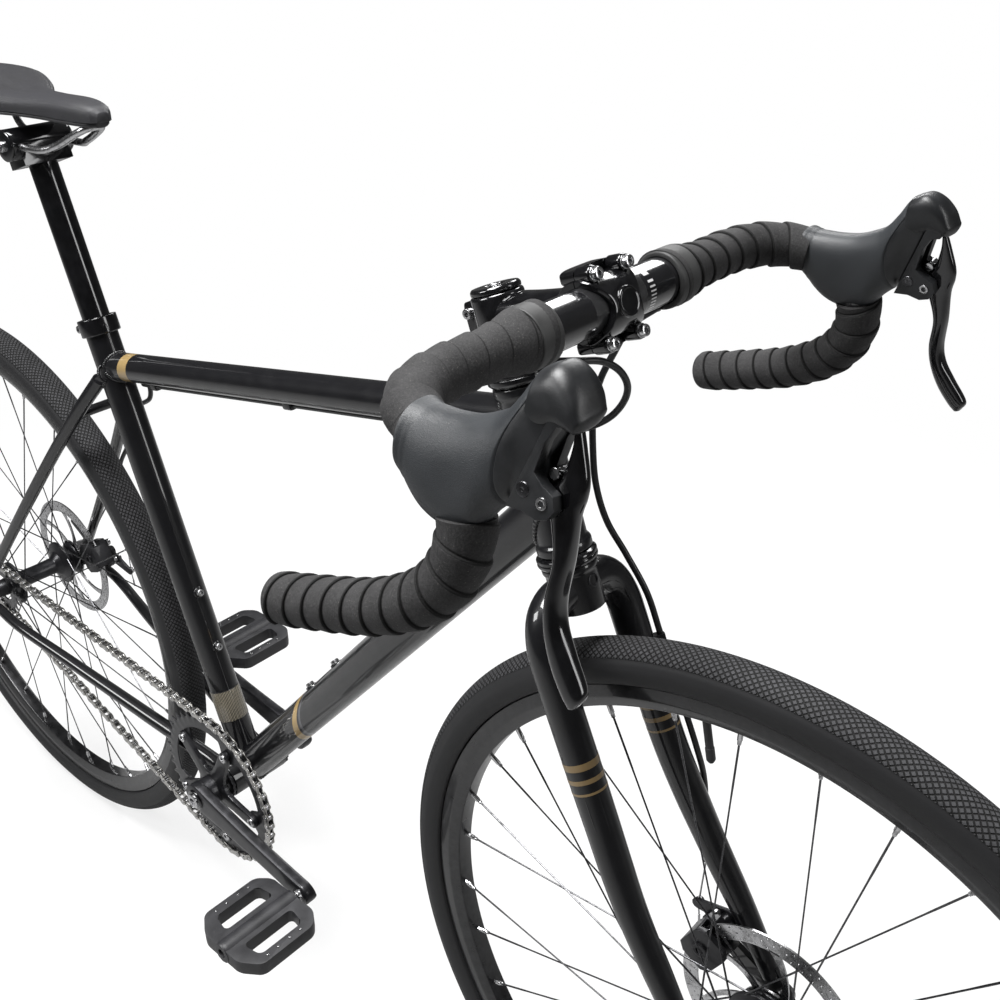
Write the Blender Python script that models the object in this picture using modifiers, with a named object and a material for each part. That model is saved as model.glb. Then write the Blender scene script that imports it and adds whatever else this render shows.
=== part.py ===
"""Single-speed road bicycle with a steel diamond frame, drop bar and disc brakes.

Units are metres, +Z is up, +X points ahead and +Y to the rider's left. The origin
lies on the ground, midway between the outermost points of the two tyres.
"""

import math

import bmesh
import bpy
import numpy as np
from mathutils import Matrix, Vector

# ------------------------------------------------------------------ driving dimensions
GAP = 0.0003               # clearance between neighbouring pieces

# Wheels
BEAD_RADIUS = 0.311        # seat of the tyre on the rim
TYRE_HEIGHT = 0.0365
TYRE_WIDTH = 0.037
RIM_WIDTH = 0.024
RIM_DEPTH = 0.0145         # from the bead seat in to the spoke face
RIM_WALL = 0.002
FLANGE_HEIGHT = 0.0055     # rim wall beside the bead
WHEEL_STEPS = 28
SPOKES = 32
SPOKE_RADIUS = 0.0008
CROSSINGS = 3
HUB_FLANGE_RADIUS = 0.0285
HUB_FLANGE_WIDTH = 0.0036
HUB_BARREL_RADIUS = 0.0145
FRONT_HUB_WIDTH = 0.100    # between the fork ends
REAR_HUB_WIDTH = 0.135     # between the dropouts
AXLE_RADIUS = 0.005
AXLE_BEARING_GAP = 0.0006

# Brakes
ROTOR_RADIUS = 0.080
ROTOR_TRACK = 0.014        # radial width of the braking band
ROTOR_THICKNESS = 0.0018
ROTOR_INSET = 0.0140       # from the outer face of the hub to the disc
PAD_THICKNESS = 0.003
PAD_TRAVEL = 0.0004
CALIPER_REACH = 0.069      # from the axle to the middle of the pads

# Frame
BB_DROP = 0.078
SEAT_ANGLE = math.radians(72.53)
HEAD_ANGLE = math.radians(70.94)
FRONT_CENTRE = 0.6296      # horizontal, bottom bracket to front axle
SEAT_TUBE_LENGTH = 0.515
SEAT_TUBE_RADIUS = 0.0159
POST_RADIUS = 0.0136
POST_BORE = (POST_RADIUS + GAP) / math.cos(math.pi / 12)
TOP_TUBE_RADIUS = 0.0143
TOP_TUBE_DROP = 0.0495     # below the top of the seat tube
TOP_TUBE_BELOW = 0.0253    # below the top of the head tube
DOWN_TUBE_RADIUS = 0.0190
DOWN_TUBE_ABOVE = 0.0350   # above the foot of the head tube
HEAD_TUBE_RADIUS = 0.0183
HEAD_TUBE_BORE = 0.0170
HEAD_TUBE_LENGTH = 0.1244
SHELL_RADIUS = 0.020
SHELL_WIDTH = 0.068
SHELL_BORE = 0.0170
CHAIN_STAY_RADIUS = 0.0080
SEAT_STAY_RADIUS = 0.0066
SEAT_STAY_DROP = 0.0590    # below the top of the seat tube
DROPOUT_THICKNESS = 0.006
TAB_THICKNESS = 0.0054     # of the brake mounts on the dropouts

# Fork and steering
FORK_LENGTH = 0.4027       # along the steering axis, foot of the rake to crown seat
FORK_RAKE = 0.050
STEERER_RADIUS = 0.0143
LEG_SPREAD = 0.046         # half the distance between the legs under the crown
LEG_RADIUS = 0.0135
CROWN_DEPTH = 0.0327       # from the crown seat to the crown's underside
CUP_RADIUS = 0.0225
STEERER_BORE = (STEERER_RADIUS + GAP) / math.cos(math.pi / 12)
LOWER_STACK = 0.0123       # crown seat to head tube
UPPER_STACK = 0.0173       # head tube to the spacers
SPACER_STACK = 0.010
STEM_HEIGHT = 0.037
STEM_REACH = 0.0880
STEM_RISE = -0.0014        # of the bar centre against the middle of the clamp
CAP_HEIGHT = 0.0045

# Handlebar, tape and levers
BAR_RADIUS = 0.0159
BAR_BORE = (BAR_RADIUS + GAP) / math.cos(math.pi / 12)
GRIP_RADIUS = 0.0119
BAR_SIDES = 8
BAR_STRAIGHT = 0.142       # half of the straight middle
TAPE_START = 0.0617        # half of the bare middle
TAPE_THICKNESS = 0.0026
TAPE_STEP = 0.0014         # height of one overlap edge
FLARE = 0.20               # sideways for each unit down
FLARE_Y = 0.1997           # half spread of the drops at FLARE_Z
FLARE_Z = 0.90365
BAR_DATUM_X = 0.47487      # the bar's centre in the side view of its bend
BAR_DATUM_Z = 0.91170

# Drive
CHAIN_PITCH = 0.0127
CHAIN_LINKS = 100
RING_TEETH = 44
COG_TEETH = 16
CHAIN_LINE = 0.045
RING_THICKNESS = 0.0021
CRANK_LENGTH = 0.170
CRANK_ANGLE = math.radians(171.0)  # of the left crank, from +X
CRANK_PLANE = 0.068
CRANK_THICKNESS = 0.013
SPINDLE_RADIUS = 0.0085
SPINDLE_BORE = (SPINDLE_RADIUS + GAP) / math.cos(math.pi / 8)
PEDAL_REACH = 0.092        # axle length outside the crank
PEDAL_LENGTH = 0.092
PEDAL_AXLE_RADIUS = 0.0045
PEDAL_THICKNESS = 0.015

# Saddle
POST_LENGTH = 0.350
SADDLE_CLAMP_RISE = 0.1750 # from the top of the seat tube to the rails
SADDLE_LENGTH = 0.272
SADDLE_WIDTH = 0.146
RAIL_RADIUS = 0.0035
RAIL_SPREAD = 0.022

# Housings
HOUSING_RADIUS = 0.0025

# ------------------------------------------------------------- frame of reference
WHEEL_RADIUS = BEAD_RADIUS + TYRE_HEIGHT
RIM_INNER_RADIUS = BEAD_RADIUS - RIM_DEPTH
TOP_TUBE_ON_SEAT = SEAT_TUBE_LENGTH - TOP_TUBE_DROP
SEAT_STAY_ON_SEAT = SEAT_TUBE_LENGTH - SEAT_STAY_DROP
SADDLE_CLAMP_UP = SEAT_TUBE_LENGTH + SADDLE_CLAMP_RISE
CROWN_BOTTOM = FORK_LENGTH - CROWN_DEPTH
PEDAL_BORE = (PEDAL_AXLE_RADIUS + GAP) / math.cos(math.pi / 8)
RING_RADIUS = CHAIN_PITCH / (2 * math.sin(math.pi / RING_TEETH))
COG_RADIUS = CHAIN_PITCH / (2 * math.sin(math.pi / COG_TEETH))
Y = Vector((0, 1, 0))


def chain_spans(axle_distance):
    """Angle of the straight runs, and the links on ring, one straight run and cog."""
    lean = math.asin((RING_RADIUS - COG_RADIUS) / axle_distance)
    run = math.sqrt(axle_distance**2 - (RING_RADIUS - COG_RADIUS) ** 2) / CHAIN_PITCH
    on_ring = (math.pi + 2 * lean) / (2 * math.pi / RING_TEETH)
    on_cog = (math.pi - 2 * lean) / (2 * math.pi / COG_TEETH)
    return lean, on_ring, run, on_cog


def taut_stay_length():
    """Distance of the axles at which the chain is taut, found by halving an interval."""
    low, high = 0.3, 0.7
    for _ in range(60):
        middle = (low + high) / 2
        _, on_ring, run, on_cog = chain_spans(middle)
        if on_ring + 2 * run + on_cog < CHAIN_LINKS:
            low = middle
        else:
            high = middle
    return (low + high) / 2


CHAIN_STAY = taut_stay_length()
BB_HEIGHT = WHEEL_RADIUS - BB_DROP
REAR_RUN = math.sqrt(CHAIN_STAY**2 - BB_DROP**2)
BB_X = (REAR_RUN - FRONT_CENTRE) / 2
BB = Vector((BB_X, 0, BB_HEIGHT))
FRONT_AXLE = Vector((BB_X + FRONT_CENTRE, 0, WHEEL_RADIUS))
REAR_AXLE = Vector((BB_X - REAR_RUN, 0, WHEEL_RADIUS))
SEAT_AXIS = Vector((-math.cos(SEAT_ANGLE), 0, math.sin(SEAT_ANGLE)))
STEER_AXIS = Vector((-math.cos(HEAD_ANGLE), 0, math.sin(HEAD_ANGLE)))
STEER_AHEAD = Vector((math.sin(HEAD_ANGLE), 0, math.cos(HEAD_ANGLE)))
RAKE_FOOT = FRONT_AXLE - FORK_RAKE * STEER_AHEAD
HEAD_BOTTOM = FORK_LENGTH + LOWER_STACK
HEAD_TOP = HEAD_BOTTOM + HEAD_TUBE_LENGTH
TOP_TUBE_ON_HEAD = HEAD_TOP - TOP_TUBE_BELOW
DOWN_TUBE_ON_HEAD = HEAD_BOTTOM + DOWN_TUBE_ABOVE
STEM_FOOT = HEAD_TOP + UPPER_STACK + SPACER_STACK
STEM_TOP = STEM_FOOT + STEM_HEIGHT
BAR_UP = (STEM_FOOT + STEM_TOP) / 2 + STEM_RISE


def steer(up, ahead=0.0, side=0.0):
    """A point on the steering parts: up the axis, ahead of it and to the left."""
    return RAKE_FOOT + up * STEER_AXIS + ahead * STEER_AHEAD + side * Y


BAR_CENTRE = steer(BAR_UP, STEM_REACH)


def from_bar(x, y, z):
    """A point of the bar's side view, which moves with the bar's centre."""
    return BAR_CENTRE + Vector((x - BAR_DATUM_X, y, z - BAR_DATUM_Z))


# ----------------------------------------------------------------------- scene helpers
def clear_scene():
    for old in list(bpy.data.objects):
        bpy.data.objects.remove(old, do_unlink=True)


def new_collection(name):
    made = bpy.data.collections.new(name)
    bpy.context.scene.collection.children.link(made)
    return made


def as_object(data):
    made = bpy.data.objects.new("shape", data)
    CUTTERS.objects.link(made)
    made.hide_render = True
    made.display_type = "WIRE"
    return made


def settled(shape):
    """The evaluated shape as a plain mesh in place of the object and its modifiers."""
    bpy.context.view_layer.update()
    graph = bpy.context.evaluated_depsgraph_get()
    mesh = bpy.data.meshes.new_from_object(shape.evaluated_get(graph))
    mesh.transform(shape.matrix_world)
    bpy.data.objects.remove(shape, do_unlink=True)
    work = bmesh.new()
    work.from_mesh(mesh)
    bmesh.ops.remove_doubles(work, verts=work.verts, dist=1e-5)
    bmesh.ops.dissolve_degenerate(work, edges=work.edges, dist=1e-6)
    bmesh.ops.recalc_face_normals(work, faces=work.faces)
    work.to_mesh(mesh)
    work.free()
    return as_object(mesh)


def combined(base, others, operation):
    for other in others:
        step = base.modifiers.new(operation, "BOOLEAN")
        step.operation = operation
        step.solver = "EXACT"
        step.object = other
    done = settled(base)
    for other in others:
        bpy.data.objects.remove(other, do_unlink=True)
    return done


def union(base, *others):
    return combined(base, others, "UNION")


def cut(base, *others):
    return combined(base, others, "DIFFERENCE")


def union_all(base, others):
    """One union with a whole set of shapes that may cross each other."""
    group = new_collection("set")
    for other in others:
        group.objects.link(other)
    step = base.modifiers.new("set", "BOOLEAN")
    step.operation = "UNION"
    step.solver = "EXACT"
    step.operand_type = "COLLECTION"
    step.collection = group
    done = settled(base)
    for other in others:
        bpy.data.objects.remove(other, do_unlink=True)
    bpy.data.collections.remove(group)
    return done


def basis(origin, axis, reference=Vector((0, 0, 1))):
    """A matrix whose Z is the axis and whose X is as near the reference as it can be."""
    z = Vector(axis).normalized()
    x = reference - reference.dot(z) * z
    if x.length < 1e-6:
        x = Vector((1, 0, 0)) - z.x * z
    x.normalize()
    turn = Matrix((x, z.cross(x), z)).transposed().to_4x4()
    return Matrix.Translation(origin) @ turn


def turned(profile, origin, axis, steps=16, ring=False, reference=Vector((0, 0, 1))):
    """A turned solid from (radius, height) points that run down its outer side."""
    count = len(profile)
    mesh = bpy.data.meshes.new("profile")
    edges = [(i, (i + 1) % count) for i in range(count if ring else count - 1)]
    mesh.from_pydata([(r, 0, h) for r, h in profile], edges, [])
    shape = as_object(mesh)
    screw = shape.modifiers.new("Screw", "SCREW")
    screw.steps = screw.render_steps = steps
    screw.use_merge_vertices = True
    screw.merge_threshold = 1e-5
    shape.matrix_world = basis(origin, axis, reference)
    return settled(shape)


def cylinder(start, end, radius, steps=16, reference=Vector((0, 0, 1))):
    length = (end - start).length
    profile = [(0, length), (radius, length), (radius, 0), (0, 0)]
    return turned(profile, start, end - start, steps, reference=reference)


def sleeve(start, end, outer, inner, steps=16):
    length = (end - start).length
    profile = [(outer, length), (outer, 0), (inner, 0), (inner, length)]
    return turned(profile, start, end - start, steps, ring=True)


def box(centre, size, axis=Vector((0, 0, 1)), reference=Vector((1, 0, 0))):
    """A box of (reference, side, axis) size."""
    bpy.ops.mesh.primitive_cube_add(size=1)
    shape = bpy.context.object
    for owner in list(shape.users_collection):
        owner.objects.unlink(shape)
    CUTTERS.objects.link(shape)
    shape.matrix_world = basis(centre, axis, reference) @ Matrix.Diagonal((*size, 1))
    return settled(shape)


def through(points, count, bend=0.0):
    """Points along a smooth curve through the given ones.

    They are spread evenly by length, or closer in its bends when each radian of
    turning counts as a length of its own.
    """
    route = np.array([tuple(p) for p in points])
    ends = [2 * route[0] - route[1], *route, 2 * route[-1] - route[-2]]
    dense = []
    for a, b, c, d in zip(ends, ends[1:], ends[2:], ends[3:]):
        for t in np.linspace(0, 1, 24, endpoint=False):
            dense.append(0.5 * (2 * b + (c - a) * t + (2 * a - 5 * b + 4 * c - d) * t**2
                                + (3 * b - a - 3 * c + d) * t**3))
    dense.append(route[-1])
    dense = np.array(dense)
    steps = np.diff(dense, axis=0)
    lengths = np.linalg.norm(steps, axis=1)
    heading = steps / lengths[:, None]
    turning = np.linalg.norm(np.diff(heading, axis=0), axis=1)
    turning = (np.concatenate([[0], turning]) + np.concatenate([turning, [0]])) / 2
    along = np.concatenate([[0], np.cumsum(lengths + bend * turning)])
    at = np.linspace(0, along[-1], count)
    return [Vector([np.interp(s, along, dense[:, k]) for k in range(3)]) for s in at]


def tube(points, radius, sides=8, widths=None):
    """A solid round bar along points; widths scale its radius at each of them."""
    curve = bpy.data.curves.new("route", "CURVE")
    curve.dimensions = "3D"
    line = curve.splines.new("POLY")
    line.points.add(len(points) - 1)
    for k, place in enumerate(points):
        line.points[k].co = (*place, 1)
        line.points[k].radius = widths[k] if widths else 1
    curve.bevel_depth = radius
    curve.bevel_resolution = (sides - 4) // 2
    curve.use_fill_caps = True
    return settled(as_object(curve))


def tapered(points, table):
    """Scale factors at points, from (share of the length, factor) pairs."""
    steps = [(b - a).length for a, b in zip(points, points[1:])]
    along = np.concatenate([[0], np.cumsum(steps)])
    shares, factors = zip(*table)
    return [float(w) for w in np.interp(along / along[-1], shares, factors)]


def plate(outline, thickness, centre, holes=(), axis=-Y, reference=Vector((1, 0, 0))):
    """A flat piece from (x, z) points about centre, its thickness along the axis."""
    curve = bpy.data.curves.new("outline", "CURVE")
    curve.dimensions = "2D"
    curve.fill_mode = "BOTH"
    curve.extrude = thickness / 2
    for loop in (outline, *holes):
        line = curve.splines.new("POLY")
        line.points.add(len(loop) - 1)
        for k, (x, z) in enumerate(loop):
            line.points[k].co = (x, z, 0, 1)
        line.use_cyclic_u = True
    shape = as_object(curve)
    shape.matrix_world = basis(centre, axis, reference)
    return settled(shape)


def arc(cx, cz, radius, start, end, count):
    """Points along an arc, with its angles in degrees."""
    angles = np.radians(np.linspace(start, end, count))
    return [(cx + radius * math.cos(a), cz + radius * math.sin(a)) for a in angles]


def circle(cx, cz, radius, count):
    return arc(cx, cz, radius, 0, 360 - 360 / count, count)


def strap(x1, z1, r1, x2, z2, r2, count=6):
    """The outline round two circles, as of an arm between two bosses."""
    heading = math.degrees(math.atan2(z2 - z1, x2 - x1))
    lean = math.degrees(math.acos((r1 - r2) / math.hypot(x2 - x1, z2 - z1)))
    near = arc(x1, z1, r1, heading + lean, heading + 360 - lean, count)
    return near + arc(x2, z2, r2, heading - lean, heading + lean, count)


def loft(rings):
    """A closed solid through rings of the same number of points, with flat ends."""
    count = len(rings[0])
    work = bmesh.new()
    rows = [[work.verts.new(p) for p in ring] for ring in rings]
    for low, high in zip(rows, rows[1:]):
        for k in range(count):
            n = (k + 1) % count
            work.faces.new((low[k], low[n], high[n], high[k]))
    work.faces.new(rows[0][::-1])
    work.faces.new(rows[-1])
    mesh = bpy.data.meshes.new("loft")
    bmesh.ops.recalc_face_normals(work, faces=work.faces)
    work.to_mesh(mesh)
    work.free()
    return as_object(mesh)


def oval(low, high, half_width, count=12, power=2.3):
    """A ring between two points of the middle plane, rounded like a superellipse."""
    centre = (low + high) / 2
    rise = (high - low) / 2
    points = []
    for k in range(count):
        a = 2 * math.pi * k / count
        c, s = math.cos(a), math.sin(a)
        up = math.copysign(abs(c) ** (2 / power), c)
        out = math.copysign(abs(s) ** (2 / power), s)
        points.append(centre + up * rise + out * half_width * Y)
    return points


def piece(name, shape, finish, pivot=None):
    """Name a finished shape, give it its finish and set its origin on its joint axis."""
    colour, roughness, metallic = finish
    material = bpy.data.materials.new(name)
    material.use_nodes = True
    shader = material.node_tree.nodes["Principled BSDF"]
    shader.inputs["Base Color"].default_value = (*colour, 1)
    shader.inputs["Roughness"].default_value = roughness
    shader.inputs["Metallic"].default_value = metallic
    mesh = shape.data
    mesh.materials.clear()
    mesh.materials.append(material)
    mesh.shade_smooth()
    mesh.set_sharp_from_angle(angle=math.radians(35))
    if pivot is not None:
        mesh.transform(Matrix.Translation(-pivot))
        shape.location = pivot
    shape.name = mesh.name = name
    shape.hide_render = False
    shape.display_type = "TEXTURED"
    CUTTERS.objects.unlink(shape)
    BICYCLE.objects.link(shape)
    return shape


# ---------------------------------------------------------------------------- finishes
PAINT = ((0.012, 0.012, 0.014), 0.28, 0.0)
GLOSS_BLACK = ((0.008, 0.008, 0.009), 0.15, 0.2)
BLACK_ALLOY = ((0.015, 0.015, 0.017), 0.35, 0.6)
STEEL = ((0.55, 0.55, 0.56), 0.30, 1.0)
RUBBER = ((0.018, 0.018, 0.020), 0.75, 0.0)
HOOD_RUBBER = ((0.030, 0.032, 0.036), 0.60, 0.0)
FOAM = ((0.028, 0.027, 0.026), 0.90, 0.0)
PLASTIC = ((0.020, 0.020, 0.022), 0.45, 0.0)
LEATHER = ((0.015, 0.015, 0.016), 0.55, 0.0)
HOUSING = ((0.010, 0.010, 0.011), 0.35, 0.0)


# ------------------------------------------------------------------------------ wheels
def rim_profile():
    """Box section with a flat well between two side walls."""
    tip = BEAD_RADIUS + FLANGE_HEIGHT
    side = RIM_WIDTH / 2
    inner = side - RIM_WALL
    well = BEAD_RADIUS - GAP
    foot = side - 0.0035
    return [(tip, side), (tip, inner), (well, inner), (well, -inner), (tip, -inner),
            (tip, -side), (RIM_INNER_RADIUS, -foot), (RIM_INNER_RADIUS, foot)]


def tyre_profile():
    """Bead feet inside the rim walls, then a round casing over their tips."""
    radius = TYRE_WIDTH / 2
    centre = WHEEL_RADIUS - radius
    foot = RIM_WIDTH / 2 - RIM_WALL - GAP
    tip = BEAD_RADIUS + FLANGE_HEIGHT + 2 * GAP
    start = math.asin((tip - centre) / radius)
    angles = [start, 0.10, 0.85, math.pi / 2]
    half = [(BEAD_RADIUS, foot), (tip, foot)]
    half += [(centre + radius * math.sin(a), radius * math.cos(a)) for a in angles]
    return half + [(r, -h) for r, h in half[-2::-1]]


def hub_profile(width, left_flange, right_flange, disc):
    """Barrel, two flanges, bearing ends and the disc seat, with a bore for the axle."""
    bore = AXLE_RADIUS + AXLE_BEARING_GAP
    half = width / 2 - 0.006
    thick = HUB_FLANGE_WIDTH / 2
    seat = disc - ROTOR_THICKNESS / 2 - GAP
    barrel = HUB_BARREL_RADIUS
    return [(0.0095, half), (barrel, disc + 0.003), (barrel, seat), (0.0215, seat),
            (barrel, seat - 0.006),
            (HUB_FLANGE_RADIUS, left_flange + thick), (HUB_FLANGE_RADIUS, left_flange - thick),
            (barrel, left_flange - thick), (barrel, right_flange + thick),
            (HUB_FLANGE_RADIUS, right_flange + thick), (HUB_FLANGE_RADIUS, right_flange - thick),
            (0.0095, right_flange - thick - 0.002), (0.0095, -half), (bore, -half), (bore, half)]


def spoke_set(axle, left_flange, right_flange):
    """Tangential spokes, alternately leading and trailing, that pass side by side."""
    spokes = []
    per_side = SPOKES // 2
    swing = CROSSINGS * 2 * math.pi / per_side
    hole = HUB_FLANGE_RADIUS - 0.0030
    reach = RIM_INNER_RADIUS * math.cos(math.pi / WHEEL_STEPS) - GAP
    for k in range(SPOKES):
        angle = 2 * math.pi * (k + 0.5) / SPOKES
        lead = 1 if (k // 2) % 2 else -1
        flange = left_flange if k % 2 else right_flange
        start = angle - lead * swing
        shift = lead * (SPOKE_RADIUS + GAP / 2)
        at_hub = axle + Vector((hole * math.cos(start), flange + shift, hole * math.sin(start)))
        at_rim = axle + Vector((reach * math.cos(angle), 0.0, reach * math.sin(angle)))
        at_rim.y += shift + (0.0015 if k % 2 else -0.0015)
        run = (at_rim - at_hub).normalized()
        u = run.cross(Y).normalized() * SPOKE_RADIUS
        v = run.cross(u)
        corners = [math.cos(t) * v + math.sin(t) * u for t in (0, 2.09, 4.19)]
        spokes.append(loft([[end + c for c in corners] for end in (at_hub, at_rim)]))
    return spokes


def wheel(name, axle, width, left_flange, right_flange):
    """Tyre, rim and laced hub with its brake disc; the vertex rows meet the ground."""
    down = Vector((0, 0, -1))
    disc = width / 2 - ROTOR_INSET
    tyre = turned(tyre_profile(), axle, Y, WHEEL_STEPS, True, down)
    piece(f"{name}_tyre", tyre, RUBBER, axle)
    rim = turned(rim_profile(), axle, Y, WHEEL_STEPS, True, down)
    piece(f"{name}_rim", rim, BLACK_ALLOY, axle)
    hub = turned(hub_profile(width, left_flange, right_flange, disc), axle, Y, 12, True, down)
    hub = union_all(hub, spoke_set(axle, left_flange, right_flange))
    piece(f"{name}_hub_and_spokes", hub, BLACK_ALLOY, axle)
    piece(f"{name}_brake_disc", brake_disc(axle, disc), STEEL, axle)


def brake_disc(axle, disc):
    """A thin ring on slanted arms round the hub's seat."""
    outer = circle(0, 0, ROTOR_RADIUS, 20)
    bore = circle(0, 0, HUB_BARREL_RADIUS + 2 * GAP, 12)
    windows = []
    inner = ROTOR_RADIUS - ROTOR_TRACK
    for k in range(5):
        turn = 72 * k
        windows.append(arc(0, 0, inner, turn + 6, turn + 58, 3)
                       + arc(0, 0, 0.026, turn + 34, turn - 2, 2))
    return plate(outer, ROTOR_THICKNESS, axle + disc * Y, (bore, *windows))


def axle_rod(name, axle, width, plate_thickness):
    """Fixed axle with its lock nuts and the skewer's nut and lever outside the ends."""
    half = width / 2
    end = half + GAP + plate_thickness + GAP
    profile = [(0, end + 0.007), (0.0095, end + 0.007), (0.0095, end), (AXLE_RADIUS, end),
               (AXLE_RADIUS, half), (0.0080, half), (0.0080, half - 0.0055),
               (AXLE_RADIUS, half - 0.0055)]
    full = profile + [(r, -h) for r, h in profile[::-1]]
    rod = turned(full, axle, Y, 8)
    start = axle + (end + 0.0035) * Y
    lever = tube([start, start + Vector((-0.018, 0.007, 0.010)),
                  start + Vector((-0.046, 0.007, 0.026))], 0.0042, 6, [1, 1, 0.8])
    piece(name, union(rod, lever), STEEL)


# ------------------------------------------------------------------------------- frame
def seat_point(up, ahead=0.0, side=0.0):
    """A point up the seat tube, ahead of it square to its axis, and to the left."""
    across = Vector((SEAT_AXIS.z, 0, -SEAT_AXIS.x))
    return BB + up * SEAT_AXIS + ahead * across + side * Y


def shell_cutter():
    half = (SHELL_WIDTH / 2 + GAP) * Y
    return cylinder(BB - half, BB + half, SHELL_RADIUS + GAP, 14)


def seat_tube_cutter():
    return cylinder(BB, seat_point(SEAT_TUBE_LENGTH + 0.02), SEAT_TUBE_RADIUS + GAP, 16)


def head_tube_profile(extra=0.0):
    """The outer side of the head tube, top to bottom, with a reinforced rim at each end."""
    radius = HEAD_TUBE_RADIUS + extra
    rim = radius + 0.0022
    length = HEAD_TUBE_LENGTH
    return [(rim, length), (rim, length - 0.006 - extra), (radius, length - 0.009 - extra),
            (radius, 0.009 + extra), (rim, 0.006 + extra), (rim, 0)]


def head_tube_cutter():
    outer = head_tube_profile(GAP)
    radius = outer[0][0]
    profile = [(0, HEAD_TUBE_LENGTH + 0.02), (radius, HEAD_TUBE_LENGTH + 0.02), *outer[1:-1],
               (radius, -0.02), (0, -0.02)]
    return turned(profile, steer(HEAD_BOTTOM), STEER_AXIS, 16)


def bottle_boss(place, outward, tube_radius):
    """A threaded boss brazed into a tube, with a flat seat for a bottle cage."""
    return cylinder(place + (tube_radius - 0.004) * outward,
                    place + (tube_radius + 0.0015) * outward, 0.0055, 10)


def main_tubes():
    """Head, top, down and seat tubes, mitred against each other, and the shell."""
    profile = head_tube_profile() + [(HEAD_TUBE_BORE, 0), (HEAD_TUBE_BORE, HEAD_TUBE_LENGTH)]
    head = turned(profile, steer(HEAD_BOTTOM), STEER_AXIS, 16, True)
    piece("head_tube", head, PAINT)

    top = cylinder(seat_point(TOP_TUBE_ON_SEAT), steer(TOP_TUBE_ON_HEAD), TOP_TUBE_RADIUS, 14)
    clips = [clip(share) for share in (0.12, 0.50, 0.87)]
    top = cut(union(top, *clips), seat_tube_cutter(), head_tube_cutter(), frame_housing(GAP))
    piece("top_tube", top, PAINT)

    start, end = BB, steer(DOWN_TUBE_ON_HEAD)
    run = (end - start).normalized()
    upward = Vector((-run.z, 0, run.x))
    down = cylinder(start, end, DOWN_TUBE_RADIUS, 16)
    bosses = [bottle_boss(start + along * run, upward, DOWN_TUBE_RADIUS)
              for along in DOWN_TUBE_BOSSES]
    down = union(down, *bosses)
    down = cut(down, shell_cutter(), seat_tube_cutter(), head_tube_cutter())
    piece("down_tube", down, PAINT)

    seat = cylinder(BB, seat_point(SEAT_TUBE_LENGTH), SEAT_TUBE_RADIUS, 16)
    ahead = Vector((SEAT_AXIS.z, 0, -SEAT_AXIS.x))
    bosses = [bottle_boss(seat_point(up), ahead, SEAT_TUBE_RADIUS) for up in SEAT_TUBE_BOSSES]
    bore = cylinder(seat_point(0.10), seat_point(SEAT_TUBE_LENGTH + 0.01), POST_BORE, 12)
    piece("seat_tube", cut(union(seat, *bosses), shell_cutter(), bore), PAINT)

    half = SHELL_WIDTH / 2 * Y
    piece("bottom_bracket_shell", sleeve(BB - half, BB + half, SHELL_RADIUS, SHELL_BORE, 14),
          PAINT)


DOWN_TUBE_BOSSES = (0.215, 0.279)  # along the down tube
SEAT_TUBE_BOSSES = (0.150, 0.214)  # up the seat tube


def clip(share):
    """A cable guide under the top tube, at a share of its length."""
    place = seat_point(TOP_TUBE_ON_SEAT).lerp(steer(TOP_TUBE_ON_HEAD), share)
    run = (steer(TOP_TUBE_ON_HEAD) - seat_point(TOP_TUBE_ON_SEAT)).normalized()
    under = Vector((run.z, 0, -run.x))
    centre = place + (TOP_TUBE_RADIUS + HOUSING_RADIUS) * under + GUIDE_SIDE * Y
    return box(centre, (0.010, 0.009, 2 * HOUSING_RADIUS + 0.006), under, run)


GUIDE_SIDE = 0.003  # of the housing under the top tube, to the left


def rear_stays():
    """Chain stays with their dropouts, and seat stays with a bridge above the tyre."""
    plane = REAR_HUB_WIDTH / 2 + GAP + DROPOUT_THICKNESS / 2
    for name, side in (("left", 1), ("right", -1)):
        tip = REAR_AXLE + Vector((0.030, 0, -0.0055))
        lower = [BB + Vector((-0.008, side * 0.0235, 0.001)),
                 BB + Vector((-0.060, side * 0.0290, 0.009)),
                 BB + Vector((-0.115, side * 0.0375, 0.020)),
                 BB.lerp(REAR_AXLE, 0.62) + side * 0.058 * Y,
                 tip + Vector((0.05, side * (plane - 0.001), -0.008)),
                 tip + side * plane * Y]
        taper = ((0, 1.05), (0.3, 1), (1, 0.72))
        line = through(lower, 10, 0.05)
        chain_stay = tube(line, CHAIN_STAY_RADIUS, 8, tapered(line, taper))
        chain_stay = cut(chain_stay, shell_cutter(), seat_tube_cutter())
        chain_stay = union(chain_stay, dropout(side, plane))
        piece(f"chain_stay_{name}", chain_stay, PAINT)

        seat_stay = cut(seat_stay_tube(side), seat_tube_cutter())
        if side > 0:
            bridge = cut(stay_bridge(), seat_stay_tube(-1, 2 * GAP))
            seat_stay = union(seat_stay, bridge)
        piece(f"seat_stay_{name}", seat_stay, PAINT)


def seat_stay_ends(side):
    plane = REAR_HUB_WIDTH / 2 + GAP + DROPOUT_THICKNESS / 2
    top = seat_point(SEAT_STAY_ON_SEAT, -0.004, side * 0.0165)
    return top, REAR_AXLE + Vector((0.0205, side * (plane - 0.0004), 0.0290))


def seat_stay_tube(side, extra=0.0):
    """A seat stay that bows out past the tyre on its way to the dropout."""
    top, end = seat_stay_ends(side)
    line = [top, top.lerp(end, 0.13) + side * 0.0055 * Y,
            top.lerp(end, 0.33) + side * 0.0080 * Y,
            top.lerp(end, 0.66) + side * 0.0060 * Y, end]
    line = through(line, 10, 0.05)
    widths = tapered(line, ((0, 1.1), (0.2, 1), (0.5, 1), (1, 0.85)))
    return tube(line, SEAT_STAY_RADIUS + extra, 8, widths)


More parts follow.
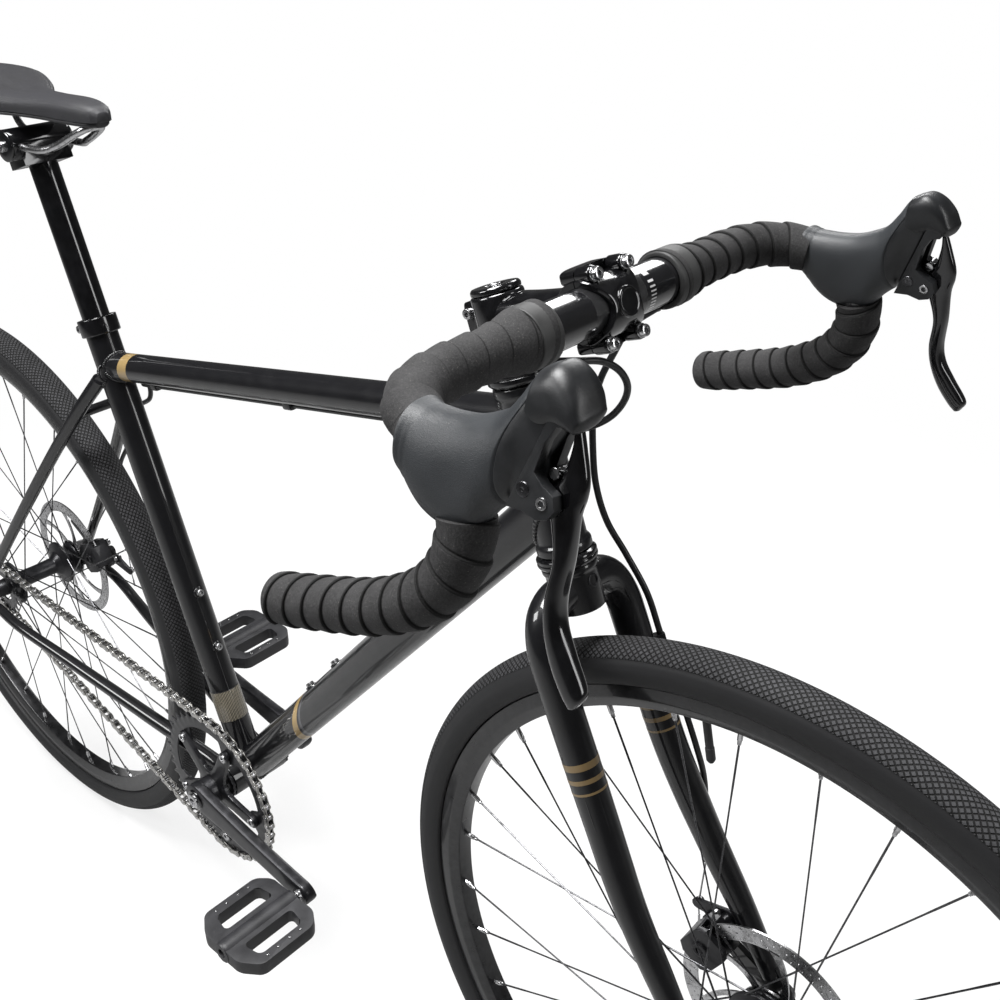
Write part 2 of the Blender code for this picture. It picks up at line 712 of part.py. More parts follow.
def stay_bridge():
    """A short tube from the left stay towards the right one, above the tyre."""
    top, end = seat_stay_ends(1)
    place = top.lerp(end, 0.14)
    reach = place.y + 0.0055
    return cylinder(Vector((place.x, -reach, place.z)), Vector((place.x, reach, place.z)),
                    0.0050, 8)


def dropout(side, plane):
    """A plate round the axle, open below, with arms to both stays."""
    slot = AXLE_RADIUS + GAP
    below = [(slot, -0.022), (slot, 0)] + arc(0, 0, slot, 20, 160, 5) + [(-slot, 0),
                                                                         (-slot, -0.022)]
    outline = below + [(-0.012, -0.018), (-0.016, -0.004), (-0.013, 0.012), (0.004, 0.020),
                       (0.0135, 0.0300), (0.0225, 0.0225), (0.021, 0.010), (0.031, 0.001),
                       (0.033, -0.012), (0.018, -0.016)]
    shape = plate(outline, DROPOUT_THICKNESS, REAR_AXLE + side * plane * Y)
    if side < 0:
        return shape
    tab = plate(caliper_tab(REAR_CALIPER_ANGLE), TAB_THICKNESS, REAR_AXLE + plane * Y)
    return union(shape, tab)


def caliper_tab(angle):
    """The outline of a brake mount that reaches from the axle plate to the caliper."""
    c, s = math.cos(angle), math.sin(angle)
    reach = CALIPER_REACH + 0.010
    return strap(0.0175 * c, 0.0175 * s, 0.008, reach * c, reach * s, 0.006)


def seat_collar():
    """A clamp ring on the seat tube with a bolt lug behind."""
    low, high = seat_point(SEAT_TUBE_LENGTH - 0.016), seat_point(SEAT_TUBE_LENGTH + 0.001)
    inner = SEAT_TUBE_RADIUS + GAP
    ring = sleeve(low, high, inner + 0.0032, inner, 16)
    lug = box((low + high) / 2 + Vector((-SEAT_AXIS.z, 0, SEAT_AXIS.x)) * 0.0225,
              (0.011, 0.016, 0.014), SEAT_AXIS)
    slit = box((low + high) / 2 + Vector((-SEAT_AXIS.z, 0, SEAT_AXIS.x)) * 0.0240,
               (0.020, 0.0012, 0.030), SEAT_AXIS)
    piece("seat_collar", cut(union(ring, lug), slit), GLOSS_BLACK)


def headset():
    """Outer cups on both ends of the head tube, and the cover with its spacers."""
    inner = STEERER_BORE + 0.0002
    low, high = steer(FORK_LENGTH + 0.0026), steer(HEAD_BOTTOM - GAP)
    depth = (high - low).length
    profile = [(CUP_RADIUS - 0.003, depth), (CUP_RADIUS, depth - 0.002),
               (CUP_RADIUS, 0.002), (CUP_RADIUS - 0.0015, 0), (inner, 0), (inner, depth)]
    piece("headset_lower_cup", turned(profile, low, STEER_AXIS, 12, True), GLOSS_BLACK)
    low, high = steer(HEAD_TOP + GAP), steer(HEAD_TOP + UPPER_STACK - 0.0045)
    depth = (high - low).length
    profile = [(CUP_RADIUS - 0.0015, depth), (CUP_RADIUS, depth - 0.002),
               (CUP_RADIUS, 0.003), (CUP_RADIUS - 0.003, 0), (inner, 0), (inner, depth)]
    piece("headset_upper_cup", turned(profile, low, STEER_AXIS, 12, True), GLOSS_BLACK)
    low, high = steer(HEAD_TOP + UPPER_STACK - 0.0042), steer(STEM_FOOT - GAP)
    depth = (high - low).length
    edge = CUP_RADIUS - 0.0015
    profile = [(0.0175, depth), (0.0175, 0.0062), (edge, 0.0022), (edge, 0),
               (inner, 0), (inner, depth)]
    piece("headset_cover_and_spacers", turned(profile, low, STEER_AXIS, 12, True),
          GLOSS_BLACK, steer(STEM_FOOT))


# --------------------------------------------------------------------- fork and steering
def leg_points(side):
    """The centre line of a fork leg, from the crown's shoulder to the axle plate."""
    spread = LEG_SPREAD
    end = FRONT_HUB_WIDTH / 2 + GAP + DROPOUT_THICKNESS / 2
    seat = FORK_LENGTH
    rows = [(seat - 0.0162, 0.000, 0.008), (seat - 0.0177, 0.000, spread - 0.021),
            (seat - 0.0262, 0.000, spread - 0.0085), (seat - 0.0427, 0.0005, spread - 0.0015),
            (seat - 0.0627, 0.0015, spread), (seat - 0.1027, 0.004, spread),
            (0.225, 0.010, spread + 0.001),
            (0.150, 0.0205, end - 0.002), (0.080, 0.036, end), (0.022, 0.0485, end)]
    return [steer(up, ahead, side * out) for up, ahead, out in rows]


def leg_width(place):
    """Scale of the leg's section at a point of its centre line."""
    up = (place - RAKE_FOOT).dot(STEER_AXIS)
    return float(np.interp(up, (0.022, 0.10, 0.18, 0.26), (0.60, 0.80, 0.94, 1.0)))


def fork():
    """Steerer, cast crown, curved tapering legs with their axle plates and brake tab."""
    race = FORK_LENGTH + 0.0023
    profile = [(0, STEM_TOP - 0.003), (STEERER_RADIUS, STEM_TOP - 0.003),
               (STEERER_RADIUS, race), (0.0205, race), (0.0205, race - 0.004),
               (0.0190, race - 0.006), (0.0190, CROWN_BOTTOM), (0, CROWN_BOTTOM)]
    crown = turned(profile, steer(0), STEER_AXIS, 14)
    legs = []
    for side in (1, -1):
        line = through(leg_points(side), 11, 0.06)
        legs.append(tube(line, LEG_RADIUS, 8, [leg_width(place) for place in line]))
        legs.append(fork_end(side))
    route = front_housing_line()
    guides, bores = zip(*[leg_guide(route, up) for up in (FORK_LENGTH - 0.0877, 0.150)])
    hole_up = FORK_LENGTH - 0.0112
    hole = cylinder(steer(hole_up, 0.005), steer(hole_up, 0.03), 0.0032, 8)
    body = union(crown, *legs, *guides)
    piece("fork", cut(body, hole, *bores), PAINT, steer(FORK_LENGTH))


def leg_guide(route, up):
    """A clip for the brake housing on the left leg, and the bore through it."""
    middles = [(a + b) / 2 for a, b in zip(route, route[1:])]
    k = min(range(len(middles)), key=lambda i: abs((middles[i] - RAKE_FOOT).dot(STEER_AXIS) - up))
    run = (route[k + 1] - route[k]).normalized()
    inward = -(STEER_AHEAD + Y).normalized()
    clip_box = box(middles[k] + 0.0022 * inward, (0.0096, 0.0090, 0.0090), run, inward)
    bore = tube([route[k], route[k + 1]], HOUSING_RADIUS + 1.5 * GAP, 8)
    return clip_box, bore


def fork_end(side):
    """A plate with a slot that opens down, and on the left the brake mount."""
    plane = FRONT_HUB_WIDTH / 2 + GAP + DROPOUT_THICKNESS / 2
    slot = AXLE_RADIUS + GAP
    up = math.degrees(math.atan2(0.022 * STEER_AXIS.z, 0.022 * STEER_AXIS.x))
    below = [(slot, -0.020), (slot, 0)] + arc(0, 0, slot, 20, 160, 5) + [(-slot, 0),
                                                                         (-slot, -0.020)]
    outline = below + [(-0.012, -0.016), (-0.015, -0.002)]
    outline += [(0.030 * math.cos(math.radians(up + 22)), 0.030 * math.sin(math.radians(up + 22))),
                (0.032 * math.cos(math.radians(up - 10)), 0.032 * math.sin(math.radians(up - 10))),
                (0.013, 0.004), (0.012, -0.014)]
    shape = plate(outline, DROPOUT_THICKNESS, FRONT_AXLE + side * plane * Y)
    if side < 0:
        return shape
    tab = plate(caliper_tab(FRONT_CALIPER_ANGLE), TAB_THICKNESS, FRONT_AXLE + plane * Y)
    return union(shape, tab)


def stem():
    """Clamp on the steerer, straight extension and a four-bolt clamp on the bar."""
    clamp = cylinder(steer(STEM_FOOT), steer(STEM_TOP), 0.0188, 16)
    middle = (STEM_FOOT + STEM_TOP) / 2
    rows = [(middle, 0.004, 0.0165), (middle - 0.0005, 0.030, 0.0145), (BAR_UP, STEM_REACH, 0.0150)]
    bar = [steer(up, ahead) for up, ahead, _ in rows]
    body = tube(bar, 0.0165, 12, [size / 0.0165 for _, _, size in rows])
    half = BAR_CLAMP_WIDTH / 2 * Y
    outer = BAR_RADIUS + 0.0050
    cradle = cylinder(BAR_CENTRE - half, BAR_CENTRE + half, outer, 16)
    bolt_lugs = [box(BAR_CENTRE + up * (BAR_RADIUS + 0.0063) * STEER_AXIS - 0.0055 * STEER_AHEAD,
                     (0.0130, BAR_CLAMP_WIDTH - 0.002, 0.0098), STEER_AXIS, STEER_AHEAD)
                 for up in (1, -1)]
    lug = box(steer(middle, -0.0205), (0.012, 0.016, STEM_HEIGHT - 0.006), STEER_AXIS)
    whole = union(clamp, body, cradle, lug, *bolt_lugs)
    bore = cylinder(steer(STEM_FOOT - 0.01), steer(STEM_TOP + 0.01), STEERER_BORE, 12)
    long = (BAR_CLAMP_WIDTH / 2 + 0.02) * Y
    bar_bore = cylinder(BAR_CENTRE - long, BAR_CENTRE + long, BAR_BORE, 12, STEER_AHEAD)
    front = half_space(1)
    slit = box(steer(middle, -0.024), (0.024, 0.0012, 0.06), STEER_AXIS, STEER_AHEAD)
    piece("stem", cut(whole, bore, bar_bore, front, slit), GLOSS_BLACK, steer(STEM_FOOT))

    cover = cylinder(BAR_CENTRE - half, BAR_CENTRE + half, outer, 16)
    lugs = [clamp_lug(up, side, 1) for up in (1, -1) for side in (1, -1)]
    cover = union(cover, *lugs)
    back = half_space(-1)
    bar_bore = cylinder(BAR_CENTRE - long, BAR_CENTRE + long, BAR_BORE, 12, STEER_AHEAD)
    boss = cylinder(BAR_CENTRE + 0.0180 * STEER_AHEAD, BAR_CENTRE + 0.0222 * STEER_AHEAD,
                    0.0095, 12)
    piece("stem_faceplate", cut(union(cover, boss), back, bar_bore), GLOSS_BLACK, BAR_CENTRE)

    cap = [(0.0, CAP_HEIGHT + 0.001), (0.006, CAP_HEIGHT + 0.001), (0.0165, CAP_HEIGHT),
           (0.0178, CAP_HEIGHT - 0.002), (0.0178, 0), (0, 0)]
    piece("stem_top_cap", turned(cap, steer(STEM_TOP + GAP), STEER_AXIS, 14), GLOSS_BLACK,
          steer(STEM_TOP))


BAR_CLAMP_WIDTH = 0.044
SPLIT_GAP = 0.0004  # of each half from the clamp's middle plane


def half_space(way):
    """A block that takes away all of the clamp on one side of its split."""
    size = 0.100
    centre = BAR_CENTRE + way * (size / 2 - SPLIT_GAP) * STEER_AHEAD
    return box(centre, (size, size, size), STEER_AXIS, STEER_AHEAD)


def clamp_lug(up, side, facing):
    """One of the four ears of the faceplate that the clamp bolts go through."""
    centre = BAR_CENTRE + up * (BAR_RADIUS + 0.0063) * STEER_AXIS + side * 0.0155 * Y
    return cylinder(centre, centre + facing * 0.0125 * STEER_AHEAD, 0.0053, 8)


# ------------------------------------------------------------------- bar, tape and levers
def flared(x, z, side):
    """A point of the bent part of the bar, in its flared plane."""
    return from_bar(x, side * (FLARE_Y + FLARE * (FLARE_Z - z)), z)


def bar_route(side):
    """The bar's centre line, from its middle over the bend and down to its end."""
    x, z = BAR_DATUM_X, BAR_DATUM_Z
    return [BAR_CENTRE + side * out * Y for out in (0.0, 0.040, 0.075, 0.108, BAR_STRAIGHT)] + [
        from_bar(x + 0.0055, side * 0.1680, z), from_bar(x + 0.0190, side * 0.1865, z - 0.001),
        from_bar(x + 0.0400, side * 0.1960, z - 0.004), flared(0.5310, 0.9010, side),
        flared(0.5455, 0.8870, side), flared(0.5495, 0.8680, side), flared(0.5460, 0.8500, side),
        flared(0.5370, 0.8350, side), flared(0.5200, 0.8200, side), flared(0.4900, 0.8045, side),
        flared(0.4480, 0.7905, side), flared(0.4148, 0.7805, side)]


BAR_COUNT = 18       # points along each half of the bar
BEND_WEIGHT = 0.06   # metres that each radian of bend counts for


def bar_half(side):
    return through(bar_route(side), BAR_COUNT, BEND_WEIGHT)


def bar_radius_at(place):
    """Thick in the middle, tapering to the grip where the tape begins."""
    share = (abs(place.y) - 0.075) / 0.033
    return BAR_RADIUS + (GRIP_RADIUS - BAR_RADIUS) * min(max(share, 0), 1)


def bar_solid(extra=0.0, sides=BAR_SIDES):
    line = [p for p in bar_half(1)[:0:-1]] + bar_half(-1)
    widths = [(bar_radius_at(p) + extra) / BAR_RADIUS for p in line]
    if extra:
        line = [line[0] + (line[0] - line[1])] + line + [line[-1] + (line[-1] - line[-2])]
        widths = [widths[0], *widths, widths[-1]]
    return tube(line, BAR_RADIUS, sides, widths)


def handlebar():
    """The bar and the plugs that close its ends over the tape."""
    plugs = []
    for side in (1, -1):
        line = bar_half(side)
        out = (line[-1] - line[-2]).normalized()
        profile = [(0, 0.0055), (0.009, 0.0048), (0.0140, 0.0018), (0.0140, 0.0006), (0, 0.0006)]
        plugs.append(turned(profile, line[-1] - 0.0010 * out, out, 10))
    piece("handlebar", union(bar_solid(), *plugs), GLOSS_BLACK, BAR_CENTRE)


class Route:
    """A bent line with its length measured along it and frames that don't twist."""

    def __init__(self, line, upward=Vector((0, 0, 1))):
        self.line = np.array([tuple(p) for p in line])
        steps = np.linalg.norm(np.diff(self.line, axis=0), axis=1)
        self.along = np.concatenate([[0], np.cumsum(steps)])
        tangents = np.gradient(self.line, axis=0)
        self.tangents = tangents / np.linalg.norm(tangents, axis=1)[:, None]
        across = [np.array(upward)]
        for tangent in self.tangents:
            flat = across[-1] - across[-1].dot(tangent) * tangent
            across.append(flat / np.linalg.norm(flat))
        self.across = np.array(across[1:])

    def at(self, length, values):
        return Vector([np.interp(length, self.along, values[:, k]) for k in range(3)])

    def ring_point(self, length, angle, extra):
        """A point round the bar, at a height over its surface."""
        place = self.at(length, self.line)
        tangent = self.at(length, self.tangents).normalized()
        u = self.at(length, self.across)
        u = (u - u.dot(tangent) * tangent).normalized()
        radius = bar_radius_at(place) + extra
        return place + radius * (math.cos(angle) * u + math.sin(angle) * tangent.cross(u))


def winding(route, start, end, turns, hand):
    """Bar tape as one strip wound round a route, each turn overlapping the last.

    The overlap edge is a helix of low points and high points above them. From each
    edge the strip falls gently to the foot of the next. Both ends are cut square, and
    the bore follows the corners of the route.
    """
    sides = TAPE_SIDES
    total = turns * sides
    base = GAP + TAPE_THICKNESS
    work = bmesh.new()

    def vertex(length, k, extra):
        angle = 2 * math.pi * k / sides * hand
        return work.verts.new(route.ring_point(length, angle, extra))

    def face(*corners):
        work.faces.new(corners[::-1] if hand > 0 else corners)

    places = [start + (end - start) * k / total for k in range(total + 1)]
    low = [vertex(at, k, base) for k, at in enumerate(places)]
    high = [vertex(at, k, base + TAPE_STEP) for k, at in enumerate(places)]
    rise = [base + TAPE_STEP * k / sides for k in range(1, sides)]
    first = [low[0]] + [vertex(start, k + 1, r) for k, r in enumerate(rise)] + [high[0]]
    last = [low[-1]] + [vertex(end, k + 1, r) for k, r in enumerate(rise)] + [high[-1]]
    stations = [start, *(s for s in route.along if start + 0.002 < s < end - 0.002), end]
    bore = []
    for at in stations:
        radius = bar_radius_at(route.at(at, route.line))
        clear = (radius + GAP) / math.cos(math.pi / sides) - radius + 2 * GAP
        bore.append([vertex(at, k, clear) for k in range(sides)])
    for k in range(total):
        face(low[k], high[k], high[k + 1], low[k + 1])
    for k in range(sides, total):
        face(high[k - sides], low[k], low[k + 1], high[k - sides + 1])
    for k in range(sides):
        n = (k + 1) % sides
        ends = (first[k], low[k], low[k + 1], first[k + 1])
        face(*(ends if k else ends[1:]))
        crest = high[total - sides + k:total - sides + k + 2]
        ends = (crest[0], last[k], last[k + 1], crest[1])
        face(*(ends if k < sides - 1 else ends[:3]))
        for a, b in zip(bore, bore[1:]):
            face(a[k], a[n], b[n], b[k])
        face(bore[0][k], first[k], first[n], bore[0][n])
        face(bore[-1][k], bore[-1][n], last[n], last[k])
    face(first[sides - 1], first[sides], first[0])
    face(last[sides - 1], last[0], last[sides])
    mesh = bpy.data.meshes.new("winding")
    work.to_mesh(mesh)
    work.free()
    return as_object(mesh)


TAPE_SIDES = 8


def bar_tape():
    """Four lengths of tape: from the bare middle to the hoods, and down the drops."""
    for name, side in (("left", 1), ("right", -1)):
        route = Route(bar_half(side))
        ahead = route.line[:, 0] - BAR_CENTRE.x + BAR_DATUM_X
        height = route.line[:, 2] - BAR_CENTRE.z + BAR_DATUM_Z
        top = np.argmax(ahead > 0.530)
        hood_rear = np.interp(0.5030, ahead[:top + 1], route.along[:top + 1])
        bottom = np.argmax(height < 0.840)
        hood_under = np.interp(-0.8640, -height[top:bottom + 1], route.along[top:bottom + 1])
        upper = winding(route, TAPE_START, hood_rear, TOP_TURNS, side)
        piece(f"bar_tape_top_{name}", upper, FOAM, BAR_CENTRE)
        lower = winding(route, hood_under, route.along[-1] - 0.0006, DROP_TURNS, side)
        piece(f"bar_tape_drop_{name}", lower, FOAM, BAR_CENTRE)


TOP_TURNS = 8
DROP_TURNS = 11


# Side view of a hood: lower and upper point of each section, and its half width
HOOD_SECTIONS = (
    ((0.5105, 0.8920), (0.5105, 0.9232), 0.0158), ((0.5180, 0.8800), (0.5220, 0.9235), 0.0162),
    ((0.5290, 0.8720), (0.5340, 0.9240), 0.0168), ((0.5450, 0.8690), (0.5480, 0.9262), 0.0170),
    ((0.5580, 0.8735), (0.5600, 0.9310), 0.0165), ((0.5670, 0.8835), (0.5695, 0.9365), 0.0156),
    ((0.5735, 0.8895), (0.5780, 0.9470), 0.0148), ((0.5775, 0.8925), (0.5855, 0.9580), 0.0140),
    ((0.5785, 0.8935), (0.5950, 0.9628), 0.0130), ((0.5795, 0.8942), (0.6035, 0.9545), 0.0120))


def hood(side):
    """A rubber hood lofted along its side view, with a channel for the bar."""
    rings = []
    for (lx, lz), (ux, uz), half in HOOD_SECTIONS:
        low, high = flared(lx, lz, side), flared(ux, uz, side)
        rings.append(oval(low, high, half, 12))
    return loft(rings)


# Side view of the lever body in front of the hood
BODY_OUTLINE = (
    (0.5802, 0.8937), (0.5900, 0.8945), (0.5985, 0.8925), (0.6050, 0.8945), (0.6085, 0.8995),
    (0.6070, 0.9060), (0.6000, 0.9095), (0.5945, 0.9140), (0.5985, 0.9290), (0.6035, 0.9370),
    (0.6095, 0.9385), (0.6105, 0.9440), (0.6085, 0.9500), (0.6042, 0.9540))
LEVER_PIVOT_XZ = (0.6012, 0.9012)
BLADE_SLOT = 0.0100
BLADE_SECTIONS = (
    ((0.6068, 0.9355), (0.6098, 0.9362), 0.0026), ((0.6065, 0.9260), (0.6130, 0.9270), 0.0034),
    ((0.6030, 0.9130), (0.6170, 0.9140), 0.0042), ((0.5960, 0.9020), (0.6172, 0.9060), 0.0046),
    ((0.6010, 0.8900), (0.6151, 0.8960), 0.0049), ((0.6055, 0.8740), (0.6146, 0.8760), 0.0059),
    ((0.6040, 0.8550), (0.6130, 0.8550), 0.0064),
    ((0.6060, 0.8400), (0.6155, 0.8425), 0.0064), ((0.6120, 0.8245), (0.6228, 0.8305), 0.0060),
    ((0.6205, 0.8120), (0.6325, 0.8155), 0.0054), ((0.6255, 0.8072), (0.6300, 0.8085), 0.0040))


def lever_axis(side):
    """The lever's pivot line, square to the flared plane."""
    return Vector((0, 1, side * FLARE)).normalized()


def lever_pivot(side):
    return flared(*LEVER_PIVOT_XZ, side)


def flared_plate(outline, thickness, side):
    """A plate whose side view lies in the flared plane."""
    pivot = lever_pivot(side)
    axis = -lever_axis(side)
    tilt = math.sqrt(1 + FLARE**2)
    local = [(x - LEVER_PIVOT_XZ[0], (z - LEVER_PIVOT_XZ[1]) * tilt) for x, z in outline]
    return plate(local, thickness, pivot, axis=axis)


def lever_set(name, side):
    """Hood, lever body with its slot and pivot pin, and the bent blade."""
    cover = cut(hood(side), bar_solid(GAP))
    piece(f"hood_{name}", cover, HOOD_RUBBER, BAR_CENTRE)

    pivot = lever_pivot(side)
    axis = lever_axis(side)
    body = flared_plate(BODY_OUTLINE, 0.0230, side)
    slot = [(0.5915, 0.8850), (0.6200, 0.8850), (0.6200, 0.9375), (0.6015, 0.9375),
            (0.5915, 0.9180)]
    body = cut(body, flared_plate(slot, BLADE_SLOT, side))
    pin = cylinder(pivot - 0.0120 * axis, pivot + 0.0120 * axis, 0.0022, 10)
    piece(f"lever_body_{name}", union(body, pin), PLASTIC, BAR_CENTRE)

    rings = []
    for (lx, lz), (ux, uz), half in BLADE_SECTIONS:
        rings.append(oval(flared(lx, lz, side), flared(ux, uz, side), half, 8, 2.6))
    blade = cut(loft(rings), cylinder(pivot - 0.02 * axis, pivot + 0.02 * axis, 0.0022 + GAP, 10))
    piece(f"brake_lever_{name}", blade, GLOSS_BLACK, pivot)


# ------------------------------------------------------------------------------- brakes
FRONT_CALIPER_ANGLE = math.radians(150)
REAR_CALIPER_ANGLE = math.radians(22)
CALIPER_INSIDE = 0.0100    # from the disc to the caliper's inner face
CALIPER_ARM_THICKNESS = 0.003
ARM_LENGTH = 0.030


def caliper(name, axle, width, angle, arm_turn):
    """Body astride the disc, its fixed pad, the sliding pad and the cable arm."""
    disc = width / 2 - ROTOR_INSET
    out = Vector((math.cos(angle), 0, math.sin(angle)))
    centre = axle + CALIPER_REACH * out
    outer_face = width / 2
    inner_face = disc - CALIPER_INSIDE
    mid = (outer_face + inner_face) / 2
    shape = [(-0.019, -0.008), (-0.013, -0.015), (0.013, -0.015), (0.019, -0.008),
             (0.019, 0.012), (0.012, 0.018), (-0.012, 0.018), (-0.019, 0.012)]
    along = Vector((-out.z, 0, out.x))
    body = plate(shape, outer_face - inner_face, centre + mid * Y, reference=along)
    slot_half = ROTOR_THICKNESS / 2 + PAD_TRAVEL + GAP + PAD_THICKNESS + GAP
    slot = box(centre + disc * Y - 0.00425 * out, (0.060, 2 * slot_half, 0.0355), out, along)
    pivot = caliper_arm_pivot(axle, width, angle)
    boss_root = pivot - (DROPOUT_THICKNESS + 0.006) * Y
    boss = cylinder(boss_root, pivot - (CALIPER_ARM_THICKNESS / 2 + GAP) * Y, 0.0060, 10)
    fixed = disc - ROTOR_THICKNESS / 2 - GAP - PAD_THICKNESS / 2
    pad = [(-0.009, -0.008), (0.009, -0.008), (0.009, 0.006), (-0.009, 0.006)]
    fixed_pad = box(centre + (fixed - 0.0005) * Y, (0.018, PAD_THICKNESS + 0.001, 0.014),
                    out, along)
    body = union(cut(body, slot), boss, fixed_pad)
    piece(f"{name}_caliper", body, BLACK_ALLOY)

    sliding = disc + ROTOR_THICKNESS / 2 + PAD_TRAVEL + GAP + PAD_THICKNESS / 2
    mover = plate(pad, PAD_THICKNESS, centre + sliding * Y, reference=along)
    piece(f"{name}_sliding_pad", mover, BLACK_ALLOY, centre + sliding * Y)

    tip = Vector((math.cos(arm_turn), 0, math.sin(arm_turn))) * ARM_LENGTH
    arm = plate(strap(0, 0, 0.0085, tip.x, tip.z, 0.0050), CALIPER_ARM_THICKNESS, pivot)
    piece(f"{name}_caliper_arm", arm, BLACK_ALLOY, pivot)


def caliper_arm_pivot(axle, width, angle):
    out = Vector((math.cos(angle), 0, math.sin(angle)))
    along = Vector((-out.z, 0, out.x))
    face = width / 2 + 4 * GAP + DROPOUT_THICKNESS + CALIPER_ARM_THICKNESS / 2
    return axle + (CALIPER_REACH + 0.002) * out - 0.0135 * along + face * Y


# -------------------------------------------------------------------------------- drive
def tooth_outline(teeth, radius, phase):
    """Points round a sprocket: a valley for each roller and a short tooth between."""
    step = 2 * math.pi / teeth
    valley, tip = radius - 0.0043, radius + 0.0034
    points = []
    for k in range(teeth):
        base = phase + k * step
        for share, distance in ((-0.30, valley), (0.30, valley), (0.5, tip)):
            a = base + share * step
            points.append((distance * math.cos(a), distance * math.sin(a)))
    return points


def chain_frame():
    """Where the chain lies: the run's lean, the line of centres, and each share of links."""
    distance = CHAIN_STAY
    lean, on_ring, run, on_cog = chain_spans(distance)
    heading = math.atan2(REAR_AXLE.z - BB.z, REAR_AXLE.x - BB.x)
    return lean, on_ring, run, on_cog, heading


def chain_point(at):
    """The place at a number of links from the top of the ring, forward and round."""
    lean, on_ring, run, on_cog, heading = chain_frame()
    ring_step, cog_step = 2 * math.pi / RING_TEETH, 2 * math.pi / COG_TEETH
    # the chain leaves the ring at its top, at this angle, and comes back at its bottom
    top = heading - math.pi / 2 + lean
    bottom = heading + math.pi / 2 - lean
    at = at % CHAIN_LINKS
    if at < on_ring:
        a = top - at * ring_step
        return BB.x + RING_RADIUS * math.cos(a), BB.z + RING_RADIUS * math.sin(a)
    if at < on_ring + run:
        t = (at - on_ring) / run
        a = bottom
        x1, z1 = BB.x + RING_RADIUS * math.cos(a), BB.z + RING_RADIUS * math.sin(a)
        x2, z2 = REAR_AXLE.x + COG_RADIUS * math.cos(a), REAR_AXLE.z + COG_RADIUS * math.sin(a)
        return x1 + (x2 - x1) * t, z1 + (z2 - z1) * t
    if at < on_ring + run + on_cog:
        a = bottom - (at - on_ring - run) * cog_step
        return REAR_AXLE.x + COG_RADIUS * math.cos(a), REAR_AXLE.z + COG_RADIUS * math.sin(a)
    t = (at - on_ring - run - on_cog) / run
    x1, z1 = REAR_AXLE.x + COG_RADIUS * math.cos(top), REAR_AXLE.z + COG_RADIUS * math.sin(top)
    x2, z2 = BB.x + RING_RADIUS * math.cos(top), BB.z + RING_RADIUS * math.sin(top)
    return x1 + (x2 - x1) * t, z1 + (z2 - z1) * t


def chain():
    """One hundred links: two rows of plates, bridged by a roller at every pin.

    Inner and outer links alternate, so at each roller both rows step sideways.
    """
    roller, half = 0.0031, 0.0037
    work = bmesh.new()
    rows = []
    for k in range(CHAIN_LINKS):
        for shift in (-roller, roller):
            at = k + shift / CHAIN_PITCH
            x, z = chain_point(at)
            x1, z1 = chain_point(at - 0.02)
            x2, z2 = chain_point(at + 0.02)
            up = Vector((-(z2 - z1), 0, x2 - x1)).normalized()
            outer = (k % 2 == 0) == (shift > 0)
            near = PLATE_INSIDE + (PLATE_THICKNESS if outer else 0)
            for side in (1, -1):
                for y in (near, near + PLATE_THICKNESS):
                    for rise in (half, -half):
                        place = Vector((x, side * y - CHAIN_LINE, z)) + rise * up
                        rows.append(work.verts.new(place))
    total = 2 * CHAIN_LINKS
    for k in range(total):
        a = rows[8 * k:8 * k + 8]
        n = (k + 1) % total
        b = rows[8 * n:8 * n + 8]
        loops = []
        for o in (0, 4):  # four corners of a plate: inner and outer, each top and bottom
            loops += [(a[o + 2], b[o + 2], b[o + 3], a[o + 3]), (a[o], b[o], b[o + 2], a[o + 2]),
                      (a[o + 1], a[o + 3], b[o + 3], b[o + 1])]
        if k % 2:
            loops += [(a[0], a[1], b[1], b[0]), (a[4], a[5], b[5], b[4])]
        else:
            loops += [(a[0], a[4], b[4], b[0]), (a[1], b[1], b[5], a[5]),
                      (a[0], a[1], a[5], a[4]), (b[0], b[4], b[5], b[1])]
        for loop in loops:
            work.faces.new(loop)
    mesh = bpy.data.meshes.new("chain")
    bmesh.ops.recalc_face_normals(work, faces=work.faces)
    work.to_mesh(mesh)
    work.free()
    piece("chain", as_object(mesh), STEEL)


PLATE_INSIDE = 0.0016     # from the chain's middle to an inner link's plates
PLATE_THICKNESS = 0.0011


def sprockets():
    """Toothed ring with a carrier bore, and the small cog on the rear hub."""
    lean, on_ring, run, on_cog, heading = chain_frame()
    top = heading - math.pi / 2 + lean
    bottom = heading + math.pi / 2 - lean
    centre = BB - CHAIN_LINE * Y
    outline = tooth_outline(RING_TEETH, RING_RADIUS, top)
    bore = circle(0, 0, RING_BORE, 16)
    ring = plate(outline, RING_THICKNESS, centre, (bore,))
    piece("chainring", ring, BLACK_ALLOY, centre)
    first = math.ceil(on_ring + run)
    phase = bottom - (first - on_ring - run) * 2 * math.pi / COG_TEETH
    centre = REAR_AXLE - CHAIN_LINE * Y
    bore = circle(0, 0, COG_BORE, 12)
    cog = plate(tooth_outline(COG_TEETH, COG_RADIUS, phase), RING_THICKNESS, centre, (bore,))
    piece("freewheel_cog", cog, STEEL, centre)


RING_BORE = 0.057
COG_BORE = (0.0095 + GAP) / math.cos(math.pi / 12)
SPIDER_THICKNESS = 0.005
SPIDER_ARMS = 5
RING_BOLT_RADIUS = 0.065


def crank_point(side, reach, out):
    """A point on a crank, reach from the spindle, at a distance out from the middle."""
    turn = CRANK_ANGLE if side > 0 else CRANK_ANGLE - math.pi
    return BB + Vector((reach * math.cos(turn), side * out, reach * math.sin(turn)))


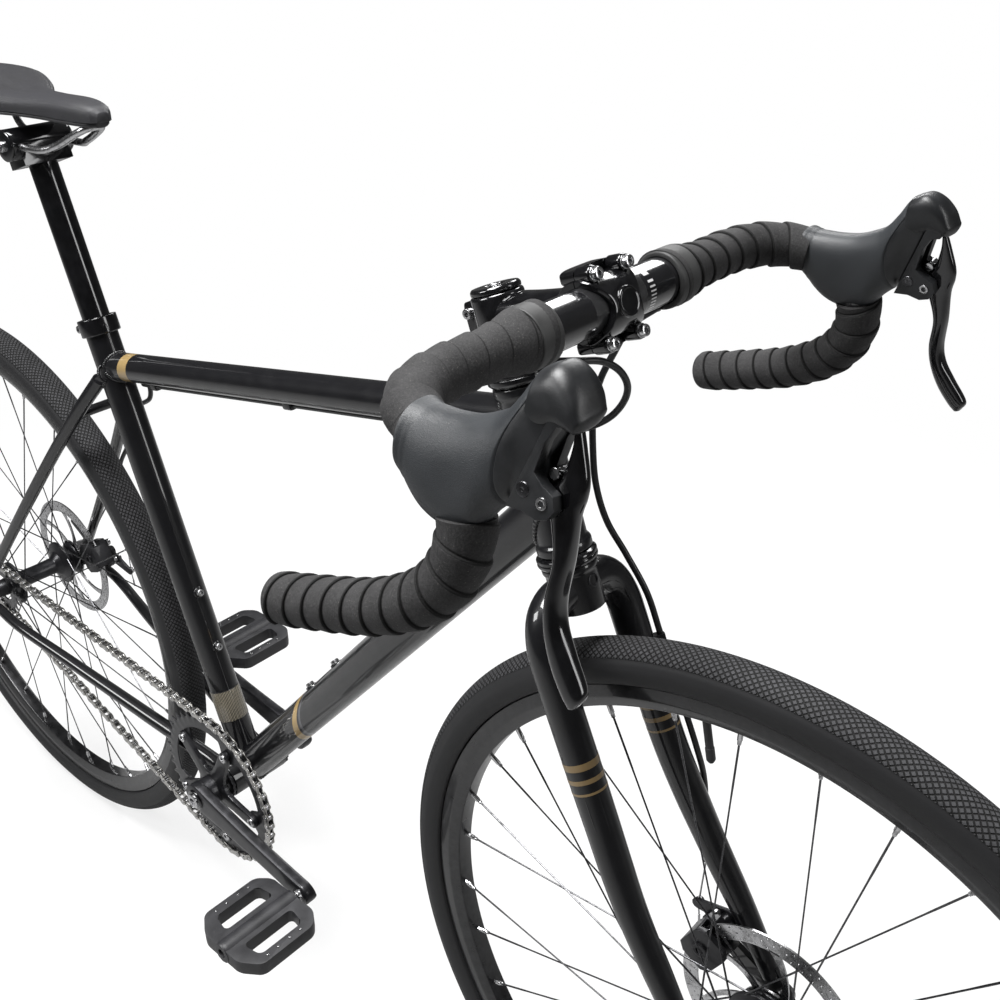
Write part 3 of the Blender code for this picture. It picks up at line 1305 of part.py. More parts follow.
def crank_arm(side):
    """An arm from the spindle's boss to the pedal eye, with the pedal's axle."""
    turn = CRANK_ANGLE if side > 0 else CRANK_ANGLE - math.pi
    end = (CRANK_LENGTH * math.cos(turn), CRANK_LENGTH * math.sin(turn))
    arm = plate(strap(0, 0, 0.0175, *end, 0.0125, 7), CRANK_THICKNESS,
                BB + side * CRANK_PLANE * Y)
    face = CRANK_PLANE + CRANK_THICKNESS / 2
    start = crank_point(side, CRANK_LENGTH, face - 0.004)
    axle = cylinder(start, crank_point(side, CRANK_LENGTH, face + PEDAL_REACH),
                    PEDAL_AXLE_RADIUS, 8)
    collar = cylinder(start, crank_point(side, CRANK_LENGTH, face + 0.004), 0.0075, 10)
    return union(arm, collar, axle)


def crankset():
    """Left arm with the spindle, right arm with its five-armed spider, and the bearing."""
    half = SHELL_WIDTH / 2
    inner = CRANK_PLANE - CRANK_THICKNESS / 2
    spindle = cylinder(BB - (inner - 0.001 - GAP) * Y, BB + (inner + 0.004) * Y, SPINDLE_RADIUS, 12)
    piece("crank_left_and_spindle", union(crank_arm(1), spindle), BLACK_ALLOY, BB)

    boss = cylinder(BB - 0.0440 * Y, BB - (inner + 0.004) * Y, 0.0165, 12)
    socket = cylinder(BB - 0.040 * Y, BB - (inner - 0.001) * Y, SPINDLE_BORE, 8)
    plane = CHAIN_LINE + RING_THICKNESS / 2 + GAP + SPIDER_THICKNESS / 2
    star = []
    for k in range(SPIDER_ARMS):
        turn = math.degrees(CRANK_ANGLE) + 360 * (k + 0.5) / SPIDER_ARMS
        a = math.radians(turn)
        star += arc(RING_BOLT_RADIUS * math.cos(a), RING_BOLT_RADIUS * math.sin(a), 0.0072,
                    turn - 75, turn + 75, 4)
        star += arc(0, 0, 0.0225, turn + 36, turn + 36, 1)
    spider = plate(star, SPIDER_THICKNESS, BB - plane * Y)
    right = cut(union(crank_arm(-1), boss, spider), socket)
    piece("crank_right_and_spider", right, BLACK_ALLOY, BB)

    flange = half + 0.0045
    bore = SPINDLE_RADIUS + 3 * GAP
    tube_radius = SHELL_BORE - GAP
    profile = [(0.0185, flange), (0.0185, half + GAP), (tube_radius, half + GAP),
               (tube_radius, -half - GAP), (0.0185, -half - GAP), (0.0185, -flange),
               (bore, -flange), (bore, flange)]
    piece("bottom_bracket", turned(profile, BB, Y, 14, True), BLACK_ALLOY)


def pedal(name, side):
    """A platform with two windows beside the barrel that turns on the axle."""
    face = CRANK_PLANE + CRANK_THICKNESS / 2 + 0.0046
    middle = face + PEDAL_REACH / 2
    width = PEDAL_REACH - 0.004
    centre = crank_point(side, CRANK_LENGTH, middle)
    x, y = PEDAL_LENGTH / 2, width / 2
    outline = [(-x, -y + 0.014), (-x + 0.020, -y), (x - 0.020, -y), (x, -y + 0.014),
               (x, y - 0.012), (x - 0.014, y), (-x + 0.014, y), (-x, y - 0.012)]
    windows = []
    for way in (1, -1):
        lo, hi = 0.0135, x - 0.011
        windows.append([(way * lo, -y + 0.016), (way * hi, -y + 0.020),
                        (way * hi, y - 0.017), (way * lo, y - 0.0135)])
    top = Vector((0, 0, 1))
    body = plate(outline, PEDAL_THICKNESS, centre, windows, top, Vector((1, 0, 0)))
    barrel = cylinder(centre - (y + 0.0005) * Y, centre + (y + 0.0005) * Y, 0.0105, 10)
    room = 0.03 * Y
    bore = cylinder(centre - y * Y - room, centre + y * Y + room, PEDAL_BORE, 8)
    piece(name, cut(union(body, barrel), bore), PLASTIC, centre)


# ------------------------------------------------------------------------ post and saddle
def post_and_saddle():
    """Seatpost with its rail clamp, the bent rails and a padded saddle."""
    foot = SADDLE_CLAMP_UP - 0.012 - POST_LENGTH
    post = cylinder(seat_point(foot), seat_point(SADDLE_CLAMP_UP - 0.008), POST_RADIUS, 14)
    head = cylinder(seat_point(SADDLE_CLAMP_UP) - 0.032 * Y, seat_point(SADDLE_CLAMP_UP) + 0.032 * Y,
                    0.0150, 12)
    yoke = box(seat_point(SADDLE_CLAMP_UP - 0.012), (0.030, 0.050, 0.020), SEAT_AXIS)
    clamp = union(post, yoke, head)
    spread = RAIL_SPREAD
    half = [(-0.128, spread + 0.018, 0.0265), (-0.112, spread + 0.016, 0.021),
            (-0.075, spread + 0.004, 0.004), (-0.045, spread, 0), (0.040, spread, 0),
            (0.068, spread - 0.006, 0.006), (0.100, 0.012, 0.020), (0.112, 0.006, 0.0255)]
    route = [rail_point(*p) for p in half] + [rail_point(x, -y, z) for x, y, z in half[::-1]]
    route = through(route, 16, 0.02)
    piece("seatpost", cut(clamp, tube(route, RAIL_RADIUS + GAP, 6)), GLOSS_BLACK,
          seat_point(SEAT_TUBE_LENGTH))
    rails = tube(route, RAIL_RADIUS, 6)
    base = saddle_base()
    piece("saddle_rails_and_base", union(base, rails), PLASTIC, seat_point(SADDLE_CLAMP_UP))
    piece("saddle_cushion", saddle_cushion(), LEATHER, seat_point(SADDLE_CLAMP_UP))


def rail_point(x, y, z):
    """A point about the rail clamp, ahead by x, to the left by y and up by z."""
    return seat_point(SADDLE_CLAMP_UP) + Vector((x, y, z))


# Stations of the saddle: share of its length from the tail, half width and top height
SADDLE_STATIONS = ((0.0, 0.52, 0.054), (0.06, 0.86, 0.058), (0.20, 1.0, 0.056), (0.36, 0.80, 0.050),
                   (0.52, 0.46, 0.047), (0.70, 0.30, 0.048), (0.88, 0.26, 0.049), (0.97, 0.19, 0.046),
                   (1.0, 0.10, 0.041))
SADDLE_TAIL = -0.142
BASE_HEIGHT = 0.0270


def saddle_ring(share, width, top, base, count=16):
    """A section of the saddle: crowned above, drawn in below, flat underneath."""
    x = SADDLE_TAIL + share * SADDLE_LENGTH
    half = width * SADDLE_WIDTH / 2
    points = []
    for k in range(count):
        a = math.pi * k / (count - 1)
        c, s = math.cos(a), math.sin(a)
        y = half * math.copysign(abs(c) ** 0.75, c) * (0.90 + 0.10 * s)
        z = base + (top - base) * s**0.55
        points.append(rail_point(x, y, z))
    return points


def saddle_cushion():
    rings = [saddle_ring(share, width, top, BASE_HEIGHT + 0.0045 + GAP)
             for share, width, top in SADDLE_STATIONS]
    return loft(rings)


def saddle_base():
    """The plastic shell under the padding."""
    upper, lower = [], []
    for share, width, _ in SADDLE_STATIONS:
        x = SADDLE_TAIL + 0.004 + share * (SADDLE_LENGTH - 0.008)
        half = width * SADDLE_WIDTH / 2 * 0.86
        upper.append((x, half))
        lower.append((x, -half))
    centre = rail_point(0, 0, BASE_HEIGHT + 0.00225)
    return plate(upper + lower[::-1], 0.0045, centre, (), Vector((0, 0, 1)), Vector((1, 0, 0)))


# ----------------------------------------------------------------------------- housings
def guide_line(share):
    """A point of the rear housing under the top tube."""
    start, end = seat_point(TOP_TUBE_ON_SEAT), steer(TOP_TUBE_ON_HEAD)
    run = (end - start).normalized()
    under = Vector((run.z, 0, -run.x))
    drop = TOP_TUBE_RADIUS + HOUSING_RADIUS + 2 * GAP
    return start.lerp(end, share) + drop * under + GUIDE_SIDE * Y


def frame_housing(extra=0.0):
    """The rear brake housing, from the first guide back to the caliper."""
    line = [guide_line(share) for share in (LOOP_END, 0.80, 0.5, 0.2, 0.085)]
    line += [seat_point(TOP_TUBE_ON_SEAT - 0.0285, 0.012, 0.0250),
             seat_point(TOP_TUBE_ON_SEAT - 0.0455, -0.012, 0.0330)]
    top, end = seat_stay_ends(1)
    for share, out in ((0.20, 0.0185), (0.38, 0.0200), (0.54, 0.0170)):
        line.append(top.lerp(end, share) + Vector((0.004, out, -0.004)))
    line += [REAR_AXLE + Vector((0.120, 0.0765, 0.100)), rear_housing_end()]
    return tube(through(line, 18, 0.05), HOUSING_RADIUS + extra, 6)


def rear_housing_end():
    """Above the tip of the rear caliper's arm."""
    pivot = caliper_arm_pivot(REAR_AXLE, REAR_HUB_WIDTH, REAR_CALIPER_ANGLE)
    return pivot + Vector((0.034, 0.001, 0.042))


def rear_loop():
    """The free stretch of the rear housing, from the bar round the head tube."""
    under = -(BAR_RADIUS + HOUSING_RADIUS + GAP)
    start = BAR_CENTRE + Vector((0, -TAPE_START + 2 * GAP, under))
    run = (steer(TOP_TUBE_ON_HEAD) - seat_point(TOP_TUBE_ON_SEAT)).normalized()
    end = guide_line(LOOP_END) + 0.0006 * run
    places = ((0.4700, -0.0440, 0.8865), (0.4695, -0.0200, 0.8790), (0.4740, 0.0010, 0.8735),
              (0.4780, 0.0150, 0.8640), (0.4780, 0.0250, 0.8500), (0.4720, 0.0300, 0.8350),
              (0.4600, 0.0315, 0.8195), (0.4440, 0.0290, 0.8080), (0.4240, 0.0265, 0.7990),
              (0.4020, 0.0180, 0.7930))
    line = [start + 0.006 * Y, *(from_bar(*place) for place in places), end + 0.008 * run]
    route = [start] + through(line, 16, 0.05) + [end]
    piece("rear_brake_housing_loop", tube(route, HOUSING_RADIUS, 6), HOUSING)


LOOP_END = 0.90  # share of the top tube where the loop meets the frame's housing


def front_housing_line():
    """The front brake housing, from the bar past the head tube and down the fork leg."""
    under = -(BAR_RADIUS + HOUSING_RADIUS + GAP)
    start = BAR_CENTRE + Vector((0, TAPE_START - 2 * GAP, under))
    places = ((0.4590, 0.0520, 0.8790), (0.4480, 0.0500, 0.8580), (0.4410, 0.0440, 0.8370),
              (0.4390, 0.0400, 0.8150), (0.4410, 0.0375, 0.7900), (0.4450, 0.0370, 0.7600),
              (0.4520, 0.0420, 0.7300), (0.4640, 0.0510, 0.7020), (0.4800, 0.0570, 0.6720))
    line = [start - 0.006 * Y, *(from_bar(*place) for place in places)]
    leg = leg_points(1)
    ahead = (STEER_AHEAD + Y).normalized()
    behind = (Y - 1.3 * STEER_AHEAD).normalized()
    stops = ((leg[4].lerp(leg[5], 0.4), ahead), (leg[5], ahead), (leg[6], ahead),
             (leg[6].lerp(leg[7], 0.55), Y), (leg[7].lerp(leg[8], 0.1), behind))
    for place, way in stops:
        reach = LEG_RADIUS * leg_width(place) + HOUSING_RADIUS + 0.0026
        line.append(place + reach * way)
    line.append(front_housing_end())
    return [start] + through(line, 20, 0.05)


def front_housing_end():
    """Above the tip of the front caliper's arm."""
    pivot = caliper_arm_pivot(FRONT_AXLE, FRONT_HUB_WIDTH, FRONT_CALIPER_ANGLE)
    return pivot + Vector((-0.026, 0.001, 0.046))


# -------------------------------------------------------------------------------- build
def build():
    wheel("front", FRONT_AXLE, FRONT_HUB_WIDTH, 0.0225, -0.0345)
    wheel("rear", REAR_AXLE, REAR_HUB_WIDTH, 0.0350, -0.0310)
    axle_rod("front_axle", FRONT_AXLE, FRONT_HUB_WIDTH, DROPOUT_THICKNESS)
    axle_rod("rear_axle", REAR_AXLE, REAR_HUB_WIDTH, DROPOUT_THICKNESS)
    main_tubes()
    rear_stays()
    seat_collar()
    headset()
    fork()
    stem()
    handlebar()
    bar_tape()
    lever_set("left", 1)
    lever_set("right", -1)
    caliper("front", FRONT_AXLE, FRONT_HUB_WIDTH, FRONT_CALIPER_ANGLE, math.radians(188))
    caliper("rear", REAR_AXLE, REAR_HUB_WIDTH, REAR_CALIPER_ANGLE, math.radians(-15))
    sprockets()
    chain()
    crankset()
    pedal("pedal_left", 1)
    pedal("pedal_right", -1)
    post_and_saddle()
    piece("rear_brake_housing", frame_housing(), HOUSING)
    piece("front_brake_housing", tube(front_housing_line(), HOUSING_RADIUS, 6), HOUSING)
    rear_loop()


clear_scene()
BICYCLE = new_collection("road_bicycle")
CUTTERS = new_collection("cutters")
build()
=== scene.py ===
"""Looks of a single-speed road bicycle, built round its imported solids.

Lengths are metres in the row frame: +X ahead, +Y to the rider's left and +Z up. Every
new surface is a grid of points worked out with numpy as a function of two parameters.
"""

from __future__ import annotations

import logging
import math
from dataclasses import dataclass, field
from enum import Enum
from typing import Any, Sequence

import bmesh
import bpy
import numpy as np
from mathutils import Matrix

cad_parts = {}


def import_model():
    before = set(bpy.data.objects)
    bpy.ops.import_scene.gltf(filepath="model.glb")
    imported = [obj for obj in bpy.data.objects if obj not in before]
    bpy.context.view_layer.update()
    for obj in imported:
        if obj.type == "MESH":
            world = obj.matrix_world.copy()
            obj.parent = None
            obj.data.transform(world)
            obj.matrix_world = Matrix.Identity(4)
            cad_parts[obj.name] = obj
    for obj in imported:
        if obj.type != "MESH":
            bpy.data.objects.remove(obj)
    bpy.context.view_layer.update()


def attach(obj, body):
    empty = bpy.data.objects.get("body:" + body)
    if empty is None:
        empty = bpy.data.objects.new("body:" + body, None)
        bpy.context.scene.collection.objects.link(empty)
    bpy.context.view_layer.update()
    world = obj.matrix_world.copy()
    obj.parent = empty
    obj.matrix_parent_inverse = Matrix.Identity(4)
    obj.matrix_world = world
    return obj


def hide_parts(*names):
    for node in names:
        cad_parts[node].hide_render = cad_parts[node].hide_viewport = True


Array = np.ndarray
LOG = logging.getLogger("bicycle")
AHEAD = np.array((1.0, 0.0, 0.0))
LEFT = np.array((0.0, 1.0, 0.0))
UP = np.array((0.0, 0.0, 1.0))
GAP = 0.0003


class Side(Enum):
    """The rider's left and right, as signs along +Y."""

    LEFT = 1
    RIGHT = -1

    @property
    def word(self) -> str:
        """The side's name as the solids use it."""
        return self.name.lower()


BOTH = (Side.LEFT, Side.RIGHT)


# ------------------------------------------------------------------------------ geometry
def unit(vectors: Array) -> Array:
    """Vectors divided by their own lengths.

    Args:
        vectors: one vector, or rows of them.

    Returns:
        The same shape, each vector of length one.
    """
    return vectors / np.linalg.norm(vectors, axis=-1, keepdims=True)


def vec(x: float, y: float, z: float) -> Array:
    """A point or direction as an array."""
    return np.array((x, y, z), float)


def lerp(a: Array, b: Array, share: float) -> Array:
    """The point at a share of the way from a to b."""
    return a + (b - a) * share


def smooth_line(points: Sequence[Array], count: int) -> Array:
    """Points spread evenly along the cardinal spline through the given ones.

    Each span is the cubic 0.5 (2b + (c-a) t + (2a-5b+4c-d) t^2 + (3b-a-3c+d) t^3).

    Args:
        points: the places that the line passes through, as rows of any width.
        count: how many points to return.

    Returns:
        An array of count rows.
    """
    route = np.array(points, float)
    ends = np.vstack([2 * route[0] - route[1], route, 2 * route[-1] - route[-2]])
    a, b, c, d = (ends[k:len(ends) - 3 + k, None] for k in range(4))
    t = np.linspace(0, 1, 32, endpoint=False)[None, :, None]
    dense = 0.5 * (2 * b + (c - a) * t + (2 * a - 5 * b + 4 * c - d) * t**2
                   + (3 * b - a - 3 * c + d) * t**3)
    dense = np.vstack([dense.reshape(-1, route.shape[1]), route[-1]])
    along = np.concatenate([[0], np.cumsum(np.linalg.norm(np.diff(dense, axis=0), axis=1))])
    at = np.linspace(0, along[-1], count)
    return np.stack([np.interp(at, along, dense[:, k]) for k in range(dense.shape[1])], 1)


def lengths_along(line: Array) -> Array:
    """The distance of each point of a line from its start, measured along it."""
    return np.concatenate([[0], np.cumsum(np.linalg.norm(np.diff(line, axis=0), axis=1))])


def carried_frames(line: Array, upward: Array) -> tuple[Array, Array, Array]:
    """Tangents along a line, with two cross directions that don't twist about it.

    The first cross direction starts as upward and is pressed flat against each tangent
    in turn. The second is the cross product of tangent and first.

    Args:
        line: rows of points.
        upward: the direction that the first cross direction starts from.

    Returns:
        Tangents, first and second cross directions, one row for each point.
    """
    tangents = unit(np.gradient(line, axis=0))
    across = [upward]
    for tangent in tangents:
        flat = across[-1] - across[-1].dot(tangent) * tangent
        across.append(flat / np.linalg.norm(flat))
    first = np.array(across[1:])
    return tangents, first, np.cross(tangents, first)


def axes(axis: Array, reference: Array = UP) -> tuple[Array, Array, Array]:
    """Three square directions round an axis.

    Args:
        axis: the third direction, of any length.
        reference: what the first direction leans towards.

    Returns:
        One near the reference, one beside it, and the axis itself.
    """
    z = unit(np.asarray(axis, float))
    x = reference - reference.dot(z) * z
    if np.linalg.norm(x) < 1e-6:
        x = AHEAD - AHEAD.dot(z) * z
    x = unit(x)
    return x, np.cross(z, x), z


def turn_angles(count: int) -> Array:
    """Angles spread evenly round a full turn."""
    return 2 * math.pi * np.arange(count) / count


def rounded(profile: Sequence[tuple[float, float]], radius: float, closed: bool = False,
            count: int = 4) -> Array:
    """A profile with its corners rounded.

    Each corner becomes the curve (1-t)^2 a + 2 t (1-t) corner + t^2 b between points a
    and b that lie on its two edges, at the radius or at under half of the shorter edge.

    Args:
        profile: corner points of a broken line.
        radius: how far along its edges a corner's curve begins.
        closed: whether the last point joins the first.
        count: points in each corner's curve.

    Returns:
        Rows of two numbers.
    """
    corners = np.array(profile, float)
    before, after = np.roll(corners, 1, 0), np.roll(corners, -1, 0)
    into, away = before - corners, after - corners
    reach = np.minimum(np.linalg.norm(into, axis=1), np.linalg.norm(away, axis=1)) * 0.48
    reach = np.minimum(reach, radius)[:, None]
    a = corners + into / np.maximum(np.linalg.norm(into, axis=1, keepdims=True), 1e-12) * reach
    b = corners + away / np.maximum(np.linalg.norm(away, axis=1, keepdims=True), 1e-12) * reach
    t = np.linspace(0, 1, count)[:, None]
    curves = [(1 - t)**2 * p + 2 * t * (1 - t) * q + t**2 * r for p, q, r in zip(a, corners, b)]
    if not closed:
        curves[0], curves[-1] = corners[:1], corners[-1:]
    return np.vstack(curves)


def turned(profile: Array, origin: Array, axis: Array, steps: int = 64,
           reference: Array = UP) -> Array:
    """A surface of revolution: radius and height of the profile carried round an axis.

    Args:
        profile: rows of (radius, height along the axis).
        origin: the axis's zero height.
        axis: the axis's direction.
        steps: points round a turn.
        reference: where the first of them points.

    Returns:
        A grid of shape (profile, steps, 3) that closes round its second side.
    """
    x, y, z = axes(axis, reference)
    profile = np.asarray(profile, float)
    a = turn_angles(steps)
    around = np.cos(a)[:, None] * x + np.sin(a)[:, None] * y
    return origin + profile[:, 1, None, None] * z + profile[:, 0, None, None] * around


def swept(line: Array, radii: Array | float, sides: int = 32, upward: Array = UP,
          capped: bool = True) -> Array:
    """A round bar: rings of the given radii carried along a line.

    Args:
        line: rows of points.
        radii: one radius, or one for each point.
        sides: points round a ring.
        upward: where the first point of the first ring lies.
        capped: whether both ends run in to a point on the line.

    Returns:
        A grid that closes round its second side.
    """
    _, u, v = carried_frames(line, upward)
    a = turn_angles(sides)
    ring = np.cos(a)[None, :, None] * u[:, None] + np.sin(a)[None, :, None] * v[:, None]
    radii = np.broadcast_to(np.asarray(radii, float), (len(line),))
    grid = line[:, None] + radii[:, None, None] * ring
    if capped:
        grid = np.concatenate([np.repeat(line[:1, None], sides, 1), grid,
                               np.repeat(line[-1:, None], sides, 1)])
    return grid


def superellipse(count: int, power: float) -> tuple[Array, Array]:
    """Cosine and sine raised to 2 / power with their signs kept: a squarish ring.

    Args:
        count: points round the ring.
        power: 2 for a circle; larger is squarer.

    Returns:
        The first and the second coordinate of each point.
    """
    a = turn_angles(count)
    c, s = np.cos(a), np.sin(a)
    return np.sign(c) * abs(c)**(2 / power), np.sign(s) * abs(s)**(2 / power)


def closed_ends(rings: Array, bulge: float = 0.0, rows: int = 4) -> Array:
    """Rings with both ends drawn in to their middles like a shallow dome.

    The ring at share t of the way in is scaled by cos and pushed out by sin.

    Args:
        rings: a grid of rings.
        bulge: how far each dome stands out.
        rows: rings added at each end.

    Returns:
        The longer grid.
    """
    t = np.linspace(0, math.pi / 2, rows + 1)[1:]
    made = []
    for ring, inner in ((rings[0], rings[1]), (rings[-1], rings[-2])):
        middle = ring.mean(0)
        out = unit(middle - inner.mean(0)) * bulge
        made.append(middle + np.cos(t)[:, None, None] * (ring - middle)
                    + np.sin(t)[:, None, None] * out)
    return np.concatenate([made[0][::-1], rings, made[1]])


class Shape:
    """Gathers grids of points into one mesh with a UV map."""

    def __init__(self) -> None:
        """Start with nothing."""
        self.points: list[Array] = []
        self.faces: list[Array] = []
        self.uvs: list[Array] = []
        self.slots: list[Array] = []
        self.count = 0

    def grid(self, points: Array, wrap: tuple[bool, bool] = (False, True),
             uv: Array | None = None, slot: int = 0) -> Shape:
        """Add a grid of points as quads.

        Args:
            points: array of shape (rows, columns, 3).
            wrap: whether the rows and the columns close on themselves.
            uv: pattern coordinates, one more row or column than the points where they wrap.
            slot: number of the material.

        Returns:
            This shape.
        """
        rows, columns = points.shape[:2]
        down, across = rows + wrap[0], columns + wrap[1]
        if uv is None:
            uv = np.stack(np.meshgrid(np.linspace(0, 1, down), np.linspace(0, 1, across),
                                      indexing="ij"), -1)
        i, j = (a.ravel() for a in np.meshgrid(np.arange(down - 1), np.arange(across - 1),
                                               indexing="ij"))
        corners = ((i, j), (i, j + 1), (i + 1, j + 1), (i + 1, j))
        quads = np.stack([self.count + (a % rows) * columns + b % columns for a, b in corners], 1)
        self.points.append(points.reshape(-1, 3))
        self.faces.append(quads)
        self.uvs.append(np.stack([uv[a, b] for a, b in corners], 1).reshape(-1, 2))
        self.slots.append(np.full(len(quads), slot))
        self.count += rows * columns
        return self

    def copies(self, points: Array, turns: Array, places: Array,
               wrap: tuple[bool, bool] = (False, True), slot: int = 0) -> Shape:
        """Add one small grid many times.

        Args:
            points: the grid in its own frame.
            turns: one 3 by 3 matrix of column directions for each copy.
            places: one origin for each copy.
            wrap: whether the grid's rows and columns close on themselves.
            slot: number of the material.

        Returns:
            This shape.
        """
        moved = np.einsum("kab,ijb->kija", turns, points) + places[:, None, None]
        for each in moved:
            self.grid(each, wrap, slot=slot)
        return self

    def bar(self, line: Array, radii: Array | float, sides: int = 32, upward: Array = UP,
            slot: int = 0) -> Shape:
        """Add a round bar along a line, closed at both ends.

        Args:
            line: rows of points.
            radii: one radius, or one for each point.
            sides: points round it.
            upward: where the first point of the first ring lies.
            slot: number of the material.

        Returns:
            This shape.
        """
        return self.grid(swept(line, radii, sides, upward), slot=slot)

    def lathe(self, profile: Array, origin: Array, axis: Array, steps: int = 64,
              ring: bool = False, slot: int = 0) -> Shape:
        """Add a turned solid; a ring's profile closes on itself.

        Args:
            profile: rows of (radius, height).
            origin: the axis's zero height.
            axis: the axis's direction.
            steps: points round it.
            ring: whether the profile is closed.
            slot: number of the material.

        Returns:
            This shape.
        """
        return self.grid(turned(profile, origin, axis, steps), (ring, True), slot=slot)

    def made(self, name: str, materials: Sequence[bpy.types.Material],
             sharp: float = 38.0) -> bpy.types.Object:
        """Weld the grids and turn their faces outwards.

        Args:
            name: the object's name.
            materials: what the slot numbers stand for.
            sharp: angle in degrees past which an edge stays sharp.

        Returns:
            The object, linked to the scene.
        """
        mesh = bpy.data.meshes.new(name)
        mesh.from_pydata(np.vstack(self.points), [], np.vstack(self.faces).tolist())
        mesh.uv_layers.new(name="UVMap")
        mesh.uv_layers[0].data.foreach_set("uv", np.vstack(self.uvs).astype(np.float32).ravel())
        mesh.polygons.foreach_set("material_index", np.concatenate(self.slots).astype(np.int32))
        for material in materials:
            mesh.materials.append(material)
        weld(mesh)
        mesh.shade_smooth()
        mesh.set_sharp_from_angle(angle=math.radians(sharp))
        made = bpy.data.objects.new(name, mesh)
        bpy.context.scene.collection.objects.link(made)
        return made


def weld(mesh: bpy.types.Mesh, distance: float = 2e-6, flat: bool = False) -> None:
    """Merge double points, drop empty faces and turn each shell outwards.

    Args:
        mesh: what is changed in place.
        distance: points nearer than this merge.
        flat: whether neighbouring triangles in one plane become one face.
    """
    work = bmesh.new()
    work.from_mesh(mesh)
    bmesh.ops.remove_doubles(work, verts=work.verts, dist=distance)
    bmesh.ops.dissolve_degenerate(work, edges=work.edges, dist=distance / 2)
    if flat:
        bmesh.ops.dissolve_limit(work, angle_limit=math.radians(0.5), verts=work.verts,
                                 edges=work.edges)
    bmesh.ops.recalc_face_normals(work, faces=work.faces)
    work.to_mesh(mesh)
    work.free()


def round_uprights(mesh: bpy.types.Mesh, radius: float) -> None:
    """Round the upright edges of a plate that lies level, if they are as tall as it is.

    Args:
        mesh: the plate.
        radius: how far from each edge its curve begins.
    """
    work = bmesh.new()
    work.from_mesh(mesh)
    upright = [e for e in work.edges
               if (e.verts[0].co.xy - e.verts[1].co.xy).length < 1e-5]
    tall = 0.9 * max(e.calc_length() for e in upright)
    upright = [e for e in upright if e.calc_length() > tall]
    bmesh.ops.bevel(work, geom=upright, offset=radius, segments=5, profile=0.5,
                    affect="EDGES", clamp_overlap=True)
    work.to_mesh(mesh)
    work.free()


def softened(node: str, name: str, material: bpy.types.Material, width: float,
             segments: int = 2, corner: float = 0.0) -> bpy.types.Object:
    """A copy of a solid whose sharp edges are rounded by a bevel.

    Args:
        node: the solid that is copied.
        name: the copy's name.
        material: its finish.
        width: width of the bevel.
        segments: faces across it.
        corner: radius of the upright edges before the bevel, where that is larger.

    Returns:
        The copy, linked to the scene.
    """
    source = bpy.data.objects[node].data
    mesh = source.copy()
    mesh.name = name
    weld(mesh, 1e-5, flat=True)
    if corner:
        round_uprights(mesh, corner)
    mesh.materials.clear()
    mesh.materials.append(material)
    mesh.shade_smooth()
    made = bpy.data.objects.new(name, mesh)
    bpy.context.scene.collection.objects.link(made)
    bevel = made.modifiers.new("Edges", "BEVEL")
    bevel.width = width
    bevel.segments = segments
    bevel.limit_method = "ANGLE"
    bevel.angle_limit = math.radians(38)
    bevel.use_clamp_overlap = True
    bevel.harden_normals = True
    return made


def placed(made: bpy.types.Object, body: str, slot: str, *nodes: str) -> bpy.types.Object:
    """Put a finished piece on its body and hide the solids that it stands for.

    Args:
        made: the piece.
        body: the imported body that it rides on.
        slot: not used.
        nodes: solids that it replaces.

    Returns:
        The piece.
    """
    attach(made, body)
    if nodes:
        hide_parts(*nodes)
    LOG.info("%s: %d faces on %s", made.name, len(made.data.polygons), body)
    return made


def dressed(finish: Finish, *nodes: str) -> None:
    """Give solids that stay in the picture a finish of this script.

    Args:
        finish: takes the place of each solid's plain material.
        nodes: names of the solids.
    """
    for node in nodes:
        mesh = bpy.data.objects[node].data
        mesh.materials.clear()
        mesh.materials.append(finish.material())
        LOG.info("%s: dressed, %d faces", node, len(mesh.polygons))


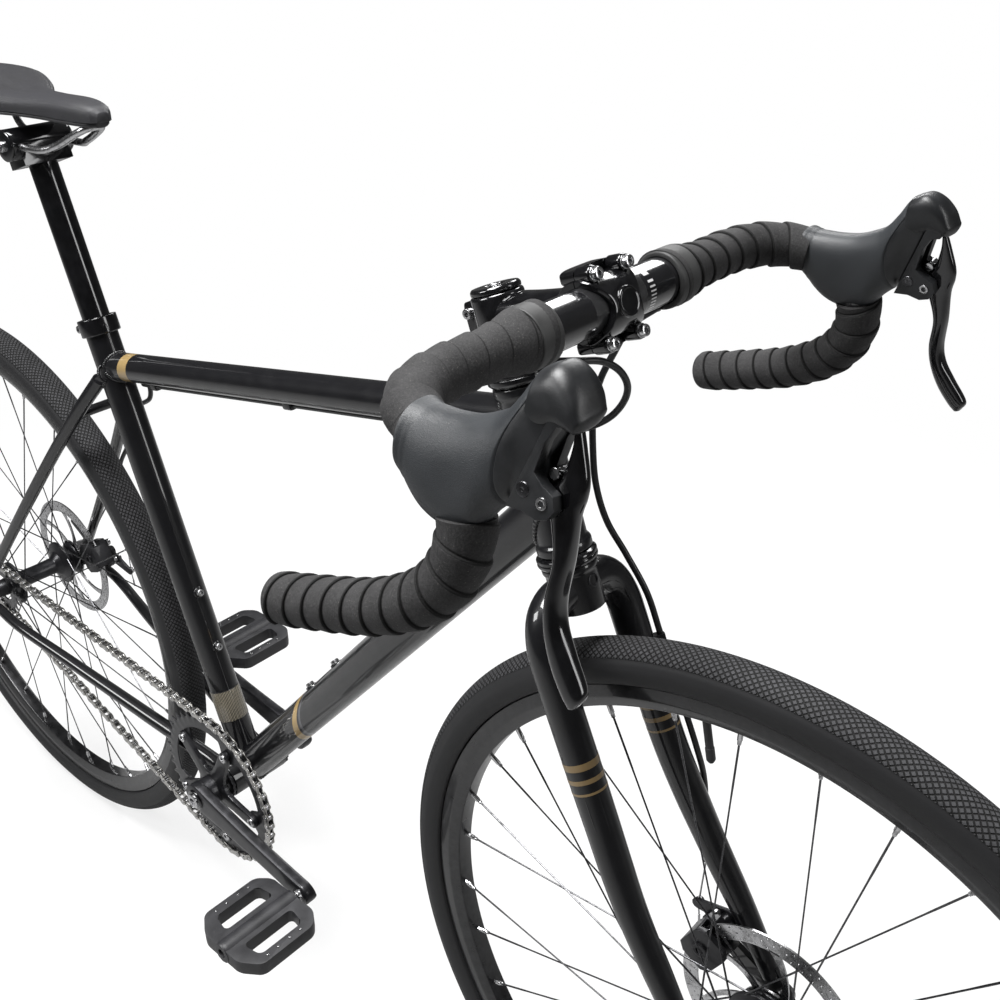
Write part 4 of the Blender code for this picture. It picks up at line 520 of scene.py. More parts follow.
# ------------------------------------------------------------------------------- finishes
class Value:
    """A number inside a shader tree; Python's operators on it add Math nodes."""

    def __init__(self, recipe: Recipe, socket: bpy.types.NodeSocket) -> None:
        """Keep the tree and the socket that gives the number."""
        self.recipe = recipe
        self.socket = socket

    def maths(self, operation: str, *others: Any) -> Value:
        """Add a Math node.

        Args:
            operation: the node's operation.
            others: its inputs; where one is None, this value takes that place.

        Returns:
            The node's result.
        """
        inputs = {k: self if other is None else other for k, other in enumerate(others)}
        node = self.recipe.node("ShaderNodeMath", {"operation": operation}, inputs)
        return Value(self.recipe, node.outputs[0])

    def __add__(self, other: Any) -> Value:
        """Sum."""
        return self.maths("ADD", None, other)

    def __radd__(self, other: Any) -> Value:
        """Sum."""
        return self.maths("ADD", other, None)

    def __sub__(self, other: Any) -> Value:
        """Difference."""
        return self.maths("SUBTRACT", None, other)

    def __rsub__(self, other: Any) -> Value:
        """Difference the other way round."""
        return self.maths("SUBTRACT", other, None)

    def __mul__(self, other: Any) -> Value:
        """Product."""
        return self.maths("MULTIPLY", None, other)

    def __truediv__(self, other: Any) -> Value:
        """Quotient."""
        return self.maths("DIVIDE", None, other)

    def __abs__(self) -> Value:
        """Size without its sign."""
        return self.maths("ABSOLUTE", None)

    def __lt__(self, other: Any) -> Value:
        """One where this is the smaller, else zero."""
        return self.maths("LESS_THAN", None, other)

    def __gt__(self, other: Any) -> Value:
        """One where this is the larger, else zero."""
        return self.maths("GREATER_THAN", None, other)

    def repeat(self, period: float) -> Value:
        """The share of a period that has gone by, from 0 to 1."""
        return (self / period).maths("FRACT", None)

    def ramp(self, low: float, high: float, start: float = 0.0, end: float = 1.0) -> Value:
        """A smooth rise from start at low to end at high.

        Args:
            low: where it begins.
            high: where it is over.
            start: result below low.
            end: result above high.

        Returns:
            The smoothed value.
        """
        node = self.recipe.node("ShaderNodeMapRange", {"interpolation_type": "SMOOTHSTEP"},
                                {0: self, 1: low, 2: high, 3: start, 4: end})
        return Value(self.recipe, node.outputs[0])


class Recipe:
    """Builds one material out of nodes."""

    def __init__(self, name: str) -> None:
        """Make an empty material with its surface shader.

        Args:
            name: the material's name.
        """
        self.material = bpy.data.materials.new(name)
        self.material.use_nodes = True
        self.tree = self.material.node_tree
        self.surface = self.tree.nodes["Principled BSDF"]

    def node(self, kind: str, settings: dict[str, Any] | None = None,
             inputs: dict[Any, Any] | None = None) -> bpy.types.Node:
        """Add a node.

        Args:
            kind: the node's type.
            settings: attributes that are set first.
            inputs: numbers or links for its sockets, by name or number.

        Returns:
            The node.
        """
        made = self.tree.nodes.new(kind)
        for key, value in (settings or {}).items():
            setattr(made, key, value)
        for key, value in (inputs or {}).items():
            self.feed(made.inputs[key], value)
        return made

    def feed(self, socket: bpy.types.NodeSocket, value: Any) -> None:
        """Link a value to a socket, or set the socket to a plain number or colour.

        Args:
            socket: the input.
            value: a Value, an output socket, a number or a tuple.
        """
        if isinstance(value, Value):
            self.tree.links.new(value.socket, socket)
        elif isinstance(value, bpy.types.NodeSocket):
            self.tree.links.new(value, socket)
        else:
            socket.default_value = value

    def place(self) -> bpy.types.NodeSocket:
        """The point's own object coordinates."""
        return self.node("ShaderNodeTexCoord").outputs["Object"]

    def parts(self, socket: bpy.types.NodeSocket) -> tuple[Value, Value, Value]:
        """The three numbers of a vector."""
        node = self.node("ShaderNodeSeparateXYZ", None, {0: socket})
        return tuple(Value(self, out) for out in node.outputs)

    def pattern(self) -> tuple[Value, Value]:
        """The piece's own two pattern coordinates."""
        u, v, _ = self.parts(self.node("ShaderNodeUVMap", {"uv_map": "UVMap"}).outputs[0])
        return u, v

    def noise(self, scale: float, detail: float = 2.0, rough: float = 0.5) -> Value:
        """Cloudy noise over the object.

        Args:
            scale: cells in a metre.
            detail: octaves.
            rough: weight of each finer octave.

        Returns:
            A value about one half.
        """
        node = self.node("ShaderNodeTexNoise", None,
                         {"Vector": self.place(), "Scale": scale, "Detail": detail,
                          "Roughness": rough})
        return Value(self, node.outputs[0])

    def cells(self, scale: float, feature: str = "F1") -> Value:
        """Distance inside a cell pattern over the object.

        Args:
            scale: cells in a metre.
            feature: which distance.

        Returns:
            The distance, as a share of a cell.
        """
        node = self.node("ShaderNodeTexVoronoi", {"feature": feature},
                         {"Vector": self.place(), "Scale": scale})
        return Value(self, node.outputs["Distance"])

    def blend(self, share: Any, first: Any, second: Any) -> bpy.types.NodeSocket:
        """A colour between two.

        Args:
            share: 0 for the first, 1 for the second.
            first: a colour or a link.
            second: a colour or a link.

        Returns:
            The mixed colour's socket.
        """
        node = self.node("ShaderNodeMix", {"data_type": "RGBA"})
        self.feed(node.inputs[0], share)
        self.feed(node.inputs[6], (*first, 1) if isinstance(first, tuple) else first)
        self.feed(node.inputs[7], (*second, 1) if isinstance(second, tuple) else second)
        return node.outputs[2]

    def relief(self, height: Value, distance: float, strength: float = 1.0) -> None:
        """Bump the surface by a height.

        Args:
            height: a value about 0 to 1.
            distance: metres that a height of 1 stands for.
            strength: share of the effect.
        """
        bump = self.node("ShaderNodeBump", None,
                         {"Height": height, "Distance": distance, "Strength": strength})
        self.feed(self.surface.inputs["Normal"], bump.outputs[0])

    def surface_is(self, **sockets: Any) -> bpy.types.Material:
        """Set the shader's sockets, named with underscores for spaces.

        Args:
            sockets: numbers, colours or links.

        Returns:
            The finished material.
        """
        for key, value in sockets.items():
            if isinstance(value, tuple) and len(value) == 3:
                value = (*value, 1)
            self.feed(self.surface.inputs[key.replace("_", " ")], value)
        return self.material


Colour = tuple[float, float, float]


@dataclass(frozen=True)
class Finish:
    """A finish that makes its material once, under its own name."""

    name: str

    def material(self) -> bpy.types.Material:
        """The finish's material, made at its first use."""
        return bpy.data.materials.get(self.name) or self.mixed(Recipe(self.name))

    def mixed(self, recipe: Recipe) -> bpy.types.Material:
        """Build the material; each finish has its own way.

        Args:
            recipe: the empty material.

        Returns:
            The material.
        """
        raise NotImplementedError


@dataclass(frozen=True)
class Enamel(Finish):
    """Stoved enamel with fine metal flakes under a clear coat."""

    colour: Colour = (0.006, 0.006, 0.007)
    flake: float = 0.035
    bands: tuple[tuple[Colour, str, float, float], ...] = ()

    def mixed(self, recipe: Recipe) -> bpy.types.Material:
        """Flakes from small cells, faint waviness from noise, bands by object axis.

        Args:
            recipe: the empty material.

        Returns:
            The material.
        """
        sparkle = recipe.cells(2600).ramp(0.10, 0.02)
        cloud = recipe.noise(60, 3)
        lifted = tuple(c + self.flake for c in self.colour)
        colour = recipe.blend(sparkle * cloud.ramp(0.35, 0.65, 0.25, 1.0), self.colour, lifted)
        x, y, z = recipe.parts(recipe.place())
        along = {"x": x, "y": y, "z": z}
        for shade, axis, low, high in self.bands:
            inside = (along[axis] > low) * (along[axis] < high)
            colour = recipe.blend(inside, colour, shade)
        recipe.relief(recipe.noise(320, 1), 0.00004, 0.35)
        return recipe.surface_is(Base_Color=colour, Metallic=sparkle * 0.5 + 0.05,
                                 Roughness=cloud.ramp(0.2, 0.8, 0.30, 0.42),
                                 Coat_Weight=0.9, Coat_Roughness=0.05,
                                 Specular_IOR_Level=0.2)


@dataclass(frozen=True)
class Anodised(Finish):
    """Black anodised alloy, polished or satin, with faint turning lines."""

    colour: Colour = (0.016, 0.016, 0.018)
    low: float = 0.18
    high: float = 0.30
    coat: float = 0.4

    def mixed(self, recipe: Recipe) -> bpy.types.Material:
        """Roughness and colour wander with noise; fine grain roughens the normal.

        Args:
            recipe: the empty material.

        Returns:
            The material.
        """
        cloud = recipe.noise(90, 4, 0.6)
        grain = recipe.noise(2200, 2)
        lighter = tuple(c * 1.7 + 0.004 for c in self.colour)
        colour = recipe.blend(cloud.ramp(0.35, 0.75), self.colour, lighter)
        recipe.relief(grain, 0.00002, 0.3)
        return recipe.surface_is(Base_Color=colour, Metallic=0.55,
                                 Roughness=cloud.ramp(0.25, 0.75, self.low, self.high),
                                 Coat_Weight=self.coat, Coat_Roughness=0.08)


@dataclass(frozen=True)
class BrightMetal(Finish):
    """Plated or stainless steel with broad patches of oily film."""

    colour: Colour = (0.56, 0.56, 0.57)
    dull: float = 0.0

    def mixed(self, recipe: Recipe) -> bpy.types.Material:
        """Colour darkens and dulls with a broad noise; fine grain adds scratches.

        Args:
            recipe: the empty material.

        Returns:
            The material.
        """
        film = recipe.noise(240, 3, 0.6).ramp(0.45, 0.75)
        grain = recipe.noise(3000, 2)
        dark = tuple(c * (0.55 - 0.2 * self.dull) for c in self.colour)
        colour = recipe.blend(film, self.colour, dark)
        recipe.relief(grain, 0.00002, 0.3)
        return recipe.surface_is(Base_Color=colour, Metallic=1.0,
                                 Roughness=film * 0.15 + grain * 0.12 + 0.16 + 0.1 * self.dull)


@dataclass(frozen=True)
class TyreRubber(Finish):
    """Matt rubber with smooth walls and small diamond blocks over the tread."""

    colour: Colour = (0.016, 0.016, 0.017)
    around: float = 400.0
    across: float = 12.0

    def mixed(self, recipe: Recipe) -> bpy.types.Material:
        """Blocks between two crossing sets of grooves; the grooves are painted near black as
        painted shade.

        With pattern coordinates u round the wheel and v across it, a groove runs where
        the fraction of (around u + across v) or of (around u - across v) is near 0 or 1.
        The tread is where v is within 0.31 of its middle.

        Args:
            recipe: the empty material.

        Returns:
            The material.
        """
        u, v = recipe.pattern()
        tread = abs(v - 0.5).ramp(0.320, 0.312)
        one = abs((u * self.around + v * self.across).repeat(1.0) - 0.5).ramp(0.46, 0.27)
        two = abs((u * self.around - v * self.across).repeat(1.0) - 0.5).ramp(0.46, 0.27)
        block = one * two
        dust = recipe.noise(140, 4, 0.6)
        paler = tuple(c * 3.6 for c in self.colour)
        # the grooves are painted near black as painted shade; the block tops are paler with dust
        worn = recipe.blend(block * dust.ramp(0.2, 0.8, 0.6, 1.0), (0.003, 0.003, 0.003), paler)
        colour = recipe.blend(tread, self.colour, worn)
        recipe.relief(block * tread + recipe.noise(1500, 3, 0.6) * 0.08, 0.0009, 1.0)
        rough = 0.50 + tread * 0.18 + dust * 0.08
        return recipe.surface_is(Base_Color=colour, Roughness=rough, Specular_IOR_Level=0.30)


@dataclass(frozen=True)
class FoamTape(Finish):
    """Cork-filled foam: open pores and pale flecks, with painted shade along the edges of each
    turn.
    """

    colour: Colour = (0.0265, 0.0260, 0.0265)

    def mixed(self, recipe: Recipe) -> bpy.types.Material:
        """Painted shade darkens the edges where the second pattern coordinate is near 0 or 1, where
        one turn meets the next.

        Args:
            recipe: the empty material.

        Returns:
            The material.
        """
        _, v = recipe.pattern()
        # painted shade: dark lines along the edges where the turns overlap
        edge = v.ramp(0.065, 0.045) + v.ramp(0.92, 0.955)
        fleck = recipe.cells(650).ramp(0.22, 0.06) * recipe.noise(400, 1).ramp(0.50, 0.62)
        pores = recipe.noise(800, 4, 0.75)
        shade = recipe.noise(40, 3)
        grainy = shade.ramp(0.3, 0.7) * 0.35 + pores.ramp(0.40, 0.62) * 0.65
        body = recipe.blend(grainy, tuple(c * 0.6 for c in self.colour),
                            tuple(c * 1.7 for c in self.colour))
        flecked = recipe.blend(fleck, body, (0.13, 0.12, 0.11))
        # the turns' edges are painted near black as painted shade over the flecked body
        colour = recipe.blend(edge.ramp(0.0, 1.0, 0.0, 0.92), flecked, (0.004, 0.004, 0.004))
        recipe.relief(pores + recipe.noise(180, 2) * 0.6, 0.0005, 0.8)
        return recipe.surface_is(Base_Color=colour, Roughness=pores.ramp(0.2, 0.8, 0.66, 0.86),
                                 Specular_IOR_Level=0.30)


@dataclass(frozen=True)
class MouldedRubber(Finish):
    """Smooth moulded rubber with a very fine skin texture."""

    colour: Colour = (0.0235, 0.0255, 0.0280)

    def mixed(self, recipe: Recipe) -> bpy.types.Material:
        """Fine cells make the skin; broad noise shifts tone and gloss a little.

        Args:
            recipe: the empty material.

        Returns:
            The material.
        """
        cloud = recipe.noise(30, 3)
        skin = recipe.cells(2400)
        colour = recipe.blend(cloud.ramp(0.3, 0.7), self.colour,
                              tuple(c * 1.25 for c in self.colour))
        recipe.relief(skin + recipe.noise(500, 3, 0.65) * 0.8, 0.00012, 0.7)
        return recipe.surface_is(Base_Color=colour, IOR=1.45,
                                 Roughness=cloud.ramp(0.3, 0.7, 0.38, 0.48))


@dataclass(frozen=True)
class MouldedPlastic(Finish):
    """Spark-textured nylon."""

    colour: Colour = (0.018, 0.018, 0.020)
    roughness: float = 0.42

    def mixed(self, recipe: Recipe) -> bpy.types.Material:
        """Small cells give the grain; noise varies the gloss.

        Args:
            recipe: the empty material.

        Returns:
            The material.
        """
        grain = recipe.cells(1700) + recipe.noise(900, 3)
        cloud = recipe.noise(70, 3)
        colour = recipe.blend(cloud.ramp(0.35, 0.7), self.colour,
                              tuple(c * 1.5 for c in self.colour))
        recipe.relief(grain, 0.00005, 0.5)
        return recipe.surface_is(Base_Color=colour,
                                 Roughness=cloud.ramp(0.2, 0.8, self.roughness,
                                                      self.roughness + 0.14))


@dataclass(frozen=True)
class SaddleHide(Finish):
    """Grained synthetic leather, a little shinier and paler in broad patches."""

    colour: Colour = (0.016, 0.016, 0.018)

    def mixed(self, recipe: Recipe) -> bpy.types.Material:
        """Grain is the distance to the edges of small cells.

        Args:
            recipe: the empty material.

        Returns:
            The material.
        """
        grain = recipe.cells(620, "DISTANCE_TO_EDGE").ramp(0.0, 0.16)
        worn = recipe.noise(18, 3).ramp(0.35, 0.7)
        colour = recipe.blend(worn, self.colour, tuple(c * 1.6 for c in self.colour))
        recipe.relief(grain + recipe.noise(1400, 2) * 0.3, 0.00016, 0.6)
        return recipe.surface_is(Base_Color=colour, IOR=1.47,
                                 Roughness=0.52 - worn * 0.10 + grain * 0.06)


@dataclass(frozen=True)
class MarkedBar(Finish):
    """Gloss black bar with a roughened grip at the clamp and pale setting marks."""

    colour: Colour = (0.008, 0.008, 0.009)
    marks: float = 0.0270

    def mixed(self, recipe: Recipe) -> bpy.types.Material:
        """Knurling lies under the clamp; the marks are short stripes beside it.

        Args:
            recipe: the empty material.

        Returns:
            The material.
        """
        x, y, z = recipe.parts(recipe.place())
        out = abs(y)
        knurl = out.ramp(0.0262, 0.0258)
        ridges = ((y + z).repeat(0.0012) > 0.5) + ((y - z).repeat(0.0012) > 0.5)
        fine = (z + x * 0.35).repeat(0.0024) > 0.62
        near = (y > self.marks + 0.003) * (y < self.marks + 0.0085)
        colour = recipe.blend(near * fine, self.colour, (0.62, 0.62, 0.62))
        recipe.relief(ridges * knurl, 0.0002, 0.9)
        cloud = recipe.noise(50, 3)
        return recipe.surface_is(Base_Color=colour, Coat_Weight=1.0, Coat_Roughness=0.04,
                                 Roughness=cloud.ramp(0.3, 0.7, 0.16, 0.24) + knurl * 0.25)


ENAMEL = Enamel("black_enamel")
DOWN_ENAMEL = Enamel("down_tube_enamel", bands=(((0.40, 0.27, 0.10), "x", 0.018, 0.026),
                                                ((0.10, 0.10, 0.11), "x", 0.029, 0.032)))
TOP_ENAMEL = Enamel("top_tube_enamel", bands=(((0.30, 0.21, 0.09), "x", -0.206, -0.190),))
SEAT_ENAMEL = Enamel("seat_tube_enamel")
GLOSS = Anodised("gloss_black_alloy", (0.006, 0.006, 0.007), 0.10, 0.20, 1.0)
SATIN = Anodised("satin_black_alloy", (0.014, 0.014, 0.016), 0.30, 0.44, 0.2)
RIM_BLACK = Anodised("rim_black", (0.011, 0.011, 0.012), 0.26, 0.38, 0.5)
STEEL = BrightMetal("bright_steel")
CHAIN_STEEL = BrightMetal("chain_steel", (0.50, 0.49, 0.47), 0.6)
DARK_STEEL = BrightMetal("dark_steel", (0.10, 0.10, 0.105), 0.5)
TYRE = TyreRubber("tyre_rubber")
FOAM = FoamTape("cork_foam")
WRAP = MouldedPlastic("finishing_wrap", (0.024, 0.024, 0.024), 0.50)
HOOD = MouldedRubber("moulded_grip_rubber")
NYLON = MouldedPlastic("black_nylon")
SHELL = MouldedPlastic("lever_shell", (0.009, 0.0095, 0.0105), 0.32)
JACKET = MouldedPlastic("housing_jacket", (0.010, 0.010, 0.011), 0.26)
HIDE = SaddleHide("saddle_hide")
THREAD = MouldedPlastic("saddle_thread", (0.030, 0.030, 0.032), 0.7)
BAR = MarkedBar("handlebar_black")


# -------------------------------------------------------------------------------- layout
@dataclass(frozen=True)
class Layout:
    """Where the bicycle's main points lie, from the same sizes as its solids."""

    bracket: Array = field(default_factory=lambda: vec(-0.0978463, 0, 0.2695))
    front_axle: Array = field(default_factory=lambda: vec(0.5317537, 0, 0.3475))
    rear_axle: Array = field(default_factory=lambda: vec(-0.5317537, 0, 0.3475))
    seat_angle: float = math.radians(72.53)
    head_angle: float = math.radians(70.94)
    rake: float = 0.050
    fork_length: float = 0.4027
    head_bottom: float = 0.4150
    head_length: float = 0.1244
    upper_stack: float = 0.0173
    spacers: float = 0.010
    stem_height: float = 0.037
    stem_reach: float = 0.0880
    stem_rise: float = -0.0014
    flare: float = 0.20
    flare_y: float = 0.1997
    flare_z: float = 0.90365

    @property
    def seat_axis(self) -> Array:
        """Up the seat tube."""
        return vec(-math.cos(self.seat_angle), 0, math.sin(self.seat_angle))

    @property
    def seat_ahead(self) -> Array:
        """Square to the seat tube, towards the front."""
        return vec(math.sin(self.seat_angle), 0, math.cos(self.seat_angle))

    @property
    def steer_axis(self) -> Array:
        """Up the steerer."""
        return vec(-math.cos(self.head_angle), 0, math.sin(self.head_angle))

    @property
    def steer_ahead(self) -> Array:
        """Square to the steerer, towards the front."""
        return vec(math.sin(self.head_angle), 0, math.cos(self.head_angle))

    @property
    def head_top(self) -> float:
        """Height of the head tube's top along the steerer."""
        return self.head_bottom + self.head_length

    @property
    def stem_foot(self) -> float:
        """Height of the stem's lower face along the steerer."""
        return self.head_top + self.upper_stack + self.spacers

    @property
    def stem_top(self) -> float:
        """Height of the stem's upper face along the steerer."""
        return self.stem_foot + self.stem_height

    @property
    def bar_up(self) -> float:
        """Height of the bar's centre along the steerer."""
        return (self.stem_foot + self.stem_top) / 2 + self.stem_rise

    @property
    def bar_centre(self) -> Array:
        """The middle of the handlebar."""
        return self.steer(self.bar_up, self.stem_reach)

    def steer(self, up: float, ahead: float = 0.0, side: float = 0.0) -> Array:
        """A point up the steerer, ahead of it and to the left."""
        foot = self.front_axle - self.rake * self.steer_ahead
        return foot + up * self.steer_axis + ahead * self.steer_ahead + side * LEFT

    def seat(self, up: float, ahead: float = 0.0, side: float = 0.0) -> Array:
        """A point up the seat tube, ahead of it and to the left."""
        return self.bracket + up * self.seat_axis + ahead * self.seat_ahead + side * LEFT

    def bike(self, x: float, y: float, z: float) -> Array:
        """A point ahead of the bottom bracket, to the left and above the ground."""
        return vec(self.bracket[0] + x, y, z)

    def flared(self, x: float, z: float, side: int) -> Array:
        """A point of the bar's bend, in its flared plane."""
        return self.bike(x, side * (self.flare_y + self.flare * (self.flare_z - z)), z)


PLAN = Layout()


# -------------------------------------------------------------------------------- wheels
@dataclass
class Wheel:
    """A tyre, rim, laced hub and brake disc that turn on one axle."""

    name: str
    axle: Array
    hub_width: float
    left_flange: float
    right_flange: float
    bead: float = 0.311
    tyre_height: float = 0.0365
    tyre_width: float = 0.037
    rim_width: float = 0.024
    rim_inner: float = 0.2965
    rim_shoulder: float = 0.3060
    rim_floor: float = 0.0082
    rim_wall: float = 0.002
    flange_height: float = 0.0055
    spokes: int = 32
    crossings: int = 3
    spoke_radius: float = 0.00085
    hole_radius: float = 0.0255
    flange_radius: float = 0.0285
    barrel: float = 0.0145
    disc_radius: float = 0.080
    disc_track: float = 0.014
    disc_thickness: float = 0.0018
    disc_inset: float = 0.014
    tread_along: int = 240
    tread_across: int = 30
    tread_height: float = 0.0005
    wall_lines: tuple[tuple[float, float, float], ...] = ((0.00045, 0.12, 0.035),
                                                          (0.0004, 0.42, 0.03))

    @property
    def radius(self) -> float:
        """From the axle to the ground."""
        return self.bead + self.tyre_height

    @property
    def disc_place(self) -> float:
        """The disc's middle plane, to the left of the wheel's."""
        return self.hub_width / 2 - self.disc_inset

    def body(self) -> str:
        """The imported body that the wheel's pieces ride on."""
        return f"{self.name}_wheel"

    def tyre(self) -> None:
        """Casing with fine lines on its walls; the tread's blocks are in its finish.

        Round the section runs an arc of the casing's circle, raised a little over the
        tread and at two narrow lines on each wall.
        """
        r = self.tyre_width / 2
        centre = self.radius - r
        foot = self.rim_width / 2 - self.rim_wall - GAP
        tip = self.bead + self.flange_height + 2 * GAP
        start = math.asin((tip - centre) / r)
        tread = math.radians(33)
        wall = np.linspace(start, tread, 14)
        crown = np.linspace(tread, math.pi - tread, self.tread_across + 1)
        angles = np.concatenate([wall[:-1], crown, math.pi - wall[-2::-1]])
        side = np.sin(angles), np.cos(angles)
        lines = np.zeros_like(angles)
        for height, middle, width in self.wall_lines:
            for angle in (angles, math.pi - angles):
                lines += height * np.exp(-((angle - middle) / width)**2)
        count = self.tread_along
        around = turn_angles(count)
        past = math.pi / 2 - tread - abs(angles - math.pi / 2)
        raised = self.tread_height * np.clip(past / 0.03, 0, 1)
        rr = np.broadcast_to(r - self.tread_height + raised + lines, (count, len(angles)))
        radial = centre + rr * side[0][None]
        across = rr * side[1][None]
        feet = np.array([[self.bead, foot], [tip - 0.0006, foot], [tip, foot - 0.0006]])
        radial = np.concatenate([np.broadcast_to(feet[:, 0], (count, 3)), radial,
                                 np.broadcast_to(feet[::-1, 0], (count, 3))], 1)
        across = np.concatenate([np.broadcast_to(feet[:, 1], (count, 3)), across,
                                 np.broadcast_to(-feet[::-1, 1], (count, 3))], 1)
        place = np.stack([radial * np.sin(around)[:, None], across,
                          -radial * np.cos(around)[:, None]], -1) + self.axle
        share = np.concatenate([[0, 0, 0], angles / math.pi, [1, 1, 1]])
        uv = np.stack(np.meshgrid(np.linspace(0, 1, count + 1), np.append(share, 1.0),
                                  indexing="ij"), -1)
        made = Shape().grid(place, (True, True), uv).made(f"{self.name}_tyre_tread",
                                                          [TYRE.material()], 60)
        placed(made, self.body(), "tyre", f"{self.name}_tyre")

    def rim(self) -> None:
        """Box-section rim with rounded corners and a well for the tyre's beads."""
        tip = self.bead + self.flange_height
        side = self.rim_width / 2
        inner = side - self.rim_wall
        well = self.bead - GAP
        corners = [(tip, side), (tip, inner), (well, inner), (well, -inner), (tip, -inner),
                   (tip, -side), (self.rim_shoulder, -side), (self.rim_inner, -self.rim_floor),
                   (self.rim_inner - 0.0003, 0.0), (self.rim_inner, self.rim_floor),
                   (self.rim_shoulder, side)]
        profile = rounded(corners, 0.0012, True)
        rim = Shape().lathe(profile, self.axle, LEFT, 240, True)
        made = rim.made(f"{self.name}_rim_band", [RIM_BLACK.material()])
        placed(made, self.body(), "black_alloy", f"{self.name}_rim")

    def spoke_ends(self) -> tuple[Array, Array]:
        """Where each spoke leaves its flange and meets the rim.

        Returns:
            Two arrays of points, one row for each spoke.
        """
        k = np.arange(self.spokes)
        angle = 2 * math.pi * (k + 0.5) / self.spokes
        lead = np.where((k // 2) % 2, 1, -1)
        flange = np.where(k % 2, self.left_flange, self.right_flange)
        start = angle - lead * self.crossings * 4 * math.pi / self.spokes
        shift = lead * (self.spoke_radius + GAP / 2)
        hub = np.stack([self.hole_radius * np.cos(start), flange + shift,
                        self.hole_radius * np.sin(start)], 1)
        reach = self.rim_inner
        rim = np.stack([reach * np.cos(angle), np.where(k % 2, 0.0015, -0.0015),
                        reach * np.sin(angle)], 1)
        return hub + self.axle, rim + self.axle

    def laced_hub(self) -> None:
        """Turned hub with two drilled flanges, round spokes, nipples and the valve."""
        half = self.hub_width / 2 - 0.006
        seat = self.disc_place - self.disc_thickness / 2 - GAP
        barrel, flange = self.barrel, self.flange_radius
        bore = 0.0056
        left, right = self.left_flange, self.right_flange
        thick = 0.0016
        corners = [(0.0095, half), (0.0125, half - 0.002), (barrel, self.disc_place + 0.003),
                   (barrel, seat), (0.0215, seat), (0.0215, seat - 0.0025), (barrel, seat - 0.006),
                   (0.0165, left + 0.005), (flange, left + thick), (flange, left - thick),
                   (0.0165, left - 0.005), (0.0110, left - 0.012), (0.0105, 0.0),
                   (0.0110, right + 0.012), (0.0165, right + 0.005), (flange, right + thick),
                   (flange, right - thick), (0.0150, right - 0.005), (0.0115, right - 0.008),
                   (0.0095, -half), (bore, -half), (bore, half)]
        hub = Shape().lathe(rounded(corners, 0.0012, True), self.axle, LEFT, 96, True)
        start, end = self.spoke_ends()
        run = unit(end - start)
        side = unit(np.cross(run, LEFT))
        turns = np.stack([side, np.cross(run, side), run], -1)
        length = float(np.linalg.norm(end - start, axis=1).mean())
        spoke = turned(np.array([(0, 0), (1, 0), (1, 0.30), (0.82, 0.34), (0.82, 0.80), (1, 0.84),
                                 (1, 1.0), (0, 1.0)]) * (self.spoke_radius, length),
                       np.zeros(3), UP, 8, AHEAD)
        hub.copies(spoke, turns, start, slot=1)
        head = turned([(0, -0.001), (0.0019, -0.0008), (0.0019, 0.0006), (0, 0.0009)],
                      np.zeros(3), UP, 10, AHEAD)
        k = np.arange(self.spokes)
        out = np.where(k % 2, 1, -1)[:, None] * LEFT
        flat = np.stack([np.tile(AHEAD, (self.spokes, 1)), np.cross(out, AHEAD), out], -1)
        hub.copies(head, flat, start + out * 0.0012, slot=1)
        nipple = turned([(0, -0.0125), (0.0015, -0.0123), (0.0017, -0.0090), (0.0021, -0.0085),
                         (0.0021, -0.0005), (0.0026, 0.0006), (0.0, 0.0008)],
                        np.zeros(3), UP, 8, AHEAD)
        hub.copies(nipple, turns, end - run * 0.0002, slot=2)
        made = hub.made(f"{self.name}_laced_hub", [SATIN.material(), DARK_STEEL.material(),
                                                   STEEL.material()])
        placed(made, self.body(), "black_alloy", f"{self.name}_hub_and_spokes")
        self.valve()

    def valve(self) -> None:
        """A threaded valve stem with its nut and cap, half way between two spokes."""
        angle = 2 * math.pi * 9 / self.spokes
        inward = -vec(math.cos(angle), 0, math.sin(angle))
        foot = self.axle - inward * (self.rim_inner - 0.0002)
        stem = rounded([(0, 0), (0.0050, 0), (0.0050, 0.0022), (0.0030, 0.0026), (0.0030, 0.026),
                        (0.0034, 0.0262), (0.0034, 0.036), (0.0018, 0.0385), (0, 0.0388)], 0.0005)
        made = Shape().lathe(stem, foot, inward, 20).made(f"{self.name}_valve",
                                                          [NYLON.material()])
        placed(made, self.body(), "black_alloy")

    def disc(self) -> None:
        """Perforated braking band on slanted arms with six fixing bolts.

        The band is a ring of square tiles, each the region between a circle and the
        tile's edge: a point is (1-s) circle(t) + s square(t).
        """
        outer, inner = self.disc_radius, self.disc_radius - self.disc_track
        half = self.disc_thickness / 2
        plane = self.axle + self.disc_place * LEFT
        tiles, rows = 84, 3
        t = turn_angles(16)
        square = np.stack([np.cos(t), np.sin(t)], 1)
        square = square / abs(square).max(1, keepdims=True)
        hole = 0.34 * np.stack([np.cos(t), np.sin(t)], 1)
        shape = Shape()

        def bent(flat: Array, height: float) -> Array:
            """Carry shares of the band to their place in the disc.

            Args:
                flat: shares of a tile's turn and of the band's width.
                height: how far the points stand out of the disc's middle plane.

            Returns:
                Points in the row frame.
            """
            a = flat[..., 0] * 2 * math.pi / tiles
            r = inner + flat[..., 1] * (outer - inner)
            return plane + np.stack([r * np.cos(a), np.full_like(r, height), r * np.sin(a)], -1)

